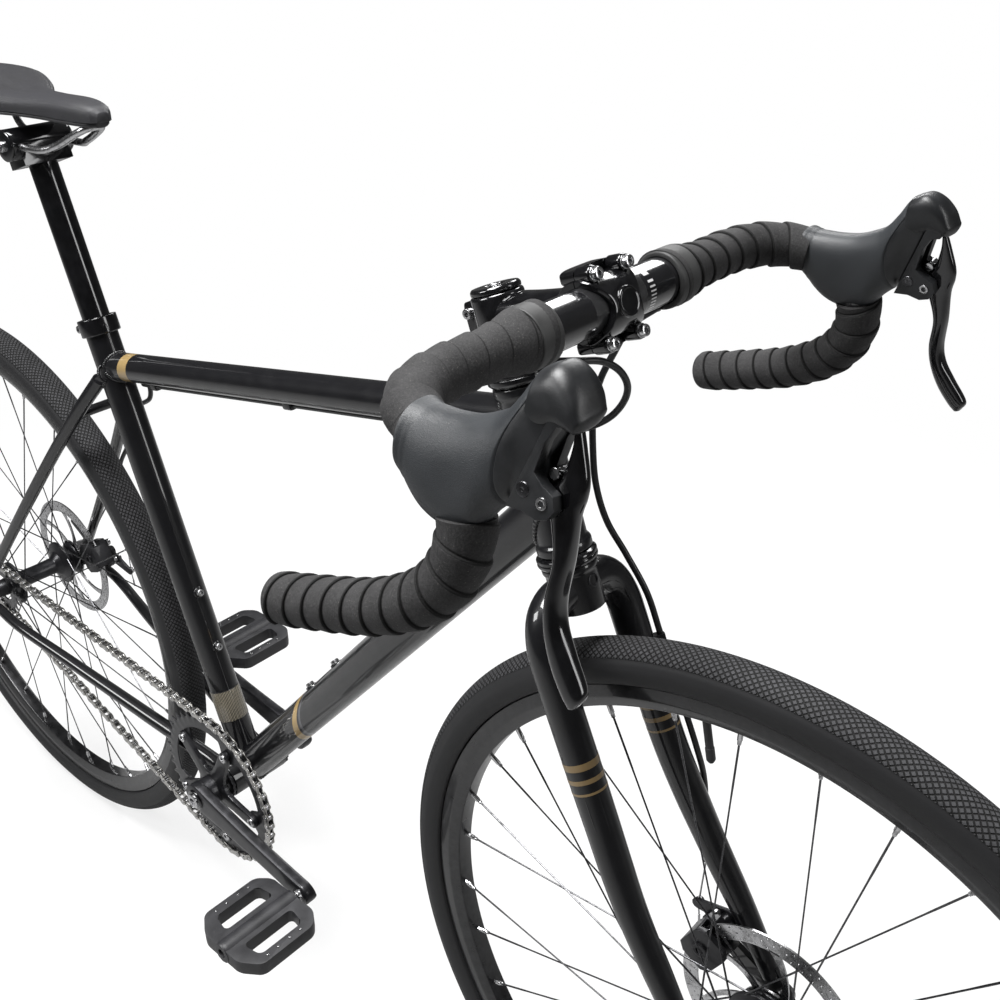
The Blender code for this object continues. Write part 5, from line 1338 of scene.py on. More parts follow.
        for row in range(rows):
            for k in range(tiles):
                skip = (k + row) % 2
                ring = hole * (0.001 if skip else 1.0)
                rings = np.stack([ring, ring * 0.4 + square * 0.6, square])
                middle = np.array([k + 0.5, (row + 0.5) / rows])
                flat = middle + rings * np.array([0.5, 0.5 / rows])
                front, back = bent(flat, half), bent(flat, -half)
                shape.grid(front).grid(back)
                if not skip:
                    shape.grid(np.stack([front[0], back[0]]))
        corner = math.tan(math.pi / 8)
        share = 0.5 + np.array((-1, -corner, 0, corner)) / 2
        a = ((np.arange(tiles)[:, None] + share).ravel()) * 2 * math.pi / tiles
        around = wheelwise(a)
        for r in (outer, inner):
            edge = [plane + r * around + h * LEFT for h in (half, -half)]
            shape.grid(np.stack(edge))
        self.disc_arms(shape, plane, inner, half)
        made = shape.made(f"{self.name}_disc_plate", [STEEL.material(), SATIN.material()], 30)
        placed(made, self.body(), "steel", f"{self.name}_brake_disc")

    def disc_arms(self, shape: Shape, plane: Array, inner: float, half: float) -> None:
        """Add six slanted arms, the hub ring and its bolts.

        An arm's centre line runs from the hub ring to the band while it swings round,
        and its width narrows in the middle.

        Args:
            shape: what the arms are added to.
            plane: the disc's centre.
            inner: the band's inner radius.
            half: half the disc's thickness.
        """
        share = np.linspace(0, 1, 12)
        radius = 0.0215 + (inner + 0.0015 - 0.0215) * share
        width = 0.0046 - 0.0022 * np.sin(math.pi * share)
        for k in range(6):
            middle = math.radians(60 * k) + 0.55 * share
            corners = []
            for sign, high in ((1, half), (-1, half), (-1, -half), (1, -half)):
                a = middle + sign * width / radius
                corners.append(plane + np.stack([radius * np.cos(a), np.full_like(a, high),
                                                  radius * np.sin(a)], -1))
            shape.grid(closed_ends(np.stack(corners, 1), 0, 1))
        ring = [(0.0235, half), (0.0235, -half), (0.0152, -half), (0.0152, half)]
        shape.lathe(np.array(ring), plane, LEFT, 72, True)
        bolt = turned(rounded([(0.0012, 0.0008), (0.0012, 0.0022), (0.0028, 0.0022),
                               (0.0030, 0.0), (0, 0)], 0.0004), np.zeros(3), UP, 14, AHEAD)
        a = turn_angles(6) + 0.2
        places = plane + half * LEFT + 0.0190 * wheelwise(a)
        turn = np.stack([AHEAD, np.cross(LEFT, AHEAD), LEFT], -1)
        shape.copies(bolt, np.tile(turn, (6, 1, 1)), places, slot=1)

    def build(self) -> None:
        """Make the whole wheel."""
        self.tyre()
        self.rim()
        self.laced_hub()
        self.disc()


# ----------------------------------------------------------------------------- frameset
def mitre_line(start: Array, along: Array, radius: float, other: Array, other_axis: Array,
               other_radius: float, count: int = 96) -> Array:
    """Where a round tube's surface first meets another tube's.

    Each line of the tube's surface, start + radius (cos a u + sin a v) + t along, is
    followed back from far out to where its distance to the other axis is the other radius:
    the root of a quadratic in t.

    Args:
        start: a point of the tube's axis inside the other tube.
        along: the tube's direction, away from the other tube.
        radius: the tube's radius.
        other: a point of the other tube's axis.
        other_axis: the other tube's direction.
        other_radius: the other tube's radius.
        count: points round the joint.

    Returns:
        A closed ring of points, without the first one again at the end.
    """
    u, v, w = axes(along, other_axis)
    a = turn_angles(count)
    base = start + radius * (np.cos(a)[:, None] * u + np.sin(a)[:, None] * v)
    axis = unit(other_axis)
    p = base - other
    p = p - (p @ axis)[:, None] * axis
    q = w - w.dot(axis) * axis
    aa, bb, cc = q.dot(q), p @ q, (p * p).sum(1) - other_radius**2
    t = (-bb + np.sqrt(np.maximum(bb**2 - aa * cc, 0))) / aa
    return base + t[:, None] * w


def bead(shape: Shape, ring: Array, radius: float = 0.0017, slot: int = 0) -> None:
    """Add a weld bead: a small round section carried round a joint, with its ripples.

    Args:
        shape: what it is added to.
        ring: the joint's closed line.
        radius: of the bead's section.
        slot: number of the material.
    """
    dense = np.vstack([ring, ring[:1]])
    along = lengths_along(dense)
    at = np.linspace(0, along[-1], 241)[:-1]
    line = np.stack([np.interp(at, along, dense[:, k]) for k in range(3)], 1)
    middle = line.mean(0)
    tangents = unit(np.roll(line, -1, 0) - np.roll(line, 1, 0))
    out = line - middle
    out = unit(out - (out * tangents).sum(1, keepdims=True) * tangents)
    side = np.cross(tangents, out)
    ripple = radius * (1 + 0.10 * np.sin(at / along[-1] * 2 * math.pi * 44))
    a = turn_angles(10)
    grid = line[:, None] + ripple[:, None, None] * (np.cos(a)[None, :, None] * out[:, None]
                                                   + np.sin(a)[None, :, None] * side[:, None])
    shape.grid(grid, (True, True), slot=slot)


def wheelwise(angles: Array) -> Array:
    """Unit vectors across the axles, at angles from straight ahead towards up.

    Args:
        angles: in radians.

    Returns:
        A vector for each angle.
    """
    return np.stack([np.cos(angles), np.zeros_like(angles), np.sin(angles)], -1)


def block(shape: Shape, centre: Array, along: Array, ring: Array, stops: Sequence[float],
          sizes: Sequence[float], slot: int = 0) -> None:
    """Add a closed block: one ring carried along a line and scaled at each stop.

    Args:
        shape: what it is added to.
        centre: the block's middle.
        along: the line's direction.
        ring: points of its section, about nought.
        stops: distances along the line.
        sizes: scale of the ring at each stop.
        slot: number of the material.
    """
    at, size = (np.array(row)[:, None, None] for row in (stops, sizes))
    shape.grid(closed_ends(centre + at * along + size * ring, 0, 1), slot=slot)


def hex_bolt(shape: Shape, place: Array, out: Array, radius: float = 0.0034,
             height: float = 0.0032, slot: int = 0, dome: float = 0.25) -> None:
    """Add a round bolt head with a hexagonal socket.

    The outside is a turned profile; the socket's rows blend a circle into a hexagon.

    Args:
        shape: what it is added to.
        place: the middle of the face that it sits on.
        out: the way that it points.
        radius: of the head.
        height: of the head.
        slot: number of the material.
        dome: share of the height by which its edge falls away.
    """
    x, y, z = axes(out)
    a = turn_angles(36)
    hexagon = math.cos(math.pi / 6) / np.cos((a + math.pi / 6) % (math.pi / 3) - math.pi / 6)
    circle = np.ones_like(a)
    rows = ((radius, 0.0, circle), (radius, height * (1 - dome), circle),
            (radius * 0.93, height * 0.94, circle), (radius * 0.80, height, circle),
            (radius * 0.58, height, hexagon), (radius * 0.54, height * 0.95, hexagon),
            (radius * 0.54, height * 0.35, hexagon), (0.0, height * 0.28, circle))
    around = np.cos(a)[:, None] * x + np.sin(a)[:, None] * y
    grid = np.stack([place + h * z + (r * form)[:, None] * around for r, h, form in rows])
    shape.grid(grid, slot=slot)


@dataclass
class Frameset:
    """The diamond frame: tubes, stays, their welds, guides and small fittings."""

    head_radius: float = 0.0183
    head_bore: float = 0.0170
    top_radius: float = 0.0143
    down_radius: float = 0.0190
    seat_radius: float = 0.0159
    seat_bore: float = 0.0139
    seat_length: float = 0.515
    shell_radius: float = 0.020
    shell_width: float = 0.068
    top_on_seat: float = 0.4655
    top_on_head: float = 0.5141
    down_on_head: float = 0.450
    stay_on_seat: float = 0.456
    stay_radius: float = 0.0066
    chain_stay_radius: float = 0.0080
    dropout: float = 0.006
    rear_width: float = 0.135
    guide_side: float = 0.003
    housing_radius: float = 0.0025
    bosses_down: tuple[float, float] = (0.215, 0.279)
    bosses_seat: tuple[float, float] = (0.150, 0.214)
    collar_wall: float = 0.0032
    skin: float = 0.00015

    def head_tube(self) -> None:
        """Turned head tube with a reinforced rim at each end."""
        r, rim, length = self.head_radius, self.head_radius + 0.0022, PLAN.head_length
        corners = [(rim, length), (rim, length - 0.006), (r, length - 0.009), (r, 0.009),
                   (rim, 0.006), (rim, 0), (self.head_bore, 0), (self.head_bore, length)]
        shape = Shape().lathe(rounded(corners, 0.0012, True), PLAN.steer(PLAN.head_bottom),
                              PLAN.steer_axis, 96, True)
        placed(shape.made("head_tube_skin", [ENAMEL.material()]), "frame", "paint", "head_tube")

    def top_tube(self) -> None:
        """Straight top tube with three rounded guides and a weld at each end."""
        start, end = PLAN.seat(self.top_on_seat), PLAN.steer(self.top_on_head)
        run = unit(end - start)
        shape = Shape()
        a = mitre_line(start, run, self.top_radius, PLAN.bracket, PLAN.seat_axis,
                       self.seat_radius + GAP)
        b = mitre_line(end, -run, self.top_radius, PLAN.steer(0), PLAN.steer_axis,
                       self.head_radius + GAP)
        self.mitred(shape, a, b, run)
        bead(shape, a)
        bead(shape, b, 0.0019)
        under = vec(run[2], 0, -run[0])
        for share in (0.12, 0.50, 0.87):
            centre = lerp(start, end, share) + self.guide_side * LEFT
            centre = centre + (self.top_radius + self.housing_radius) * under
            self.guide(shape, centre, run, under)
        made = shape.made("top_tube_skin", [TOP_ENAMEL.material(), GLOSS.material()])
        placed(made, "frame", "paint", "top_tube")

    def mitred(self, shape: Shape, a: Array, b: Array, run: Array) -> None:
        """Add a tube between two mitre lines whose points run round opposite ways.

        Args:
            shape: what it is added to.
            a: the joint at its start.
            b: the joint at its end.
            run: the tube's direction.
        """
        u, v, _ = axes(run, UP)

        def ordered(ring: Array) -> Array:
            """Sort a joint's points by their angle round the tube.

            Args:
                ring: the points.

            Returns:
                The same points in order.
            """
            middle = ring.mean(0)
            angle = np.arctan2((ring - middle) @ v, (ring - middle) @ u)
            return ring[np.argsort(angle)]

        first, last = ordered(a), ordered(b)
        share = np.linspace(0, 1, 24)[:, None, None]
        rows = first * (1 - share) + last * share
        grid = np.concatenate([np.repeat(first.mean(0)[None, None], len(first), 1), rows,
                               np.repeat(last.mean(0)[None, None], len(last), 1)])
        shape.grid(grid)

    def guide(self, shape: Shape, centre: Array, run: Array, out: Array) -> None:
        """Add a rounded cable guide: a squarish section carried along the tube.

        Args:
            shape: what it is added to.
            centre: the guide's middle.
            run: the tube's direction.
            out: away from the tube.
        """
        c, s = superellipse(28, 3.6)
        side = np.cross(run, out)
        ring = 0.0047 * c[:, None] * side + (0.0052 * s - 0.0004)[:, None] * out
        block(shape, centre, run, ring, (-0.0054, -0.0050, -0.0042, 0.0042, 0.0050, 0.0054),
              (0.80, 0.95, 1.0, 1.0, 0.95, 0.80))

    def down_tube(self) -> None:
        """Straight down tube with two bottle bosses and welds."""
        start, end = PLAN.bracket, PLAN.steer(self.down_on_head)
        run = unit(end - start)
        shape = Shape()
        a = mitre_line(start, run, self.down_radius, start, LEFT, self.shell_radius + GAP)
        b = mitre_line(end, -run, self.down_radius, PLAN.steer(0), PLAN.steer_axis,
                       self.head_radius + GAP)
        self.mitred(shape, a, b, run)
        bead(shape, a, 0.0022)
        bead(shape, b, 0.0020)
        up = vec(-run[2], 0, run[0])
        for along in self.bosses_down:
            self.boss(shape, start + along * run + self.down_radius * up, up)
        made = shape.made("down_tube_skin", [DOWN_ENAMEL.material(), STEEL.material()])
        placed(made, "frame", "paint", "down_tube")

    def boss(self, shape: Shape, place: Array, out: Array) -> None:
        """Add a bottle boss with its screw.

        Args:
            shape: what it is added to.
            place: on the tube's surface.
            out: away from the tube.
        """
        profile = rounded([(0.0060, -0.004), (0.0060, 0.0006), (0.0055, 0.0015), (0, 0.0015)],
                          0.0004)
        shape.lathe(profile, place, out, 32)
        hex_bolt(shape, place + 0.0015 * out, out, 0.0042, 0.0030, 1, 0.6)

    def seat_tube(self) -> None:
        """Seat tube with bosses, a decorative sleeve of fine stripes and its weld."""
        shape = Shape()
        a = mitre_line(PLAN.bracket, PLAN.seat_axis, self.seat_radius, PLAN.bracket, LEFT,
                       self.shell_radius + GAP)
        line = PLAN.bracket + np.linspace(0.0150, self.seat_length, 40)[:, None] * PLAN.seat_axis
        wall = swept(line, self.seat_radius, 64, capped=False)
        bore = swept(line[-2:], self.seat_bore, 64, capped=False)
        foot = np.repeat(line[:1, None], 64, 1)
        shape.grid(np.concatenate([foot, wall, bore[::-1], np.repeat(line[-2:-1, None], 64, 1)]))
        bead(shape, a, 0.0019)
        for up in self.bosses_seat:
            self.boss(shape, PLAN.seat(up, self.seat_radius), PLAN.seat_ahead)
        made = shape.made("seat_tube_skin", [SEAT_ENAMEL.material(), STEEL.material()])
        placed(made, "frame", "paint", "seat_tube")
        self.striped_sleeve()

    def striped_sleeve(self) -> None:
        """A thin band low on the seat tube with fine upright stripes, pale and gold.

        The band's radius rises by a tenth of a millimetre under each stripe, so that its
        outline is a shallow square wave round the tube.
        """
        shape = Shape()
        a = turn_angles(320)
        wave = (np.arange(320) // 5) % 2
        line = PLAN.bracket + np.array((0.062, 0.063, 0.098, 0.099))[:, None] * PLAN.seat_axis
        _, u, v = carried_frames(line, PLAN.seat_ahead)
        ring = np.cos(a)[None, :, None] * u[:, None] + np.sin(a)[None, :, None] * v[:, None]
        lift = np.array((0.0, 0.00035, 0.00035, 0.0))
        radius = self.seat_radius + lift[:, None] + 0.00012 * wave[None] * (lift > 0)[:, None]
        shape.grid(line[:, None] + radius[..., None] * ring)
        made = shape.made("seat_tube_stripes", [Stripes("striped_band").material()], 20)
        placed(made, "frame", "paint")

    def shell(self) -> None:
        """Bottom bracket shell and the two bearing cups with their spanner notches."""
        half = self.shell_width / 2
        corners = [(self.shell_radius, half), (self.shell_radius, -half), (0.0170, -half),
                   (0.0170, half)]
        shape = Shape().lathe(rounded(corners, 0.0008, True), PLAN.bracket, LEFT, 72, True)
        made = shape.made("bottom_bracket_shell_skin", [ENAMEL.material()])
        placed(made, "frame", "paint", "bottom_bracket_shell")
        made = softened("bottom_bracket", "bearing_cups", SATIN.material(), 0.0006)
        placed(made, "frame", "black_alloy", "bottom_bracket")
        cups = Shape()
        a = turn_angles(96)
        around = np.cos(a)[:, None] * AHEAD + np.sin(a)[:, None] * UP
        notch = np.where((np.arange(96) // 3) % 2, 0.0, 0.0009)
        rows = [(0.0192, 0.0004), (0.0195, 0.0010), (0.0195, 0.0040), (0.0180, 0.0044),
                (0.0150, 0.0044), (0.0150, 0.0004)]
        for side in (1, -1):
            rings = []
            for radius, out in rows:
                reach = radius - notch * (radius > 0.019)
                rings.append(PLAN.bracket + side * (half + out) * LEFT + reach[:, None] * around)
            cups.grid(np.stack(rings), (True, True))
        placed(cups.made("notched_cups", [SATIN.material()]), "frame", "black_alloy")

    def stay_line(self, side: int) -> Array:
        """Centre line of a seat stay.

        Args:
            side: 1 on the left and -1 on the right.

        Returns:
            Points from the seat tube to the dropout.
        """
        top, end = self.stay_ends(side)
        rows = [top, lerp(top, end, 0.13) + side * 0.0055 * LEFT,
                lerp(top, end, 0.33) + side * 0.0080 * LEFT,
                lerp(top, end, 0.66) + side * 0.0060 * LEFT, end]
        return smooth_line(rows, 60)

    def stay_ends(self, side: int) -> tuple[Array, Array]:
        """Top and bottom of a seat stay.

        Args:
            side: 1 on the left and -1 on the right.

        Returns:
            The two ends of its centre line.
        """
        plane = self.rear_width / 2 + GAP + self.dropout / 2
        top = PLAN.seat(self.stay_on_seat, -0.004, side * 0.0165)
        return top, PLAN.rear_axle + vec(0.0205, side * (plane - 0.0004), 0.0290)

    def stays(self) -> None:
        """Round stays laid over the solid ones, which keep showing at their dropouts."""
        plane = self.rear_width / 2 + GAP + self.dropout / 2
        for side in BOTH:
            s = side.value
            tip = PLAN.rear_axle + vec(0.030, 0, -0.0055)
            rows = [PLAN.bracket + vec(-0.008, s * 0.0235, 0.001),
                    PLAN.bracket + vec(-0.060, s * 0.0290, 0.009),
                    PLAN.bracket + vec(-0.115, s * 0.0375, 0.020),
                    lerp(PLAN.bracket, PLAN.rear_axle, 0.62) + s * 0.058 * LEFT,
                    tip + vec(0.05, s * (plane - 0.001), -0.008), tip + s * plane * LEFT]
            line = smooth_line(rows, 80)
            share = lengths_along(line) / lengths_along(line)[-1]
            radius = self.chain_stay_radius * np.interp(share, (0, 0.3, 1), (1.05, 1, 0.72))
            keep = np.linalg.norm((line - PLAN.bracket)[:, [0, 2]], axis=1) > 0.0190
            shape = Shape().bar(line[keep], radius[keep] + self.skin, 36)
            made = shape.made(f"chain_stay_tube_{side.word}", [ENAMEL.material()])
            placed(made, "frame", "paint")
            line = self.stay_line(s)
            share = lengths_along(line) / lengths_along(line)[-1]
            radius = self.stay_radius * np.interp(share, (0, 0.2, 0.5, 1), (1.1, 1, 1, 0.85))
            shape = Shape().bar(line, radius + self.skin, 32)
            ring = mitre_line(line[0], unit(line[3] - line[0]), 0.0068, PLAN.bracket,
                              PLAN.seat_axis, self.seat_radius)
            bead(shape, ring, 0.0014)
            if side is Side.LEFT:
                place = lerp(*self.stay_ends(1), 0.14)
                bridge = np.linspace(-1, 1, 8)[:, None] * (place[1] + 0.003) * LEFT
                shape.bar(vec(place[0], 0, place[2]) + bridge, 0.0052, 28)
            made = shape.made(f"seat_stay_tube_{side.word}", [ENAMEL.material()])
            placed(made, "frame", "paint")

    def collar(self) -> None:
        """Clamp ring round the top of the seat tube with its bolt behind."""
        made = softened("seat_collar", "seat_clamp", GLOSS.material(), 0.0009, 3)
        placed(made, "frame", "gloss_black", "seat_collar")
        shape = Shape()
        inner = self.seat_radius + GAP
        corners = [(inner + self.collar_wall + 0.0001, -0.0158), (inner, -0.0158),
                   (inner, 0.0009), (inner + self.collar_wall + 0.0001, 0.0009)]
        shape.lathe(rounded(corners, 0.0010, True), PLAN.seat(self.seat_length), PLAN.seat_axis,
                    72, True)
        middle = PLAN.seat(self.seat_length - 0.0075, -0.0240)
        for side in (1, -1):
            hex_bolt(shape, middle + side * 0.0080 * LEFT, side * LEFT, 0.0040, 0.0035, 1)
        made = shape.made("seat_clamp_band", [GLOSS.material(), STEEL.material()])
        placed(made, "frame", "gloss_black")

    def build(self) -> None:
        """Make the whole frame."""
        self.head_tube()
        self.top_tube()
        self.down_tube()
        self.seat_tube()
        self.shell()
        self.stays()
        self.collar()
        dressed(ENAMEL, "chain_stay_left", "chain_stay_right", "seat_stay_left",
                "seat_stay_right")


@dataclass(frozen=True)
class Stripes(Finish):
    """Fine upright stripes on enamel, generic and evenly spaced."""

    stripes: int = 64

    def mixed(self, recipe: Recipe) -> bpy.types.Material:
        """A stripe covers under half of each period of the second pattern coordinate.

        Args:
            recipe: the empty material.

        Returns:
            The material.
        """
        u, v = recipe.pattern()
        stripe = ((v * float(self.stripes)).repeat(1.0) < 0.42) * (u > 0.3) * (u < 0.7)
        colour = recipe.blend(stripe, (0.012, 0.012, 0.013), (0.34, 0.30, 0.22))
        return recipe.surface_is(Base_Color=colour, Coat_Weight=0.8, Coat_Roughness=0.08,
                                 Roughness=recipe.noise(90, 2).ramp(0.2, 0.8, 0.28, 0.4))


# ------------------------------------------------------------------------ fork and headset
@dataclass
class Fork:
    """Fork, headset cups and cover."""

    spread: float = 0.046
    leg_radius: float = 0.0135
    crown_bottom: float = 0.370
    steerer: float = 0.0143
    hub_width: float = 0.100
    dropout: float = 0.006
    cup_radius: float = 0.0225
    cup_bore: float = 0.0153
    skin: float = 0.00015

    def leg_rows(self, side: int) -> list[Array]:
        """Points of a leg's centre line, from the crown's shoulder to the axle plate.

        Args:
            side: 1 on the left and -1 on the right.

        Returns:
            The points, from the top down.
        """
        seat, spread = PLAN.fork_length, self.spread
        end = self.hub_width / 2 + GAP + self.dropout / 2
        rows = ((seat - 0.0162, 0.000, 0.008), (seat - 0.0177, 0.000, spread - 0.021),
                (seat - 0.0262, 0.000, spread - 0.0085), (seat - 0.0427, 0.0005, spread - 0.0015),
                (seat - 0.0627, 0.0015, spread), (seat - 0.1027, 0.004, spread),
                (0.225, 0.010, spread + 0.001), (0.150, 0.0205, end - 0.002),
                (0.080, 0.036, end), (0.022, 0.0485, end))
        return [PLAN.steer(up, ahead, side * out) for up, ahead, out in rows]

    def leg_scale(self, points: Array) -> Array:
        """Scale of a leg's section at points of its centre line."""
        up = (points - PLAN.steer(0)) @ PLAN.steer_axis
        return np.interp(up, (0.022, 0.10, 0.18, 0.26), (0.60, 0.80, 0.94, 1.0))

    def legs(self) -> None:
        """Round tapering legs and a turned crown laid over the solid fork."""
        shape = Shape()
        for side in (1, -1):
            line = smooth_line(self.leg_rows(side), 110)
            shape.bar(line, self.leg_radius * self.leg_scale(line) + self.skin, 44)
        race = PLAN.fork_length + 0.0023
        corners = [(0, race + 0.0001), (0.0207, race + 0.0001), (0.0207, race - 0.0042),
                   (0.0192, race - 0.0062), (0.0192, self.crown_bottom - 0.0003),
                   (0, self.crown_bottom - 0.0003)]
        shape.lathe(rounded(corners, 0.0014), PLAN.steer(0), PLAN.steer_axis, 80)
        ring = rounded([(0.0036, 0), (0.0050, 0), (0.0050, 0.0016), (0.0036, 0.0016)], 0.0003, True)
        hole = PLAN.steer(PLAN.fork_length - 0.0112, 0.0180)
        shape.lathe(ring, hole, PLAN.steer_ahead, 28, True, 1)
        made = shape.made("fork_tubes", [ENAMEL.material(), SATIN.material()])
        placed(made, "steering", "paint")
        self.bands()

    def bands(self) -> None:
        """Three plain stripes of unequal width round the upper part of both legs."""
        shape = Shape()
        for side in (1, -1):
            line = smooth_line(self.leg_rows(side), 220)
            up = (line - PLAN.steer(0)) @ PLAN.steer_axis
            for low, high in ((0.246, 0.250), (0.255, 0.261), (0.266, 0.274)):
                part = line[(up > low) & (up < high)]
                ends = np.linspace(0, len(part) - 1, 6)
                part = np.stack([np.interp(ends, np.arange(len(part)), part[:, k])
                                 for k in range(3)], 1)
                wall = self.leg_radius * self.leg_scale(part) + self.skin
                ring = swept(part, wall + 0.00012, 44, capped=False)
                inner = swept(part, wall - 0.0003, 44, capped=False)
                shape.grid(np.concatenate([ring, inner[::-1]]), (True, True))
        made = shape.made("fork_stripes", [Enamel("fork_stripe", (0.23, 0.16, 0.075)).material()])
        placed(made, "steering", "paint")

    def headset(self) -> None:
        """Two external cups and the cover with its spacers, turned and rounded."""
        axis, inner = PLAN.steer_axis, self.cup_bore
        low = PLAN.fork_length + 0.0026
        depth = PLAN.head_bottom - GAP - low
        r = self.cup_radius
        lower = [(r - 0.003, depth), (r, depth - 0.002), (r, 0.0050), (r - 0.0006, 0.0046),
                 (r - 0.0006, 0.0042), (r, 0.0038), (r, 0.002), (r - 0.0015, 0), (inner, 0),
                 (inner, depth)]
        upper_low = PLAN.head_top + GAP
        tall = PLAN.upper_stack - 0.0045 - GAP
        upper = [(r - 0.0015, tall), (r, tall - 0.002), (r, tall - 0.0050),
                 (r - 0.0006, tall - 0.0054), (r - 0.0006, tall - 0.0058), (r, tall - 0.0062),
                 (r, 0.003), (r - 0.003, 0), (inner, 0), (inner, tall)]
        cover_low = PLAN.head_top + PLAN.upper_stack - 0.0042
        rise = PLAN.stem_foot - GAP - cover_low
        cover = [(0.0175, rise), (0.0175, rise - 0.0048), (0.0171, rise - 0.0050),
                 (0.0171, rise - 0.0052), (0.0175, rise - 0.0054), (0.0175, 0.0062),
                 (r - 0.0015, 0.0022), (r - 0.0015, 0), (inner, 0), (inner, rise)]
        rows = (("lower_bearing_cup", lower, low, "frame", "headset_lower_cup"),
                ("upper_bearing_cup", upper, upper_low, "frame", "headset_upper_cup"),
                ("cover_and_spacers", cover, cover_low, "steering", "headset_cover_and_spacers"))
        for name, corners, up, body, node in rows:
            shape = Shape().lathe(rounded(corners, 0.0007, True), PLAN.steer(up), axis, 96, True)
            placed(shape.made(name, [GLOSS.material()]), body, "gloss_black", node)

    def build(self) -> None:
        """Make the fork and headset."""
        self.legs()
        self.headset()
        dressed(ENAMEL, "fork")


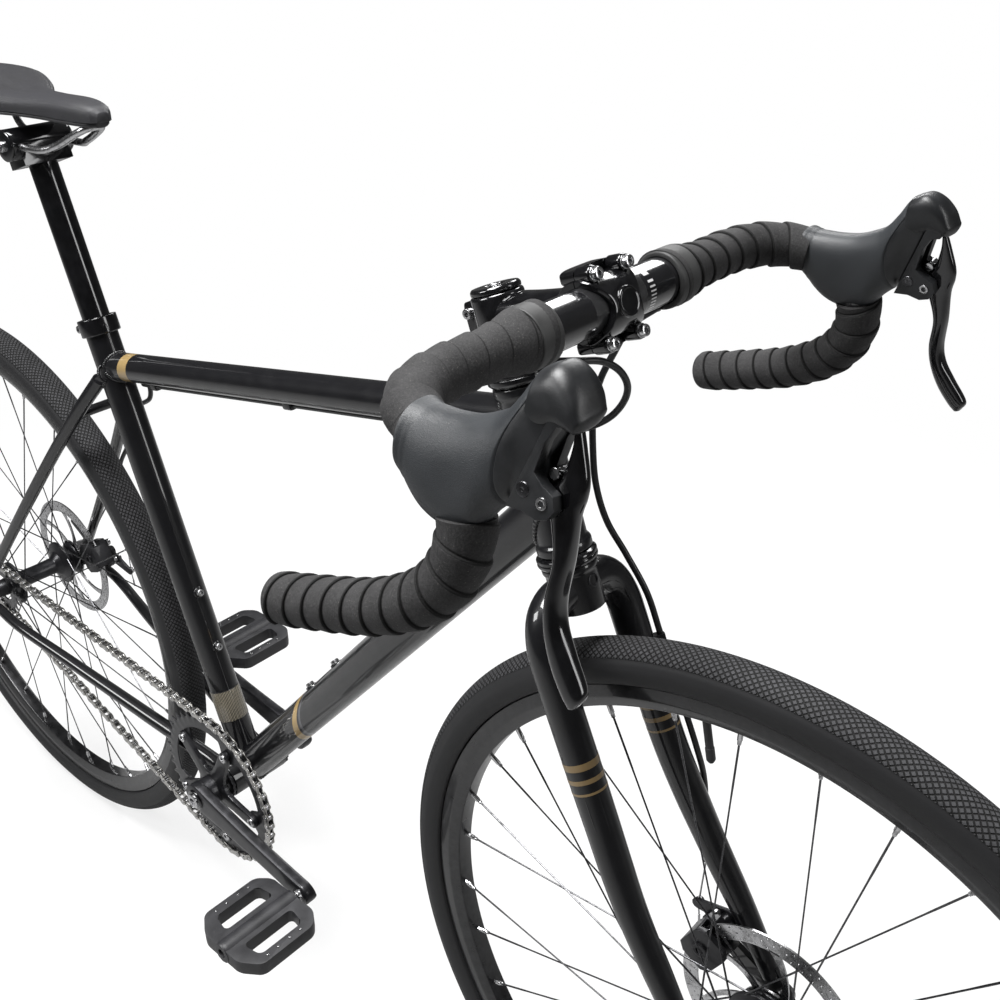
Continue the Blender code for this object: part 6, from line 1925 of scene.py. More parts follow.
# ----------------------------------------------------------------------------- handlebar
@dataclass
class Cockpit:
    """Handlebar, stem and wound tape."""

    bar_radius: float = 0.0159
    grip_radius: float = 0.0119
    straight: float = 0.142
    tape_start: float = 0.0617
    tape: float = 0.0026
    step: float = 0.0014
    top_turns: int = 8
    drop_turns: int = 11
    datum: tuple[float, float] = (0.47487, 0.91170)
    clamp_width: float = 0.044
    post: float = 0.0188
    split: float = 0.0004
    cap_height: float = 0.0045

    def route(self, side: int) -> Array:
        """The bar's centre line, from its middle over the bend and down to its end.

        Args:
            side: 1 on the left and -1 on the right.

        Returns:
            Points close together along the line.
        """
        x, z = self.datum
        out = (0.0, 0.040, 0.075, 0.108, self.straight)
        bends = ((0.5310, 0.9010), (0.5455, 0.8870), (0.5495, 0.8680), (0.5460, 0.8500),
                 (0.5370, 0.8350), (0.5200, 0.8200), (0.4900, 0.8045), (0.4480, 0.7905),
                 (0.4148, 0.7805))
        rows = [PLAN.bar_centre + side * y * LEFT for y in out]
        rows += [PLAN.bike(x + 0.0055, side * 0.1680, z),
                 PLAN.bike(x + 0.0190, side * 0.1865, z - 0.001),
                 PLAN.bike(x + 0.0400, side * 0.1960, z - 0.004)]
        return smooth_line(rows + [PLAN.flared(*place, side) for place in bends], 400)

    def radius_at(self, line: Array) -> Array:
        """The bar's radius, thick in the middle and tapering to the grip.

        Args:
            line: points of its centre line.

        Returns:
            The radius at each of them.
        """
        share = np.clip((abs(line[:, 1]) - 0.075) / 0.033, 0, 1)
        share = share * share * (3 - 2 * share)
        return self.bar_radius + (self.grip_radius - self.bar_radius) * share

    def bar(self) -> None:
        """The bar as one round sweep, with a domed plug in each end."""
        halves = [self.route(side)[::4] for side in (1, -1)]
        line = np.vstack([halves[0][:0:-1], halves[1]])
        shape = Shape().bar(line, self.radius_at(line), 56)
        for half in (self.route(1), self.route(-1)):
            out = unit(half[-1] - half[-4])
            plug = rounded([(0, 0.0046), (0.0085, 0.0042), (0.0142, 0.0026), (0.0150, 0.0008),
                            (0.0150, -0.0002), (0, -0.0002)], 0.0012)
            shape.lathe(plug, half[-1] - 0.0002 * out, out, 48, slot=1)
        made = shape.made("drop_bar", [BAR.material(), NYLON.material()])
        placed(made, "steering", "gloss_black", "handlebar")

    def winding(self, name: str, side: int, start: float, end: float, turns: int,
                node: str) -> None:
        """Tape as one strip wound round the bar, each turn overlapping the last.

        At turn angle p and share w across the strip, a point lies at start + (p / full
        turn + w) pitch along the bar, and its height is the tape's thickness plus the
        step times a profile of w: a round edge, then a gentle fall to the next edge. The
        first and last turns show only the part between the two square ends.

        Args:
            name: the piece's name.
            side: 1 on the left and -1 on the right.
            start: distance along the bar of the first end.
            end: distance of the last end.
            turns: how many times the strip goes round.
            node: the solid that it replaces.
        """
        route = self.route(side)
        along = lengths_along(route)
        _, u, v = carried_frames(route, UP)
        radii = self.radius_at(route)
        around = 40
        phase = np.arange(-around, turns * around + 1) / around
        low, high = np.clip(-phase, 0, 1), np.clip(turns - phase, 0, 1)
        table = np.array(((0.0, 0.0), (0.004, 0.42), (0.014, 0.78), (0.035, 0.98), (0.075, 1.10),
                          (0.15, 1.08), (0.35, 0.86), (0.55, 0.62), (0.75, 0.38), (0.90, 0.16),
                          (0.97, 0.05), (1.0, 0.0)))
        share = low[:, None] + (high - low)[:, None] * table[None, :, 0]
        height = self.tape + GAP + self.step * np.interp(share, table[:, 0], table[:, 1])
        wobble = 0.00025 * np.sin(phase * 2.7 + 1.3 * side) + 0.00018 * np.sin(phase * 7.9)
        pitch = (end - start) / turns
        at = np.clip(start + (phase[:, None] + share) * pitch, start, end)
        clipped_start, clipped_end = phase < 0, phase >= turns - 1 + 1e-9
        height[clipped_start, 0] = 0.0001
        last = np.where(clipped_end, 0.0001, height[:, -1])[:, None]
        height = np.concatenate([height, last], 1)
        at = np.concatenate([at, at[:, -1:]], 1)
        inside = (height > 0.002) & (at > start + 1e-6) & (at < end - 1e-6)
        shift = np.zeros_like(at)
        shift[:, 1:-1] = (wobble[:, None] * inside[:, 1:-1])
        a = 2 * math.pi * phase * side
        pick = [np.interp(at, along, values) for values in
                (*route.T, *u.T, *v.T, radii)]
        place, first, second = (np.stack(pick[k:k + 3], -1) for k in (0, 3, 6))
        ring = np.cos(a)[:, None, None] * unit(first) + np.sin(a)[:, None, None] * unit(second)
        grid = place + (pick[9] + height)[..., None] * ring
        uv = np.stack([np.broadcast_to(phase[:, None], at.shape),
                       np.concatenate([share, share[:, -1:]], 1)], -1)
        shape = Shape().grid(grid, (False, False), uv)
        stations = np.linspace(start, end, 60)
        pick = [np.interp(stations, along, values) for values in (*route.T, *u.T, *v.T, radii)]
        place, first, second = (np.stack(pick[k:k + 3], -1) for k in (0, 3, 6))
        a = turn_angles(around) * side
        ring = (np.cos(a)[None, :, None] * unit(first)[:, None]
                + np.sin(a)[None, :, None] * unit(second)[:, None])
        bore = place[:, None] + (pick[9] + 0.0001)[:, None, None] * ring
        shape.grid(bore)
        made = shape.made(name, [FOAM.material()], 50)
        placed(made, "steering", "foam_tape", node)

    def tapes(self) -> None:
        """Four lengths of tape and the two collars that hold their inner ends."""
        for side in BOTH:
            s = side.value
            route = self.route(s)
            along = lengths_along(route)
            ahead, height = route[:, 0] - PLAN.bracket[0], route[:, 2]
            top = int(np.argmax(ahead > 0.530))
            rear = float(np.interp(0.5115, ahead[:top + 1], along[:top + 1]))
            bottom = int(np.argmax(height < 0.840))
            under = float(np.interp(-0.8760, -height[top:bottom + 1], along[top:bottom + 1]))
            self.winding(f"wound_tape_top_{side.word}", s, self.tape_start, rear,
                         self.top_turns, f"bar_tape_top_{side.word}")
            self.winding(f"wound_tape_drop_{side.word}", s, under, float(along[-1]) - 0.0006,
                         self.drop_turns, f"bar_tape_drop_{side.word}")
            self.collar(side)

    def collar(self, side: Side) -> None:
        """A smooth finishing band over the inner end of the tape.

        Args:
            side: which half of the bar.
        """
        start = PLAN.bar_centre + side.value * self.tape_start * LEFT
        r = self.bar_radius + GAP + self.tape
        corners = [(self.bar_radius + 0.0001, -0.0006), (r + 0.0002, -0.0006),
                   (r + 0.0010, 0.0008), (r + 0.0013, 0.0100), (r + 0.0012, 0.0180),
                   (r + 0.0008, 0.0190), (self.bar_radius + 0.0001, 0.0190)]
        shape = Shape().lathe(rounded(corners, 0.0008, True), start, side.value * LEFT, 72, True)
        placed(shape.made(f"finishing_collar_{side.word}", [WRAP.material()]), "steering",
               "foam_tape")

    def stem(self) -> None:
        """Clamp, extension and four-bolt faceplate, as rounded overlapping shells."""
        ahead, up = PLAN.steer_ahead, PLAN.steer_axis
        metal = [GLOSS.material(), STEEL.material(), SATIN.material()]
        shape = Shape()
        height = PLAN.stem_height
        clamp = rounded([(0, 0.0), (self.post, 0.0), (self.post, height), (0, height)], 0.0028)
        shape.lathe(clamp, PLAN.steer(PLAN.stem_foot), up, 72)
        middle = (PLAN.stem_foot + PLAN.stem_top) / 2
        rows = smooth_line([vec(middle, 0.002, 0.0172), vec(middle, 0.020, 0.0160),
                            vec(middle - 0.0003, 0.040, 0.0144), vec(PLAN.bar_up, 0.066, 0.0142),
                            vec(PLAN.bar_up, PLAN.stem_reach - 0.004, 0.0158)], 40)
        c, s = superellipse(56, 2.5)
        rings = np.stack([PLAN.steer(a, b) + r * (c[:, None] * up + s[:, None] * LEFT)
                          for a, b, r in rows])
        shape.grid(closed_ends(rings, 0, 1))
        outer, half = self.bar_radius + 0.0050, self.clamp_width / 2
        self.half_clamp(shape, outer, half, -1)
        for way in (1, -1):
            self.lug(shape, way, -0.0120, 0.0008, half - 0.001)
        rear = PLAN.steer(middle, -0.0212)
        for side in (1, -1):
            ring_c, ring_s = superellipse(32, 4.5)
            ring = 0.0062 * ring_c[:, None] * ahead + 0.0158 * ring_s[:, None] * up
            stops = [side * at for at in (0.0010, 0.0016, 0.0074, 0.0080)]
            block(shape, rear, LEFT, ring, stops, (0.92, 1.0, 1.0, 0.92))
        for high in (0.0080, -0.0080):
            hex_bolt(shape, rear + high * up - 0.0080 * LEFT - 0.0010 * ahead, -LEFT, 0.0039,
                     0.0040, 1)
        placed(shape.made("stem_body", metal), "steering", "gloss_black", "stem")
        self.faceplate(outer, half, metal)

    def half_clamp(self, shape: Shape, outer: float, half: float, way: int) -> None:
        """Add one half of the split ring round the bar.

        The section runs round the outside, back along the bore and closes; across the
        width its outside falls away at both edges.

        Args:
            shape: what it is added to.
            outer: outside radius.
            half: half of the width.
            way: 1 for the front half and -1 for the rear.
        """
        gap = math.asin(self.split / outer)
        a = np.linspace(gap, math.pi - gap, 48)
        across = np.array((-1, -0.96, -0.90, 0.90, 0.96, 1))[:, None] * (
            half - 0.0085 * (way > 0) * np.sin(a)**3)
        fall = np.array((0.0012, 0.0003, 0, 0, 0.0003, 0.0012))
        up, ahead = PLAN.steer_axis, PLAN.steer_ahead
        ring = np.cos(a)[:, None] * up + way * np.sin(a)[:, None] * ahead
        outside = (PLAN.bar_centre + across[..., None] * LEFT
                   + (outer - fall)[:, None, None] * ring)
        inside = PLAN.bar_centre + across[..., None] * LEFT + (self.bar_radius + 0.0002) * ring
        shape.grid(np.concatenate([outside, inside[::-1]], 1), (False, True))
        for k in (0, -1):
            shape.grid(np.stack([outside[k], inside[k]]), (False, False))

    def lug(self, shape: Shape, way: int, start: float, end: float, half: float) -> None:
        """Add a bolt lug above or below the bar clamp's rear half.

        Args:
            shape: what it is added to.
            way: 1 above and -1 below.
            start: its rear, ahead of the bar's centre.
            end: its front.
            half: half of its width.
        """
        c, s = superellipse(40, 4.0)
        centre = PLAN.bar_centre + way * (self.bar_radius + 0.0063) * PLAN.steer_axis
        ring = half * c[:, None] * LEFT + 0.0051 * s[:, None] * PLAN.steer_axis
        block(shape, centre, PLAN.steer_ahead, ring,
              (start, start + 0.0010, end - 0.0006, end - 0.0008), (0.90, 1.0, 1.0, 0.97))

    def faceplate(self, outer: float, half: float, metal: list[bpy.types.Material]) -> None:
        """Front half of the bar clamp with four eared bolts and a plain round boss.

        Args:
            outer: outside radius of the clamp.
            half: half of its width.
            metal: the stem's materials.
        """
        ahead, up = PLAN.steer_ahead, PLAN.steer_axis
        shape = Shape()
        self.half_clamp(shape, outer, half, 1)
        ear = rounded([(0, self.split), (0.0056, self.split), (0.0056, 0.0110), (0.0050, 0.0124),
                       (0, 0.0124)], 0.0008)
        for way in (1, -1):
            for side in (1, -1):
                centre = (PLAN.bar_centre + way * (self.bar_radius + 0.0063) * up
                          + side * 0.0155 * LEFT)
                shape.lathe(ear, centre, ahead, 36)
                washer = rounded([(0, 0.0124), (0.0049, 0.0124), (0.0049, 0.0134), (0, 0.0134)],
                                 0.0003)
                shape.lathe(washer, centre, ahead, 36, slot=1)
                hex_bolt(shape, centre + 0.0132 * ahead, ahead, 0.0041, 0.0038, 1)
        boss = rounded([(0, 0.0180), (0.0100, 0.0180), (0.0100, 0.0216), (0.0088, 0.0224),
                        (0.0076, 0.0219), (0, 0.0217)], 0.0005)
        shape.lathe(boss, PLAN.bar_centre, ahead, 56)
        placed(shape.made("bar_clamp_plate", metal), "steering", "gloss_black", "stem_faceplate")

    def top_cap(self) -> None:
        """Flat turned cap on the steerer with its bolt."""
        foot = PLAN.steer(PLAN.stem_top + GAP)
        cap = rounded([(0, 0), (0.0178, 0), (0.0178, self.cap_height - 0.0018),
                       (0.0165, self.cap_height), (0.0072, self.cap_height),
                       (0.0066, self.cap_height - 0.0012), (0, self.cap_height - 0.0012)], 0.0007)
        shape = Shape().lathe(cap, foot, PLAN.steer_axis, 72)
        hex_bolt(shape, foot + (self.cap_height - 0.0012) * PLAN.steer_axis, PLAN.steer_axis,
                 0.0048, 0.0022, 1)
        made = shape.made("steerer_cap", [GLOSS.material(), STEEL.material()])
        placed(made, "steering", "gloss_black", "stem_top_cap")

    def build(self) -> None:
        """Make bar, tape and stem."""
        self.bar()
        self.tapes()
        self.stem()
        self.top_cap()


# ------------------------------------------------------------------------------ controls
@dataclass
class Controls:
    """Rubber hood, lever body and blade on one side of the bar."""

    side: Side
    pivot_xz: tuple[float, float] = (0.6012, 0.9012)
    hood_sections: tuple[tuple[float, ...], ...] = (
        (0.5105, 0.8920, 0.5105, 0.9232, 0.0158), (0.5180, 0.8800, 0.5220, 0.9235, 0.0162),
        (0.5290, 0.8720, 0.5340, 0.9240, 0.0168), (0.5450, 0.8690, 0.5480, 0.9262, 0.0170),
        (0.5580, 0.8735, 0.5600, 0.9310, 0.0165), (0.5670, 0.8835, 0.5695, 0.9365, 0.0156),
        (0.5735, 0.8895, 0.5780, 0.9470, 0.0148), (0.5775, 0.8925, 0.5855, 0.9580, 0.0140),
        (0.5785, 0.8935, 0.5950, 0.9628, 0.0130), (0.5795, 0.8942, 0.6035, 0.9545, 0.0120))
    blade_sections: tuple[tuple[float, ...], ...] = (
        (0.6068, 0.9355, 0.6098, 0.9362, 0.0026), (0.6065, 0.9260, 0.6130, 0.9270, 0.0034),
        (0.6030, 0.9130, 0.6170, 0.9140, 0.0042), (0.5960, 0.9020, 0.6172, 0.9060, 0.0046),
        (0.6010, 0.8900, 0.6151, 0.8960, 0.0049), (0.6055, 0.8740, 0.6146, 0.8760, 0.0059),
        (0.6040, 0.8550, 0.6130, 0.8550, 0.0064), (0.6060, 0.8400, 0.6155, 0.8425, 0.0064),
        (0.6120, 0.8245, 0.6228, 0.8305, 0.0060), (0.6205, 0.8120, 0.6325, 0.8155, 0.0054),
        (0.6255, 0.8072, 0.6300, 0.8085, 0.0040))
    nose_sections: tuple[tuple[float, ...], ...] = (
        (0.5840, 0.9300, 0.5875, 0.9600, 0.0126), (0.5920, 0.9330, 0.5962, 0.9636, 0.0133),
        (0.5990, 0.9368, 0.6044, 0.9606, 0.0132), (0.6055, 0.9370, 0.6110, 0.9535, 0.0128),
        (0.6100, 0.9368, 0.6144, 0.9455, 0.0118))

    @property
    def axis(self) -> Array:
        """The lever's pivot line."""
        return unit(vec(0, 1, self.side.value * PLAN.flare))

    def lofted(self, rows: Array, count: int, power: float) -> Array:
        """Rings through sections given by their lower and upper points and half width.

        Args:
            rows: lower x and z, upper x and z, and half width of each section.
            count: points round a ring.
            power: of the superellipse; larger is squarer.

        Returns:
            A grid of rings.
        """
        c, s = superellipse(count, power)
        sign = self.side.value
        low = np.stack([PLAN.flared(a, b, sign) for a, b in rows[:, :2]])
        high = np.stack([PLAN.flared(a, b, sign) for a, b in rows[:, 2:4]])
        middle, rise = (low + high) / 2, (high - low) / 2
        return (middle[:, None] + c[None, :, None] * rise[:, None]
                + (s[None] * rows[:, 4:5])[..., None] * LEFT)

    def hood(self) -> None:
        """Moulded hood with thumb hollows, a bead at its rear edge and a lip in front.

        The sections' rings are scaled about their middles by factors of the share along:
        a small swelling at each end, and a shallow waist where a hand rests.
        """
        rows = smooth_line(self.hood_sections, 110)
        share = np.linspace(0, 1, len(rows))
        rings = self.lofted(rows, 80, 2.35)
        middle = rings.mean(1, keepdims=True)
        a = turn_angles(80)
        lip = 0.11 * np.exp(-(share / 0.045)**2) + 0.02 * np.exp(-((share - 0.06) / 0.012)**2)
        hollow = np.exp(-((share - 0.40) / 0.15)**2)[:, None] * (abs(np.sin(a)) ** 5)[None]
        scale = 1 + lip[:, None] - 0.085 * hollow
        rings = middle + (rings - middle) * scale[..., None]
        rings, seam = self.seamed(rings)
        shape = Shape()
        shape.grid(closed_ends(rings[:seam + 1], 0.0012, 6)[:-6])
        shape.grid(closed_ends(rings[seam:], 0.0030, 8)[8:], slot=1)
        made = shape.made(f"rubber_hood_{self.side.word}", [HOOD.material(), SHELL.material()], 50)
        placed(made, "steering", "hood_rubber", f"hood_{self.side.word}")

    def seamed(self, rings: Array) -> tuple[Array, int]:
        """Slide the rings so that one lies on the seam, and sink it a little.

        In side view the seam is a parabola about the height z = 0.912, ahead of which it
        leans further forwards above that height than below it. Each column of points is
        spread anew on both sides of where it crosses the seam.

        Args:
            rings: the hood's sections.

        Returns:
            The moved sections and the number of the one on the seam.
        """
        count = len(rings)
        seam = int(count * 0.66)
        x, z = rings[..., 0] - PLAN.bracket[0], rings[..., 2]
        rise = (z - 0.912) / np.where(z > 0.912, 0.045, 0.024)
        past = x - (0.5725 + np.where(z > 0.912, 0.0215, 0.0060) * rise**2)
        moved = np.empty_like(rings)
        rows = np.arange(count, dtype=float)
        for k in range(rings.shape[1]):
            crossing = float(np.interp(0.0, past[:, k], rows)) if past[-1, k] > 0 else count - 6.0
            crossing = min(max(crossing, 20.0), count - 6.0)
            at = np.concatenate([np.linspace(0, crossing, seam + 1),
                                 np.linspace(crossing, count - 1, count - seam)[1:]])
            moved[:, k] = np.stack([np.interp(at, rows, rings[:, k, n]) for n in range(3)], 1)
        middle = moved.mean(1, keepdims=True)
        groove = 0.065 * np.exp(-((rows - seam) / 0.75)**2)
        front = 0.018 * (rows > seam)
        scale = 1 - (groove + front)[:, None, None]
        return middle + (moved - middle) * scale, seam

    def body(self) -> None:
        """Lever body with rounded edges, its pivot pin and a setting screw."""
        word = self.side.word
        made = softened(f"lever_body_{word}", f"lever_bracket_{word}", SHELL.material(), 0.0034, 5)
        placed(made, "steering", "black_plastic", f"lever_body_{word}")
        self.brow()
        shape = Shape()
        pivot = PLAN.flared(*self.pivot_xz, self.side.value)
        for way in (1, -1):
            hex_bolt(shape, pivot + way * 0.0113 * self.axis, way * self.axis, 0.0032, 0.0010, 0,
                     0.5)
            spot = PLAN.flared(0.5895, 0.9045, self.side.value) + way * 0.0113 * self.axis
            shape.lathe(rounded([(0, 0), (0.0040, 0), (0.0036, 0.0007), (0.0012, 0.0008),
                                 (0, 0.0004)], 0.0002), spot, way * self.axis, 28, slot=1)
        made = shape.made(f"pivot_pin_{word}", [STEEL.material(), DARK_STEEL.material()])
        placed(made, "steering", "steel")

    def brow(self) -> None:
        """A rounded nose over the top of the blade, through its own sections."""
        rows = smooth_line(self.nose_sections, 40)
        rings = self.lofted(rows, 64, 2.9)
        shape = Shape().grid(closed_ends(rings, 0.0030, 8))
        made = shape.made(f"lever_nose_{self.side.word}", [SHELL.material()], 60)
        placed(made, "steering", "black_plastic")

    def blade(self) -> None:
        """Curved blade through its own sections, and the cable barrel in its top."""
        rows = smooth_line(self.blade_sections, 90)
        rings = self.lofted(rows, 40, 2.7)
        shape = Shape().grid(closed_ends(rings, 0.0006, 5))
        word = self.side.word
        made = shape.made(f"lever_blade_{word}", [GLOSS.material()], 60)
        placed(made, f"lever_{word}", "gloss_black", f"brake_lever_{word}")
        shape = Shape()
        centre = PLAN.flared(0.6005, 0.9140, self.side.value)
        barrel = rounded([(0, -0.0047), (0.0030, -0.0047), (0.0030, 0.0047), (0, 0.0047)], 0.0005)
        shape.lathe(barrel, centre, self.axis, 28)
        made = shape.made(f"cable_barrel_{word}", [STEEL.material()])
        placed(made, f"lever_{word}", "steel")

    def build(self) -> None:
        """Make hood, body and blade."""
        self.hood()
        self.body()
        self.blade()


# ------------------------------------------------------------------------------ housings
@dataclass
class Housings:
    """Brake housings with their end ferrules and the bare wires to both brakes."""

    radius: float = 0.0025
    bar_radius: float = 0.0159
    tape_start: float = 0.0617
    loop_end: float = 0.90
    leg_radius: float = 0.0135

    def guide(self, share: float, frame: Frameset) -> Array:
        """A point of the rear housing under the top tube.

        Args:
            share: of the way from the seat tube to the head tube.
            frame: the frame, for the top tube's ends and radius.

        Returns:
            The point.
        """
        start, end = PLAN.seat(frame.top_on_seat), PLAN.steer(frame.top_on_head)
        run = unit(end - start)
        drop = frame.top_radius + self.radius + 2 * GAP
        return lerp(start, end, share) + drop * vec(run[2], 0, -run[0]) + frame.guide_side * LEFT

    def rear(self, frame: Frameset, brake: Brake) -> None:
        """The loop from the bar to the top tube, and the run to the rear brake.

        Args:
            frame: the frame that it runs along.
            brake: the rear brake, where it ends.
        """
        start, end = PLAN.seat(frame.top_on_seat), PLAN.steer(frame.top_on_head)
        run = unit(end - start)
        under = -(self.bar_radius + self.radius + GAP)
        first = PLAN.bar_centre + vec(0, -self.tape_start + 2 * GAP, under)
        last = self.guide(self.loop_end, frame) + 0.0006 * run
        places = ((0.4700, -0.0440, 0.8865), (0.4695, -0.0200, 0.8790), (0.4740, 0.0010, 0.8735),
                  (0.4780, 0.0150, 0.8640), (0.4780, 0.0250, 0.8500), (0.4720, 0.0300, 0.8350),
                  (0.4600, 0.0315, 0.8195), (0.4440, 0.0290, 0.8080), (0.4240, 0.0265, 0.7990),
                  (0.4020, 0.0180, 0.7930))
        line = [first, first + 0.006 * LEFT, *(PLAN.bike(*p) for p in places),
                last + 0.008 * run, last]
        loop = Shape().bar(smooth_line(line, 170), self.radius, 20)
        self.ferrule(loop, last + 0.0012 * run, run, 0.0110)
        made = loop.made("rear_housing_loop", [JACKET.material(), SATIN.material()])
        placed(made, "steering", "housing", "rear_brake_housing_loop")

        line = [self.guide(s, frame) for s in (self.loop_end, 0.80, 0.5, 0.2, 0.085)]
        line += [PLAN.seat(frame.top_on_seat - 0.0285, 0.012, 0.0250),
                 PLAN.seat(frame.top_on_seat - 0.0455, -0.012, 0.0330)]
        top, foot = frame.stay_ends(1)
        for share, out in ((0.20, 0.0185), (0.38, 0.0200), (0.54, 0.0170)):
            line.append(lerp(top, foot, share) + vec(0.004, out, -0.004))
        line += [PLAN.rear_axle + vec(0.120, 0.0765, 0.100),
                 brake.arm_pivot + vec(0.034, 0.001, 0.042)]
        route = smooth_line(line, 260)
        run_on = Shape().bar(route, self.radius, 20)
        self.ferrule(run_on, route[-1], unit(route[-2] - route[-1]), 0.0120)
        self.wire(run_on, route[-1], brake)
        for share in (0.30, 0.62):
            self.tie(run_on, lerp(top, foot, share), route, frame)
        made = run_on.made("rear_housing", [JACKET.material(), SATIN.material(), STEEL.material()])
        placed(made, "frame", "housing", "rear_brake_housing")

    def tie(self, shape: Shape, stay: Array, route: Array, frame: Frameset) -> None:
        """Add a clip that holds the housing beside the seat stay.

        Args:
            shape: what it is added to.
            stay: a point of the stay's centre line.
            route: the housing's centre line.
            frame: the frame, for the stay's radius.
        """
        k = int(np.argmin(np.linalg.norm(route - stay, axis=1)))
        bow = frame.stay_line(1)
        middle = bow[int(np.argmin(np.linalg.norm(bow - route[k], axis=1)))]
        run = unit(route[k + 1] - route[k - 1])
        way = route[k] - middle
        way = unit(way - way.dot(run) * run)
        c, s = superellipse(36, 2.6)
        half = float(np.linalg.norm(route[k] - middle)) / 2
        ring = ((half + 0.0036) * c[:, None] * way
                + 0.0040 * s[:, None] * np.cross(run, way))
        block(shape, (route[k] + middle) / 2, run, ring, (-0.0030, -0.0026, 0.0026, 0.0030),
              (0.92, 1.0, 1.0, 0.92), 1)

    def ferrule(self, shape: Shape, end: Array, inward: Array, length: float) -> None:
        """Add the metal cap over a housing's end.

        Args:
            shape: what it is added to.
            end: the housing's end point.
            inward: direction from there along the housing.
            length: of the cap.
        """
        profile = rounded([(0.0010, -0.0012), (0.0020, -0.0012), (0.0024, 0.0), (0.0031, 0.0004),
                           (0.0031, length), (0.0025, length)], 0.0004)
        shape.lathe(profile, end, inward, 28, slot=1)

    def wire(self, shape: Shape, start: Array, brake: Brake) -> None:
        """Add the bare wire from the housing's end through the arm's bolt, and its tail.

        Args:
            shape: what it is added to.
            start: the housing's end point.
            brake: the brake whose arm holds the wire.
        """
        anchor = brake.arm_tip + 0.0022 * LEFT
        tail = anchor + unit(anchor - start) * 0.016 + 0.002 * AHEAD
        shape.bar(smooth_line([start, anchor, tail], 24), 0.0008, 10, AHEAD, slot=2)
        cap = rounded([(0, 0), (0.0011, 0), (0.0011, 0.009), (0, 0.0094)], 0.0002)
        shape.lathe(cap, tail - unit(tail - anchor) * 0.001, unit(tail - anchor), 12, slot=2)

    def front(self, fork: Fork, brake: Brake) -> None:
        """The front housing, past the head tube and down the left leg with its clips.

        Args:
            fork: the fork that it runs down.
            brake: the front brake, where it ends.
        """
        under = -(self.bar_radius + self.radius + GAP)
        start = PLAN.bar_centre + vec(0, self.tape_start - 2 * GAP, under)
        places = ((0.4590, 0.0520, 0.8790), (0.4480, 0.0500, 0.8580), (0.4410, 0.0440, 0.8370),
                  (0.4390, 0.0400, 0.8150), (0.4410, 0.0375, 0.7900), (0.4450, 0.0370, 0.7600),
                  (0.4520, 0.0420, 0.7300), (0.4640, 0.0510, 0.7020), (0.4800, 0.0570, 0.6720))
        line = [start, start - 0.006 * LEFT, *(PLAN.bike(*p) for p in places)]
        leg = fork.leg_rows(1)
        ahead = unit(PLAN.steer_ahead + LEFT)
        behind = unit(LEFT - 1.3 * PLAN.steer_ahead)
        stops = ((lerp(leg[4], leg[5], 0.4), ahead), (leg[5], ahead), (leg[6], ahead),
                 (lerp(leg[6], leg[7], 0.55), LEFT), (lerp(leg[7], leg[8], 0.1), behind))
        for place, way in stops:
            scale = float(fork.leg_scale(place[None])[0])
            line.append(place + (self.leg_radius * scale + self.radius + 0.0026) * way)
        line.append(brake.arm_pivot + vec(-0.026, 0.001, 0.046))
        route = smooth_line(line, 280)
        shape = Shape().bar(route, self.radius, 20)
        self.ferrule(shape, route[-1], unit(route[-2] - route[-1]), 0.0120)
        self.wire(shape, route[-1], brake)
        up = (route - PLAN.steer(0)) @ PLAN.steer_axis
        for height in (PLAN.fork_length - 0.0877, 0.150):
            k = int(np.argmin(abs(up - height) + (np.arange(len(route)) < 90)))
            run = unit(route[k + 1] - route[k - 1])
            out = unit(ahead - ahead.dot(run) * run)
            c, s = superellipse(32, 4.0)
            ring = 0.0046 * c[:, None] * out + 0.0045 * s[:, None] * np.cross(run, out)
            block(shape, route[k] - 0.0012 * out, run, ring, (-0.0048, -0.0042, 0.0042, 0.0048),
                  (0.90, 1.0, 1.0, 0.90), 3)
        made = shape.made("front_housing", [JACKET.material(), SATIN.material(),
                                            STEEL.material(), ENAMEL.material()])
        placed(made, "steering", "housing", "front_brake_housing")


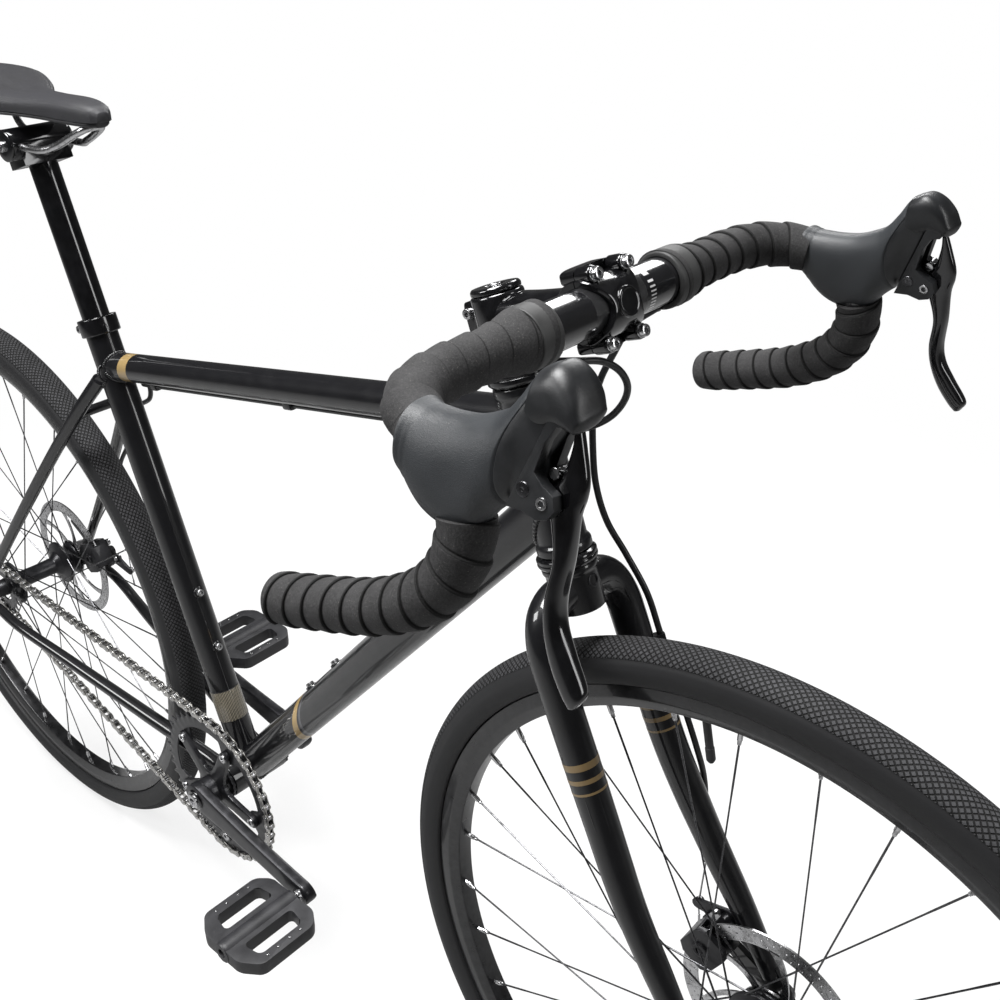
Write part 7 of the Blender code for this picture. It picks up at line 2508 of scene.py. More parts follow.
# ------------------------------------------------------------------------------- brakes
@dataclass
class Brake:
    """A cable disc caliper: body, sliding pad, arm and its bolts, and the fixed axle."""

    name: str
    body: str
    axle: Array
    hub_width: float
    angle: float
    arm_turn: float
    reach: float = 0.069
    arm_length: float = 0.030
    arm_half: float = 0.0015
    dropout: float = 0.006
    disc_inset: float = 0.014

    @property
    def out(self) -> Array:
        """From the axle to the caliper."""
        a = math.radians(self.angle)
        return vec(math.cos(a), 0, math.sin(a))

    @property
    def along(self) -> Array:
        """Square to the way out, round the disc."""
        return vec(-self.out[2], 0, self.out[0])

    @property
    def arm_pivot(self) -> Array:
        """Middle of the arm's pivot."""
        face = self.hub_width / 2 + 4 * GAP + self.dropout + self.arm_half
        return self.axle + (self.reach + 0.002) * self.out - 0.0135 * self.along + face * LEFT

    @property
    def arm_tip(self) -> Array:
        """Where the wire is clamped."""
        a = math.radians(self.arm_turn)
        return self.arm_pivot + self.arm_length * vec(math.cos(a), 0, math.sin(a))

    def caliper(self) -> None:
        """Body with softened edges, two fixing bolts and the adjuster of the fixed pad."""
        made = softened(f"{self.name}_caliper", f"{self.name}_caliper_body", SATIN.material(),
                        0.0018, 3)
        placed(made, self.body, "black_alloy", f"{self.name}_caliper")
        shape = Shape()
        centre = self.axle + self.reach * self.out
        face = self.hub_width / 2
        for way in (1, -1):
            hex_bolt(shape, centre + way * 0.0125 * self.along + 0.0110 * self.out
                     + face * LEFT, LEFT, 0.0042, 0.0046)
        inner = self.hub_width / 2 - self.disc_inset - 0.0100
        hex_bolt(shape, centre + inner * LEFT, -LEFT, 0.0070, 0.0022, 1)
        made = shape.made(f"{self.name}_caliper_bolts", [STEEL.material(), SATIN.material()])
        placed(made, self.body, "steel")

    def arm(self) -> None:
        """Cable arm with a washer, its pivot bolt and the wire's anchor bolt."""
        made = softened(f"{self.name}_caliper_arm", f"{self.name}_cable_arm", SATIN.material(),
                        0.0007, 3)
        placed(made, f"{self.name}_arm", "black_alloy", f"{self.name}_caliper_arm")
        shape = Shape()
        washer = rounded([(0, 0), (0.0070, 0), (0.0070, 0.0008), (0, 0.0008)], 0.0002)
        shape.lathe(washer, self.arm_pivot + self.arm_half * LEFT, LEFT, 40)
        hex_bolt(shape, self.arm_pivot + 0.0023 * LEFT, LEFT, 0.0050, 0.0034)
        hex_bolt(shape, self.arm_tip + 0.0032 * LEFT, LEFT, 0.0035, 0.0026)
        shape.lathe(rounded([(0, 0), (0.0042, 0), (0.0042, 0.0016), (0, 0.0016)], 0.0003),
                    self.arm_tip + 0.0016 * LEFT, LEFT, 32)
        made = shape.made(f"{self.name}_arm_bolts", [STEEL.material()])
        placed(made, f"{self.name}_arm", "steel")

    def pad(self) -> None:
        """The sliding pad."""
        made = softened(f"{self.name}_sliding_pad", f"{self.name}_brake_pad", DARK_STEEL.material(),
                        0.0003)
        placed(made, f"{self.name}_pad", "black_alloy", f"{self.name}_sliding_pad")

    def skewer(self) -> None:
        """Fixed axle with lock nuts, the outer nut and a bent, flattened clamping lever."""
        end = self.hub_width / 2 + GAP + self.dropout + GAP
        half = self.hub_width / 2
        side = [(0, end + 0.007), (0.0093, end + 0.007), (0.0095, end + 0.0010), (0.0088, end),
                (0.005, end), (0.005, half), (0.0080, half), (0.0080, half - 0.0055),
                (0.005, half - 0.0055)]
        full = side + [(r, -h) for r, h in side[::-1]]
        shape = Shape().lathe(rounded(full, 0.0008), self.axle, LEFT, 56)
        start = self.axle + (end + 0.0035) * LEFT
        route = smooth_line([start, start + vec(-0.018, 0.007, 0.010),
                             start + vec(-0.046, 0.007, 0.026)], 30)
        share = np.linspace(0, 1, 30)
        _, u, v = carried_frames(route, LEFT)
        c, s = superellipse(28, 2.4)
        wide = 0.0042 + 0.0022 * np.sin(share * math.pi * 0.8)
        ring = (np.clip(0.0042 - 0.0016 * share, 0.002, 1)[:, None, None] * c[None, :, None]
                * u[:, None] + wide[:, None, None] * s[None, :, None] * v[:, None])
        shape.grid(closed_ends(route[:, None] + ring, 0.0015, 5), slot=1)
        made = shape.made(f"{self.name}_skewer", [STEEL.material(), SATIN.material()])
        placed(made, self.body, "steel", f"{self.name}_axle")

    def build(self) -> None:
        """Make caliper, arm, pad and axle."""
        self.caliper()
        self.arm()
        self.pad()
        self.skewer()


# -------------------------------------------------------------------------------- drive
@dataclass
class Drive:
    """Chain, toothed ring, cog, cranks and pedals."""

    pitch: float = 0.0127
    links: int = 100
    ring_teeth: int = 44
    cog_teeth: int = 16
    line: float = 0.045
    ring_bore: float = 0.057
    cog_bore: float = 0.0172
    ring_thickness: float = 0.0021
    length: float = 0.170
    turn: float = math.radians(171.0)
    plane: float = 0.068
    thickness: float = 0.013
    bolt_circle: float = 0.065
    pedal_reach: float = 0.092
    pedal_length: float = 0.092

    @property
    def radii(self) -> tuple[float, float]:
        """Pitch radius of the ring and of the cog."""
        return tuple(self.pitch / (2 * math.sin(math.pi / n))
                     for n in (self.ring_teeth, self.cog_teeth))

    def spans(self) -> tuple[float, float, float, float, float]:
        """How the chain lies.

        Returns:
            Angle of the upper end of its contact with the ring and of the lower one, and
            the links on the ring, on one straight run and on the cog.
        """
        big, small = self.radii
        gap = PLAN.rear_axle - PLAN.bracket
        distance = math.hypot(gap[0], gap[2])
        lean = math.asin((big - small) / distance)
        run = math.sqrt(distance**2 - (big - small)**2) / self.pitch
        on_ring = (math.pi + 2 * lean) / (2 * math.pi / self.ring_teeth)
        on_cog = (math.pi - 2 * lean) / (2 * math.pi / self.cog_teeth)
        heading = math.atan2(gap[2], gap[0])
        return (heading - math.pi / 2 + lean, heading + math.pi / 2 - lean, on_ring, run, on_cog)

    def chain_places(self, at: Array) -> Array:
        """Where numbers of links lie, counted from the top of the ring forward and round.

        Round each sprocket the angle falls by one tooth for each link; on the straight
        runs the place moves evenly from one end to the other.

        Args:
            at: link numbers, whole or not.

        Returns:
            Points in the chain's plane.
        """
        top, bottom, on_ring, run, on_cog = self.spans()
        big, small = self.radii
        at = at % self.links

        def rim(centre: Array, radius: float, angle: Any) -> Array:
            """Points at angles round a sprocket.

            Args:
                centre: the sprocket's middle.
                radius: of its pitch circle.
                angle: one angle or many.

            Returns:
                A point for each angle.
            """
            angle = np.asarray(angle)
            return np.stack([centre[0] + radius * np.cos(angle), np.full(angle.shape, -self.line),
                             centre[2] + radius * np.sin(angle)], -1)

        ring, cog = PLAN.bracket, PLAN.rear_axle
        first = rim(ring, big, top - at * 2 * math.pi / self.ring_teeth)
        t = ((at - on_ring) / run)[:, None]
        low = rim(ring, big, bottom) * (1 - t) + rim(cog, small, bottom) * t
        back = rim(cog, small, bottom - (at - on_ring - run) * 2 * math.pi / self.cog_teeth)
        t = ((at - on_ring - run - on_cog) / run)[:, None]
        high = rim(cog, small, top) * (1 - t) + rim(ring, big, top) * t
        pick = np.select([at < on_ring, at < on_ring + run, at < on_ring + run + on_cog],
                         [0, 1, 2], 3)
        return np.stack([first, low, back, high])[pick, np.arange(len(at))]

    def plate(self, radius: float, waist: float, thick: float) -> Array:
        """A chain plate: two round eyes joined by a waist, with rounded edges.

        Args:
            radius: of its eyes.
            waist: half its height in the middle.
            thick: its thickness.

        Returns:
            A grid with the plate's length along x, its thickness along y from 0.
        """
        reach = self.pitch / 2
        a = np.radians(np.linspace(-110, 110, 15))
        edge = -radius * math.cos(math.radians(110))
        x0, z0 = reach - edge, radius * math.sin(math.radians(110))
        right = np.stack([reach + radius * np.cos(a), radius * np.sin(a)], 1)
        x = np.linspace(x0, -x0, 9)[1:-1]
        upper = np.stack([x, waist + (z0 - waist) * (x / x0)**2], 1)
        half = np.vstack([right, upper])
        outline = np.vstack([half, -half])
        rows = ((0.0, 0.0), (0.93, 0.0), (1.0, 0.18), (1.0, 0.82), (0.93, 1.0), (0.0, 1.0))
        flat = np.stack([outline * s for s, _ in rows])
        depth = np.broadcast_to(np.array([d * thick for _, d in rows])[:, None], flat.shape[:2])
        return np.stack([flat[..., 0], depth, flat[..., 1]], -1)

    def chain(self) -> None:
        """One hundred links: two rows of plates by turns inner and outer, pins, rollers."""
        at = np.arange(self.links, dtype=float)
        pins = self.chain_places(at)
        ahead = np.roll(pins, -1, 0)
        run = unit(ahead - pins)
        middle = (pins + ahead) / 2
        outer = (np.arange(self.links) % 2) == 0
        shape = Shape()
        for group, radius, waist, near in ((outer, 0.0042, 0.0031, 0.0028),
                                           (~outer, 0.0041, 0.0027, 0.0016)):
            plate = self.plate(radius, waist, 0.0010)
            for way in (1, -1):
                turns = np.stack([run[group], np.tile(way * LEFT, (group.sum(), 1)),
                                  np.cross(run[group], way * LEFT)], -1)
                shape.copies(plate, turns, middle[group] + way * near * LEFT)
        roller = turned([(0.0018, 0.0015), (0.0034, 0.0015), (0.00385, 0.0011),
                         (0.00385, -0.0011), (0.0034, -0.0015), (0.0018, -0.0015)],
                        np.zeros(3), LEFT, 16)
        pin = turned([(0, 0.0043), (0.0014, 0.0043), (0.0018, 0.0039), (0.0018, -0.0039),
                      (0.0014, -0.0043), (0, -0.0043)], np.zeros(3), LEFT, 12)
        still = np.tile(np.eye(3), (self.links, 1, 1))
        shape.copies(roller, still, pins, slot=1)
        shape.copies(pin, still, pins, slot=1)
        made = shape.made("roller_chain", [CHAIN_STEEL.material(), STEEL.material()], 30)
        placed(made, "frame", "steel", "chain")

    def teeth(self, count: int, radius: float, phase: float) -> tuple[Array, Array]:
        """The outline round a sprocket: a round valley for each roller and a tooth between.

        Args:
            count: teeth.
            radius: pitch radius.
            phase: angle of one roller.

        Returns:
            Angles and the outline's radius at each of them.
        """
        samples = 20
        share = np.arange(count * samples) / samples
        u = abs((share + 0.5) % 1 - 0.5)
        table = np.array(((0, -0.0040), (0.10, -0.0039), (0.20, -0.0034), (0.27, -0.0024),
                          (0.33, -0.0006), (0.39, 0.0016), (0.43, 0.0028), (0.47, 0.0034),
                          (0.50, 0.0035)))
        return (phase + share * 2 * math.pi / count,
                radius + np.interp(u, table[:, 0], table[:, 1]))

    def sprocket(self, shape: Shape, centre: Array, angles: Array, outline: Array, bore: Array,
                 valley: float, half: float) -> None:
        """Add a toothed wheel: rows from the bore out to the tooth tips and back.

        Args:
            shape: what it is added to.
            centre: its centre.
            angles: round the wheel.
            outline: its outer radius at each angle.
            bore: its inner radius at each angle.
            valley: radius outside which the teeth thin down.
            half: half its thickness.
        """
        around = wheelwise(angles)
        one = np.ones_like(angles)
        mid = (bore + valley * one) / 2
        rows = ((bore + 0.0004, 1.0), (mid, 1.0), (valley * one, 1.0), (outline - 0.0005, 0.62),
                (outline, 0.40), (outline, -0.40), (outline - 0.0005, -0.62),
                (valley * one, -1.0), (mid, -1.0), (bore + 0.0004, -1.0), (bore, -0.6), (bore, 0.6))
        grid = np.stack([centre + r[:, None] * around + h * half * LEFT for r, h in rows])
        shape.grid(grid, (True, True))

    def rings(self) -> None:
        """The toothed ring with five lobes at the spider's arms, and the cog."""
        top, bottom, on_ring, run, _ = self.spans()
        big, small = self.radii
        centre = PLAN.bracket - self.line * LEFT
        angles, outline = self.teeth(self.ring_teeth, big, top)
        arms = self.turn + 2 * math.pi * (np.arange(5) + 0.5) / 5
        away = abs((angles[:, None] - arms[None] + math.pi) % (2 * math.pi) - math.pi).min(1)
        lobe = np.clip((away - 0.10) / 0.16, 0, 1)
        bore = self.ring_bore + 0.0150 * lobe * lobe * (3 - 2 * lobe)
        shape = Shape()
        self.sprocket(shape, centre, angles, outline, bore, big - 0.0068,
                      self.ring_thickness / 2)
        made = shape.made("toothed_ring", [SATIN.material()], 30)
        placed(made, "crankset", "black_alloy", "chainring")
        first = math.ceil(on_ring + run)
        phase = bottom - (first - on_ring - run) * 2 * math.pi / self.cog_teeth
        centre = PLAN.rear_axle - self.line * LEFT
        angles, outline = self.teeth(self.cog_teeth, small, phase)
        shape = Shape()
        bore = np.full_like(angles, self.cog_bore)
        self.sprocket(shape, centre, angles, outline, bore, small - 0.0052,
                      self.ring_thickness / 2)
        made = shape.made("toothed_cog", [DARK_STEEL.material()], 30)
        placed(made, "freewheel", "steel", "freewheel_cog")

    def crank_place(self, side: int, reach: float, out: float) -> Array:
        """A point on a crank, reach from the spindle and out from the middle."""
        turn = self.turn if side > 0 else self.turn - math.pi
        return PLAN.bracket + vec(reach * math.cos(turn), side * out, reach * math.sin(turn))

    def arm(self, shape: Shape, side: int) -> None:
        """Add a forged arm: rounded rectangular sections that follow both round eyes.

        The half width at a distance t along the arm is that of the circle at each end, and
        in between it narrows evenly with a slight waist.

        Args:
            shape: what it is added to.
            side: 1 on the left and -1 on the right.
        """
        big, small, length = 0.0175, 0.0125, self.length
        turns = np.linspace(0, math.pi / 2, 9)
        t = np.concatenate([-big * np.cos(turns), np.linspace(0, length, 42)[1:-1],
                            length + small * np.sin(turns)])
        straight = big + (small - big) * np.clip(t / length, 0, 1)
        waist = 0.0028 * np.sin(np.clip(t / length, 0, 1) * math.pi)**0.8
        half = straight - waist
        half = np.where(t < 0, np.sqrt(np.maximum(big**2 - t**2, 0)), half)
        half = np.where(t > length, np.sqrt(np.maximum(small**2 - (t - length)**2, 0)), half)
        along = unit(self.crank_place(side, 1.0, 0) - PLAN.bracket)
        across = np.cross(along, LEFT)
        c, s = superellipse(44, 5.0)
        start = self.crank_place(side, 0, self.plane)
        thick = self.thickness / 2
        rings = (start + t[:, None, None] * along + half[:, None, None] * c[None, :, None] * across
                 + thick * s[None, :, None] * LEFT)
        shape.grid(rings)
        face = self.plane + self.thickness / 2
        eye = self.crank_place(side, length, face - 0.004)
        axle = rounded([(0, 0), (0.0075, 0), (0.0075, 0.0080), (0.0046, 0.0084),
                        (0.0046, self.pedal_reach + 0.0036), (0, self.pedal_reach + 0.004)], 0.0006)
        shape.lathe(axle, eye, side * LEFT, 44, slot=1)
        cap = rounded([(0.0118, -0.0004), (0.0118, 0.0012), (0.0104, 0.0022), (0, 0.0022)], 0.0006)
        out = self.crank_place(side, 0, face)
        shape.lathe(cap, out, side * LEFT, 48, slot=2)
        hex_bolt(shape, out + side * 0.0020 * LEFT, side * LEFT, 0.0085, 0.0026, 1)

    def cranks(self) -> None:
        """Both arms, the spindle, and the spider with its five ring bolts."""
        metals = [SATIN.material(), STEEL.material(), GLOSS.material()]
        half = self.plane - self.thickness / 2
        left = Shape()
        self.arm(left, 1)
        spindle = rounded([(0, -half), (0.0086, -half), (0.0086, half + 0.004), (0, half + 0.004)],
                          0.0005)
        left.lathe(spindle, PLAN.bracket, LEFT, 40, slot=1)
        made = left.made("left_crank", metals, 34)
        placed(made, "crankset", "black_alloy", "crank_left_and_spindle")
        right = Shape()
        self.arm(right, -1)
        boss = rounded([(0.009, -0.0440), (0.0160, -0.0440), (0.0166, -0.0480),
                        (0.0166, -half - 0.004), (0.009, -half - 0.004)], 0.0008)
        right.lathe(boss, PLAN.bracket, LEFT, 56)
        self.spider(right)
        made = right.made("right_crank_and_spider", metals, 34)
        placed(made, "crankset", "black_alloy", "crank_right_and_spider")

    def spider(self, shape: Shape) -> None:
        """Add the five-armed star and its ring bolts.

        The star's outline is a table of radius against the angle from the nearest arm; its
        rows run out over one face, round the edge and back over the other.

        Args:
            shape: what it is added to.
        """
        angles = turn_angles(440) + self.turn
        arms = self.turn + 2 * math.pi * (np.arange(5) + 0.5) / 5
        away = np.degrees(abs((angles[:, None] - arms + math.pi) % (2 * math.pi) - math.pi).min(1))
        table = np.array(((0, 0.0722), (2, 0.0719), (4, 0.0706), (5.4, 0.0685), (6.3, 0.0650),
                          (7.6, 0.0560), (9.6, 0.0450), (13, 0.0355), (19, 0.0280), (27, 0.0246),
                          (36, 0.0238)))
        edge = np.interp(away, table[:, 0], table[:, 1])
        one = np.ones_like(edge)
        around = wheelwise(angles)
        plane = self.line + self.ring_thickness / 2 + GAP + 0.0025
        centre = PLAN.bracket - plane * LEFT
        rows = ((0.0150 * one, -0.0037), (0.022 * one, -0.0036), (edge * 0.93, -0.0025),
                (edge - 0.0006, -0.0024), (edge, -0.0018), (edge, 0.0018), (edge - 0.0006, 0.0025),
                (0.022 * one, 0.0025), (0.0150 * one, 0.0025))
        grid = np.stack([centre + r[:, None] * around + h * LEFT for r, h in rows])
        shape.grid(grid)
        for a in arms:
            place = centre + self.bolt_circle * vec(math.cos(a), 0, math.sin(a))
            hex_bolt(shape, place - 0.0024 * LEFT, -LEFT, 0.0052, 0.0016, 1, 0.4)
            nut = rounded([(0.0030, 0.0), (0.0052, 0.0), (0.0052, 0.0014), (0.0030, 0.0014)],
                          0.0003, True)
            shape.lathe(nut, place + (0.0025 + GAP + self.ring_thickness) * LEFT, LEFT, 28,
                        True, 1)

    def pedal(self, side: Side) -> None:
        """A platform with softened edges, a smooth barrel, its cap and grip pins.

        Args:
            side: which pedal.
        """
        word, s = side.word, side.value
        name = f"pedal_{word}"
        body = f"pedal_{word}_body"
        made = softened(name, f"pedal_platform_{word}", NYLON.material(), 0.0022, 4, 0.0055)
        placed(made, body, "black_plastic", name)
        face = self.plane + self.thickness / 2 + 0.0046
        middle = face + self.pedal_reach / 2
        centre = self.crank_place(s, self.length, middle)
        half = (self.pedal_reach - 0.004) / 2
        shape = Shape()
        barrel = rounded([(0.0052, -half), (0.0100, -half), (0.0108, -half + 0.003),
                          (0.0108, half - 0.003), (0.0096, half - 0.0001), (0.0052, half)], 0.0014,
                         True)
        shape.lathe(barrel, centre, LEFT, 48, True)
        pin = turned(rounded([(0, 0.0013), (0.0011, 0.0013), (0.0016, 0), (0, 0)], 0.0003),
                     np.zeros(3), UP, 10, AHEAD)
        x = self.pedal_length / 2 - 0.0055
        spots = np.array([(a, b) for a in (-x, x) for b in (-0.020, -0.007, 0.007, 0.020)])
        for way in (1, -1):
            turn = np.stack([AHEAD, way * LEFT, way * UP], -1)
            places = centre + np.concatenate([spots, np.full((8, 1), way * 0.0074)], 1)
            shape.copies(pin, np.tile(turn, (8, 1, 1)), places, slot=1)
        made = shape.made(f"pedal_barrel_{word}", [NYLON.material(), STEEL.material()])
        placed(made, body, "black_plastic")

    def build(self) -> None:
        """Make the whole drive."""
        self.chain()
        self.rings()
        self.cranks()
        for side in BOTH:
            self.pedal(side)


# ------------------------------------------------------------------------------- saddle
@dataclass
class Perch:
    """Seatpost, rails and a padded saddle."""

    clamp_up: float = 0.690
    post_length: float = 0.350
    post_radius: float = 0.0136
    rail: float = 0.0035
    spread: float = 0.022
    tail: float = -0.142
    length: float = 0.272
    width: float = 0.146
    base: float = 0.0270
    stations: tuple[tuple[float, float, float], ...] = (
        (0.0, 0.52, 0.054), (0.06, 0.86, 0.058), (0.20, 1.0, 0.056), (0.36, 0.80, 0.050),
        (0.52, 0.46, 0.047), (0.70, 0.30, 0.048), (0.88, 0.26, 0.049), (0.97, 0.19, 0.046),
        (1.0, 0.10, 0.041))

    def place(self, x: float, y: float, z: float) -> Array:
        """A point about the rail clamp."""
        return PLAN.seat(self.clamp_up) + vec(x, y, z)

    def post(self) -> None:
        """Round post with softened clamp head, side bolts and setting marks."""
        made = softened("seatpost", "post_head", GLOSS.material(), 0.0016, 3)
        placed(made, "saddle", "gloss_black", "seatpost")
        foot = self.clamp_up - 0.012 - self.post_length
        shape = Shape()
        line = [(0, foot), (self.post_radius + 0.0001, foot),
                (self.post_radius + 0.0001, self.clamp_up - 0.010), (0, self.clamp_up - 0.010)]
        shape.lathe(rounded(line, 0.0012), PLAN.bracket, PLAN.seat_axis, 64)
        head = PLAN.seat(self.clamp_up)
        for way in (1, -1):
            cap = rounded([(0.0136, -0.004), (0.0150, -0.002), (0.0150, 0.0003), (0.0090, 0.0012),
                           (0, 0.0012)], 0.0010)
            shape.lathe(cap, head + way * 0.0320 * LEFT, way * LEFT, 48)
            hex_bolt(shape, head + way * 0.0331 * LEFT, way * LEFT, 0.0052, 0.0034, 1)
        made = shape.made("round_post", [GLOSS.material(), STEEL.material()])
        placed(made, "saddle", "gloss_black")

    def rails(self) -> None:
        """Bent steel rails and the moulded shell under the padding."""
        half = [(-0.128, self.spread + 0.018, 0.0265), (-0.112, self.spread + 0.016, 0.021),
                (-0.075, self.spread + 0.004, 0.004), (-0.045, self.spread, 0),
                (0.040, self.spread, 0), (0.068, self.spread - 0.006, 0.006),
                (0.100, 0.012, 0.020), (0.112, 0.006, 0.0255)]
        route = [self.place(*p) for p in half] + [self.place(x, -y, z) for x, y, z in half[::-1]]
        shape = Shape().bar(smooth_line(route, 150), self.rail, 20)
        rows = smooth_line(self.stations, 60)
        c, s = superellipse(48, 3.0)
        x = self.tail + 0.004 + rows[:, 0] * (self.length - 0.008)
        y = rows[:, 1] * self.width / 2 * 0.88
        rings = (self.place(0, 0, self.base + 0.0026) + x[:, None, None] * AHEAD
                 + (y[:, None] * c[None])[..., None] * LEFT + (0.0030 * s)[None, :, None] * UP)
        shape.grid(closed_ends(rings, 0.001, 4), slot=1)
        made = shape.made("rails_and_shell", [STEEL.material(), NYLON.material()])
        placed(made, "saddle", "black_plastic", "saddle_rails_and_base")

    def cushion(self) -> None:
        """Crowned, closed padding with a hollow down its middle and a stitched seam.

        A section runs from one lower edge over the crown to the other and back along a
        flat underside. The hollow and the stitch line are small dips in its height.
        """
        rows = smooth_line(self.stations, 120)
        rows[:, 0] = np.clip(rows[:, 0], 0, 1)
        a = np.linspace(0, math.pi, 73)
        c, s = np.cos(a), np.sin(a)
        low = self.base + 0.0045 + GAP
        half = (rows[:, 1] * self.width / 2)[:, None]
        y = half * (np.sign(c) * abs(c)**0.75 * (0.90 + 0.10 * s))[None]
        share = rows[:, 0][:, None]
        hollow = 0.0042 * np.exp(-(y / 0.0065)**2) * np.exp(-((share - 0.36) / 0.22)**2)
        stitch = 0.0007 * np.exp(-((abs(c)[None] - 0.80) / 0.022)**2) * (share > 0.03)
        stitch = stitch * (share < 0.97)
        rise = (rows[:, 2][:, None] - low) * s[None]**0.55 - (hollow + stitch) * (s[None] > 0.2)
        x = self.tail + share * self.length + 0 * y
        top = np.stack([x, y, low + rise], -1)
        flat = np.linspace(1, -1, 12)[1:-1]
        under = np.stack([np.repeat(x[:, :1], 10, 1), -half * 0.9 * flat[None],
                          np.full((len(rows), 10), low)], -1)
        rings = self.place(0, 0, 0) + np.concatenate([top, under], 1)
        shape = Shape().grid(closed_ends(rings, 0.0016, 6))
        made = shape.made("saddle_padding", [HIDE.material()], 55)
        placed(made, "saddle", "saddle_cover", "saddle_cushion")
        self.thread(rings)

    def thread(self, rings: Array) -> None:
        """Stitches along both sides of the cover, one small capsule for each.

        Args:
            rings: the cushion's sections.
        """
        shape = Shape()
        c = np.cos(np.linspace(0, math.pi, 73))
        for sign in (1, -1):
            column = int(np.argmin(abs(c - sign * 0.80)))
            path = rings[4:-4, column]
            along = lengths_along(path)
            at = np.arange(0.002, along[-1] - 0.002, 0.0042)
            ends = [np.stack([np.interp(at + d, along, path[:, k]) for k in range(3)], 1)
                    for d in (-0.0012, 0.0012)]
            run = unit(ends[1] - ends[0])
            across = unit(np.cross(run, UP))
            turns = np.stack([across, np.cross(run, across), run], -1)
            stitch = turned([(0, -0.0014), (0.0004, -0.0011), (0.0004, 0.0011), (0, 0.0014)],
                            np.zeros(3), UP, 8, AHEAD)
            shape.copies(stitch, turns, (ends[0] + ends[1]) / 2)
        made = shape.made("saddle_stitches", [THREAD.material()])
        placed(made, "saddle", "saddle_cover")

    def build(self) -> None:
        """Make post, rails and saddle."""
        self.post()
        self.rails()
        self.cushion()


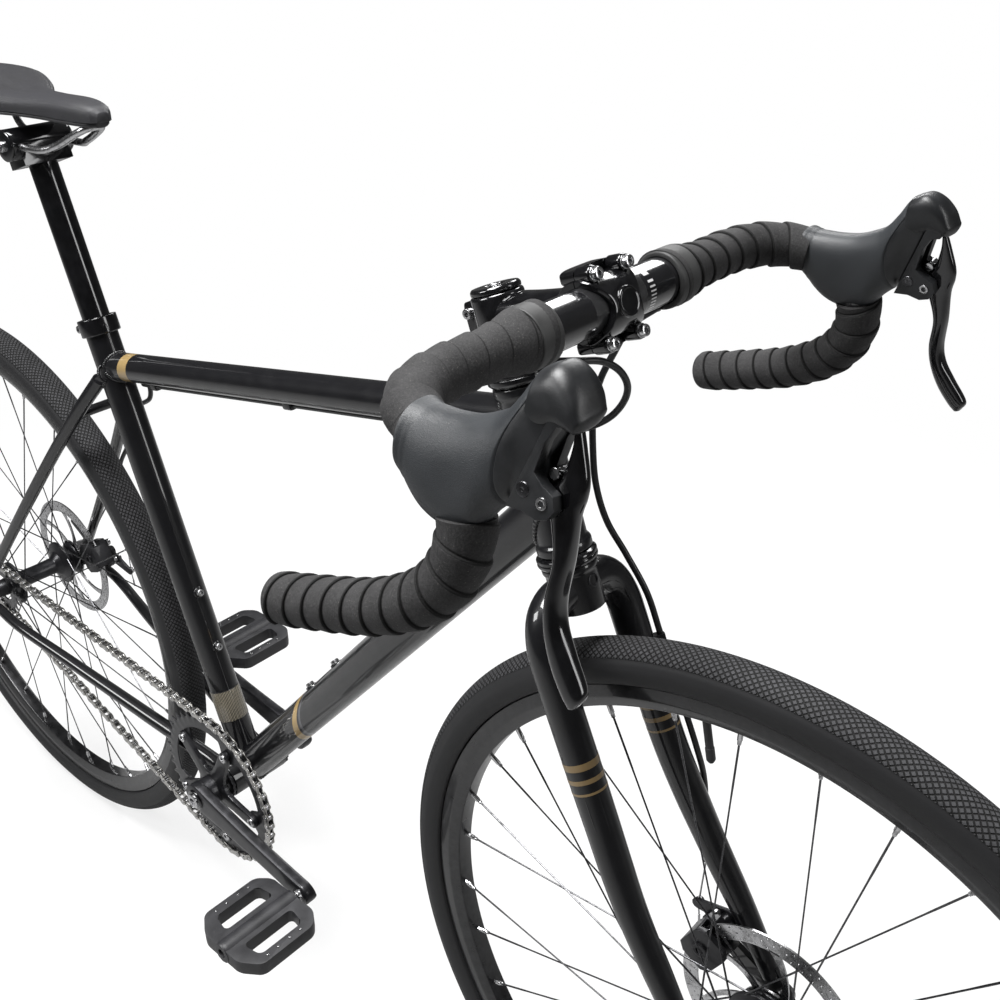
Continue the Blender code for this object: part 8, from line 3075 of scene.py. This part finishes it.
# -------------------------------------------------------------------------------- studio
@dataclass
class Studio:
    """White floor and backdrop, soft light, and the camera at the photograph's angle."""

    location: tuple[float, float, float] = (0.80059, -0.56781, 1.15854)
    azimuth: float = -47.87
    elevation: float = 28.58
    roll: float = -1.12
    lens: float = 42.47
    surround: float = 0.10

    def floor(self) -> None:
        """A floor that turns up into a backdrop in one smooth curve round the object.

        Rows run outwards from the middle; past the floor's edge the height follows a
        quarter of a circle.
        """
        bend = np.linspace(0.1, 1.57, 14)
        flat, sweep, wall = 5.0, 3.0, 7.0
        radius = np.concatenate([[0.0, 1.5, 3.0, flat], flat + sweep * np.sin(bend),
                                 [flat + sweep]])
        height = np.concatenate([[0, 0, 0, 0], sweep - sweep * np.cos(bend), [wall]])
        grid = turned(np.stack([radius, height], 1), vec(0, 0, -0.0005), UP, 96)
        made = Shape().grid(grid).made("studio_floor", [self.paper()], 60)
        made.data.shade_smooth()

    def paper(self) -> bpy.types.Material:
        """White paper that keeps a faint shadow near the object.

        The camera sees it mixed with plain white, all white from two metres out, so that
        the background is even; every other ray meets darker paper, which throws little
        light back on the underside of the object.

        Returns:
            The material.
        """
        recipe = Recipe("studio_paper")
        path = recipe.node("ShaderNodeLightPath").outputs
        plain = recipe.blend(recipe.noise(3, 2), (0.84, 0.84, 0.84), (0.86, 0.86, 0.86))
        colour = recipe.blend(path["Is Camera Ray"], (0.36, 0.36, 0.36), plain)
        recipe.surface_is(Base_Color=colour, Roughness=0.9, Specular_IOR_Level=0.0)
        x, y, _ = recipe.parts(recipe.place())
        far = (x * x + y * y).maths("SQRT", None).ramp(1.1, 2.2, 0.72, 1.0)
        seen = Value(recipe, path["Is Camera Ray"])
        glow = recipe.node("ShaderNodeEmission", None, {"Color": (1, 1, 1, 1), "Strength": 1.0})
        mix = recipe.node("ShaderNodeMixShader", None,
                          {0: seen * far, 1: recipe.surface.outputs[0], 2: glow.outputs[0]})
        recipe.feed(recipe.tree.nodes["Material Output"].inputs["Surface"], mix.outputs[0])
        return recipe.material

    def world(self) -> None:
        """A plain pale surround."""
        world = bpy.data.worlds.new("studio")
        world.use_nodes = True
        back = world.node_tree.nodes["Background"]
        back.inputs["Color"].default_value = (1, 1, 1, 1)
        back.inputs["Strength"].default_value = self.surround
        bpy.context.scene.world = world

    def lamp(self, name: str, place: Array, size: tuple[float, float], power: float) -> None:
        """Add a soft rectangular lamp that points at the object's middle.

        Args:
            name: its name.
            place: where it hangs.
            size: of its face.
            power: in watts.
        """
        light = bpy.data.lights.new(name, "AREA")
        light.shape = "RECTANGLE"
        light.size, light.size_y = size
        light.energy = power
        lamp = bpy.data.objects.new(name, light)
        bpy.context.scene.collection.objects.link(lamp)
        aim = vec(0.1, 0, 0.55) - place
        x, y, z = axes(-aim, LEFT)
        turn = Matrix([[*row] for row in np.stack([x, y, z], -1)])
        lamp.matrix_world = Matrix.Translation(place.tolist()) @ turn.to_4x4()

    def lamps(self) -> None:
        """A broad lamp overhead, one to each side and a strip behind."""
        self.lamp("overhead", vec(-0.1, -0.4, 2.6), (1.2, 0.9), 95)
        self.lamp("key", vec(-1.3, -2.1, 2.3), (0.8, 1.2), 46)
        self.lamp("fill", vec(2.6, 0.9, 1.7), (0.6, 1.8), 20)
        self.lamp("rim", vec(-0.9, 2.3, 2.3), (0.6, 2.0), 40)

    def camera(self) -> None:
        """The camera: its axes follow from azimuth, elevation and roll."""
        az, el, roll = (math.radians(v) for v in (self.azimuth, self.elevation, self.roll))
        view = -vec(math.cos(el) * math.cos(az), math.cos(el) * math.sin(az), math.sin(el))
        right = unit(np.cross(view, UP))
        up = np.cross(right, view)
        x = math.cos(roll) * right + math.sin(roll) * up
        y = -math.sin(roll) * right + math.cos(roll) * up
        data = bpy.data.cameras.new("camera")
        data.sensor_width = 36.0
        data.lens = self.lens
        data.clip_start = 0.02
        eye = bpy.data.objects.new("camera", data)
        bpy.context.scene.collection.objects.link(eye)
        turn = Matrix([[*row] for row in np.stack([x, y, -view], -1)])
        eye.matrix_world = Matrix.Translation(self.location) @ turn.to_4x4()
        bpy.context.scene.camera = eye

    def build(self) -> None:
        """Set up floor, light and camera."""
        self.floor()
        self.world()
        self.lamps()
        self.camera()
        scene = bpy.context.scene
        scene.view_settings.view_transform = "Standard"


def main() -> None:
    """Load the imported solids, build every piece over them and set the stage."""
    logging.basicConfig(level=logging.INFO, format="%(message)s")
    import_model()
    Wheel("front", PLAN.front_axle, 0.100, 0.0225, -0.0345).build()
    Wheel("rear", PLAN.rear_axle, 0.135, 0.0350, -0.0310).build()
    frame, fork = Frameset(), Fork()
    frame.build()
    fork.build()
    Cockpit().build()
    for side in BOTH:
        Controls(side).build()
    front = Brake("front", "steering", PLAN.front_axle, 0.100, 150.0, 188.0)
    rear = Brake("rear", "frame", PLAN.rear_axle, 0.135, 22.0, -15.0)
    front.build()
    rear.build()
    housings = Housings()
    housings.rear(frame, rear)
    housings.front(fork, front)
    Drive().build()
    Perch().build()
    Studio().build()


if __name__ == "__main__":
    main()
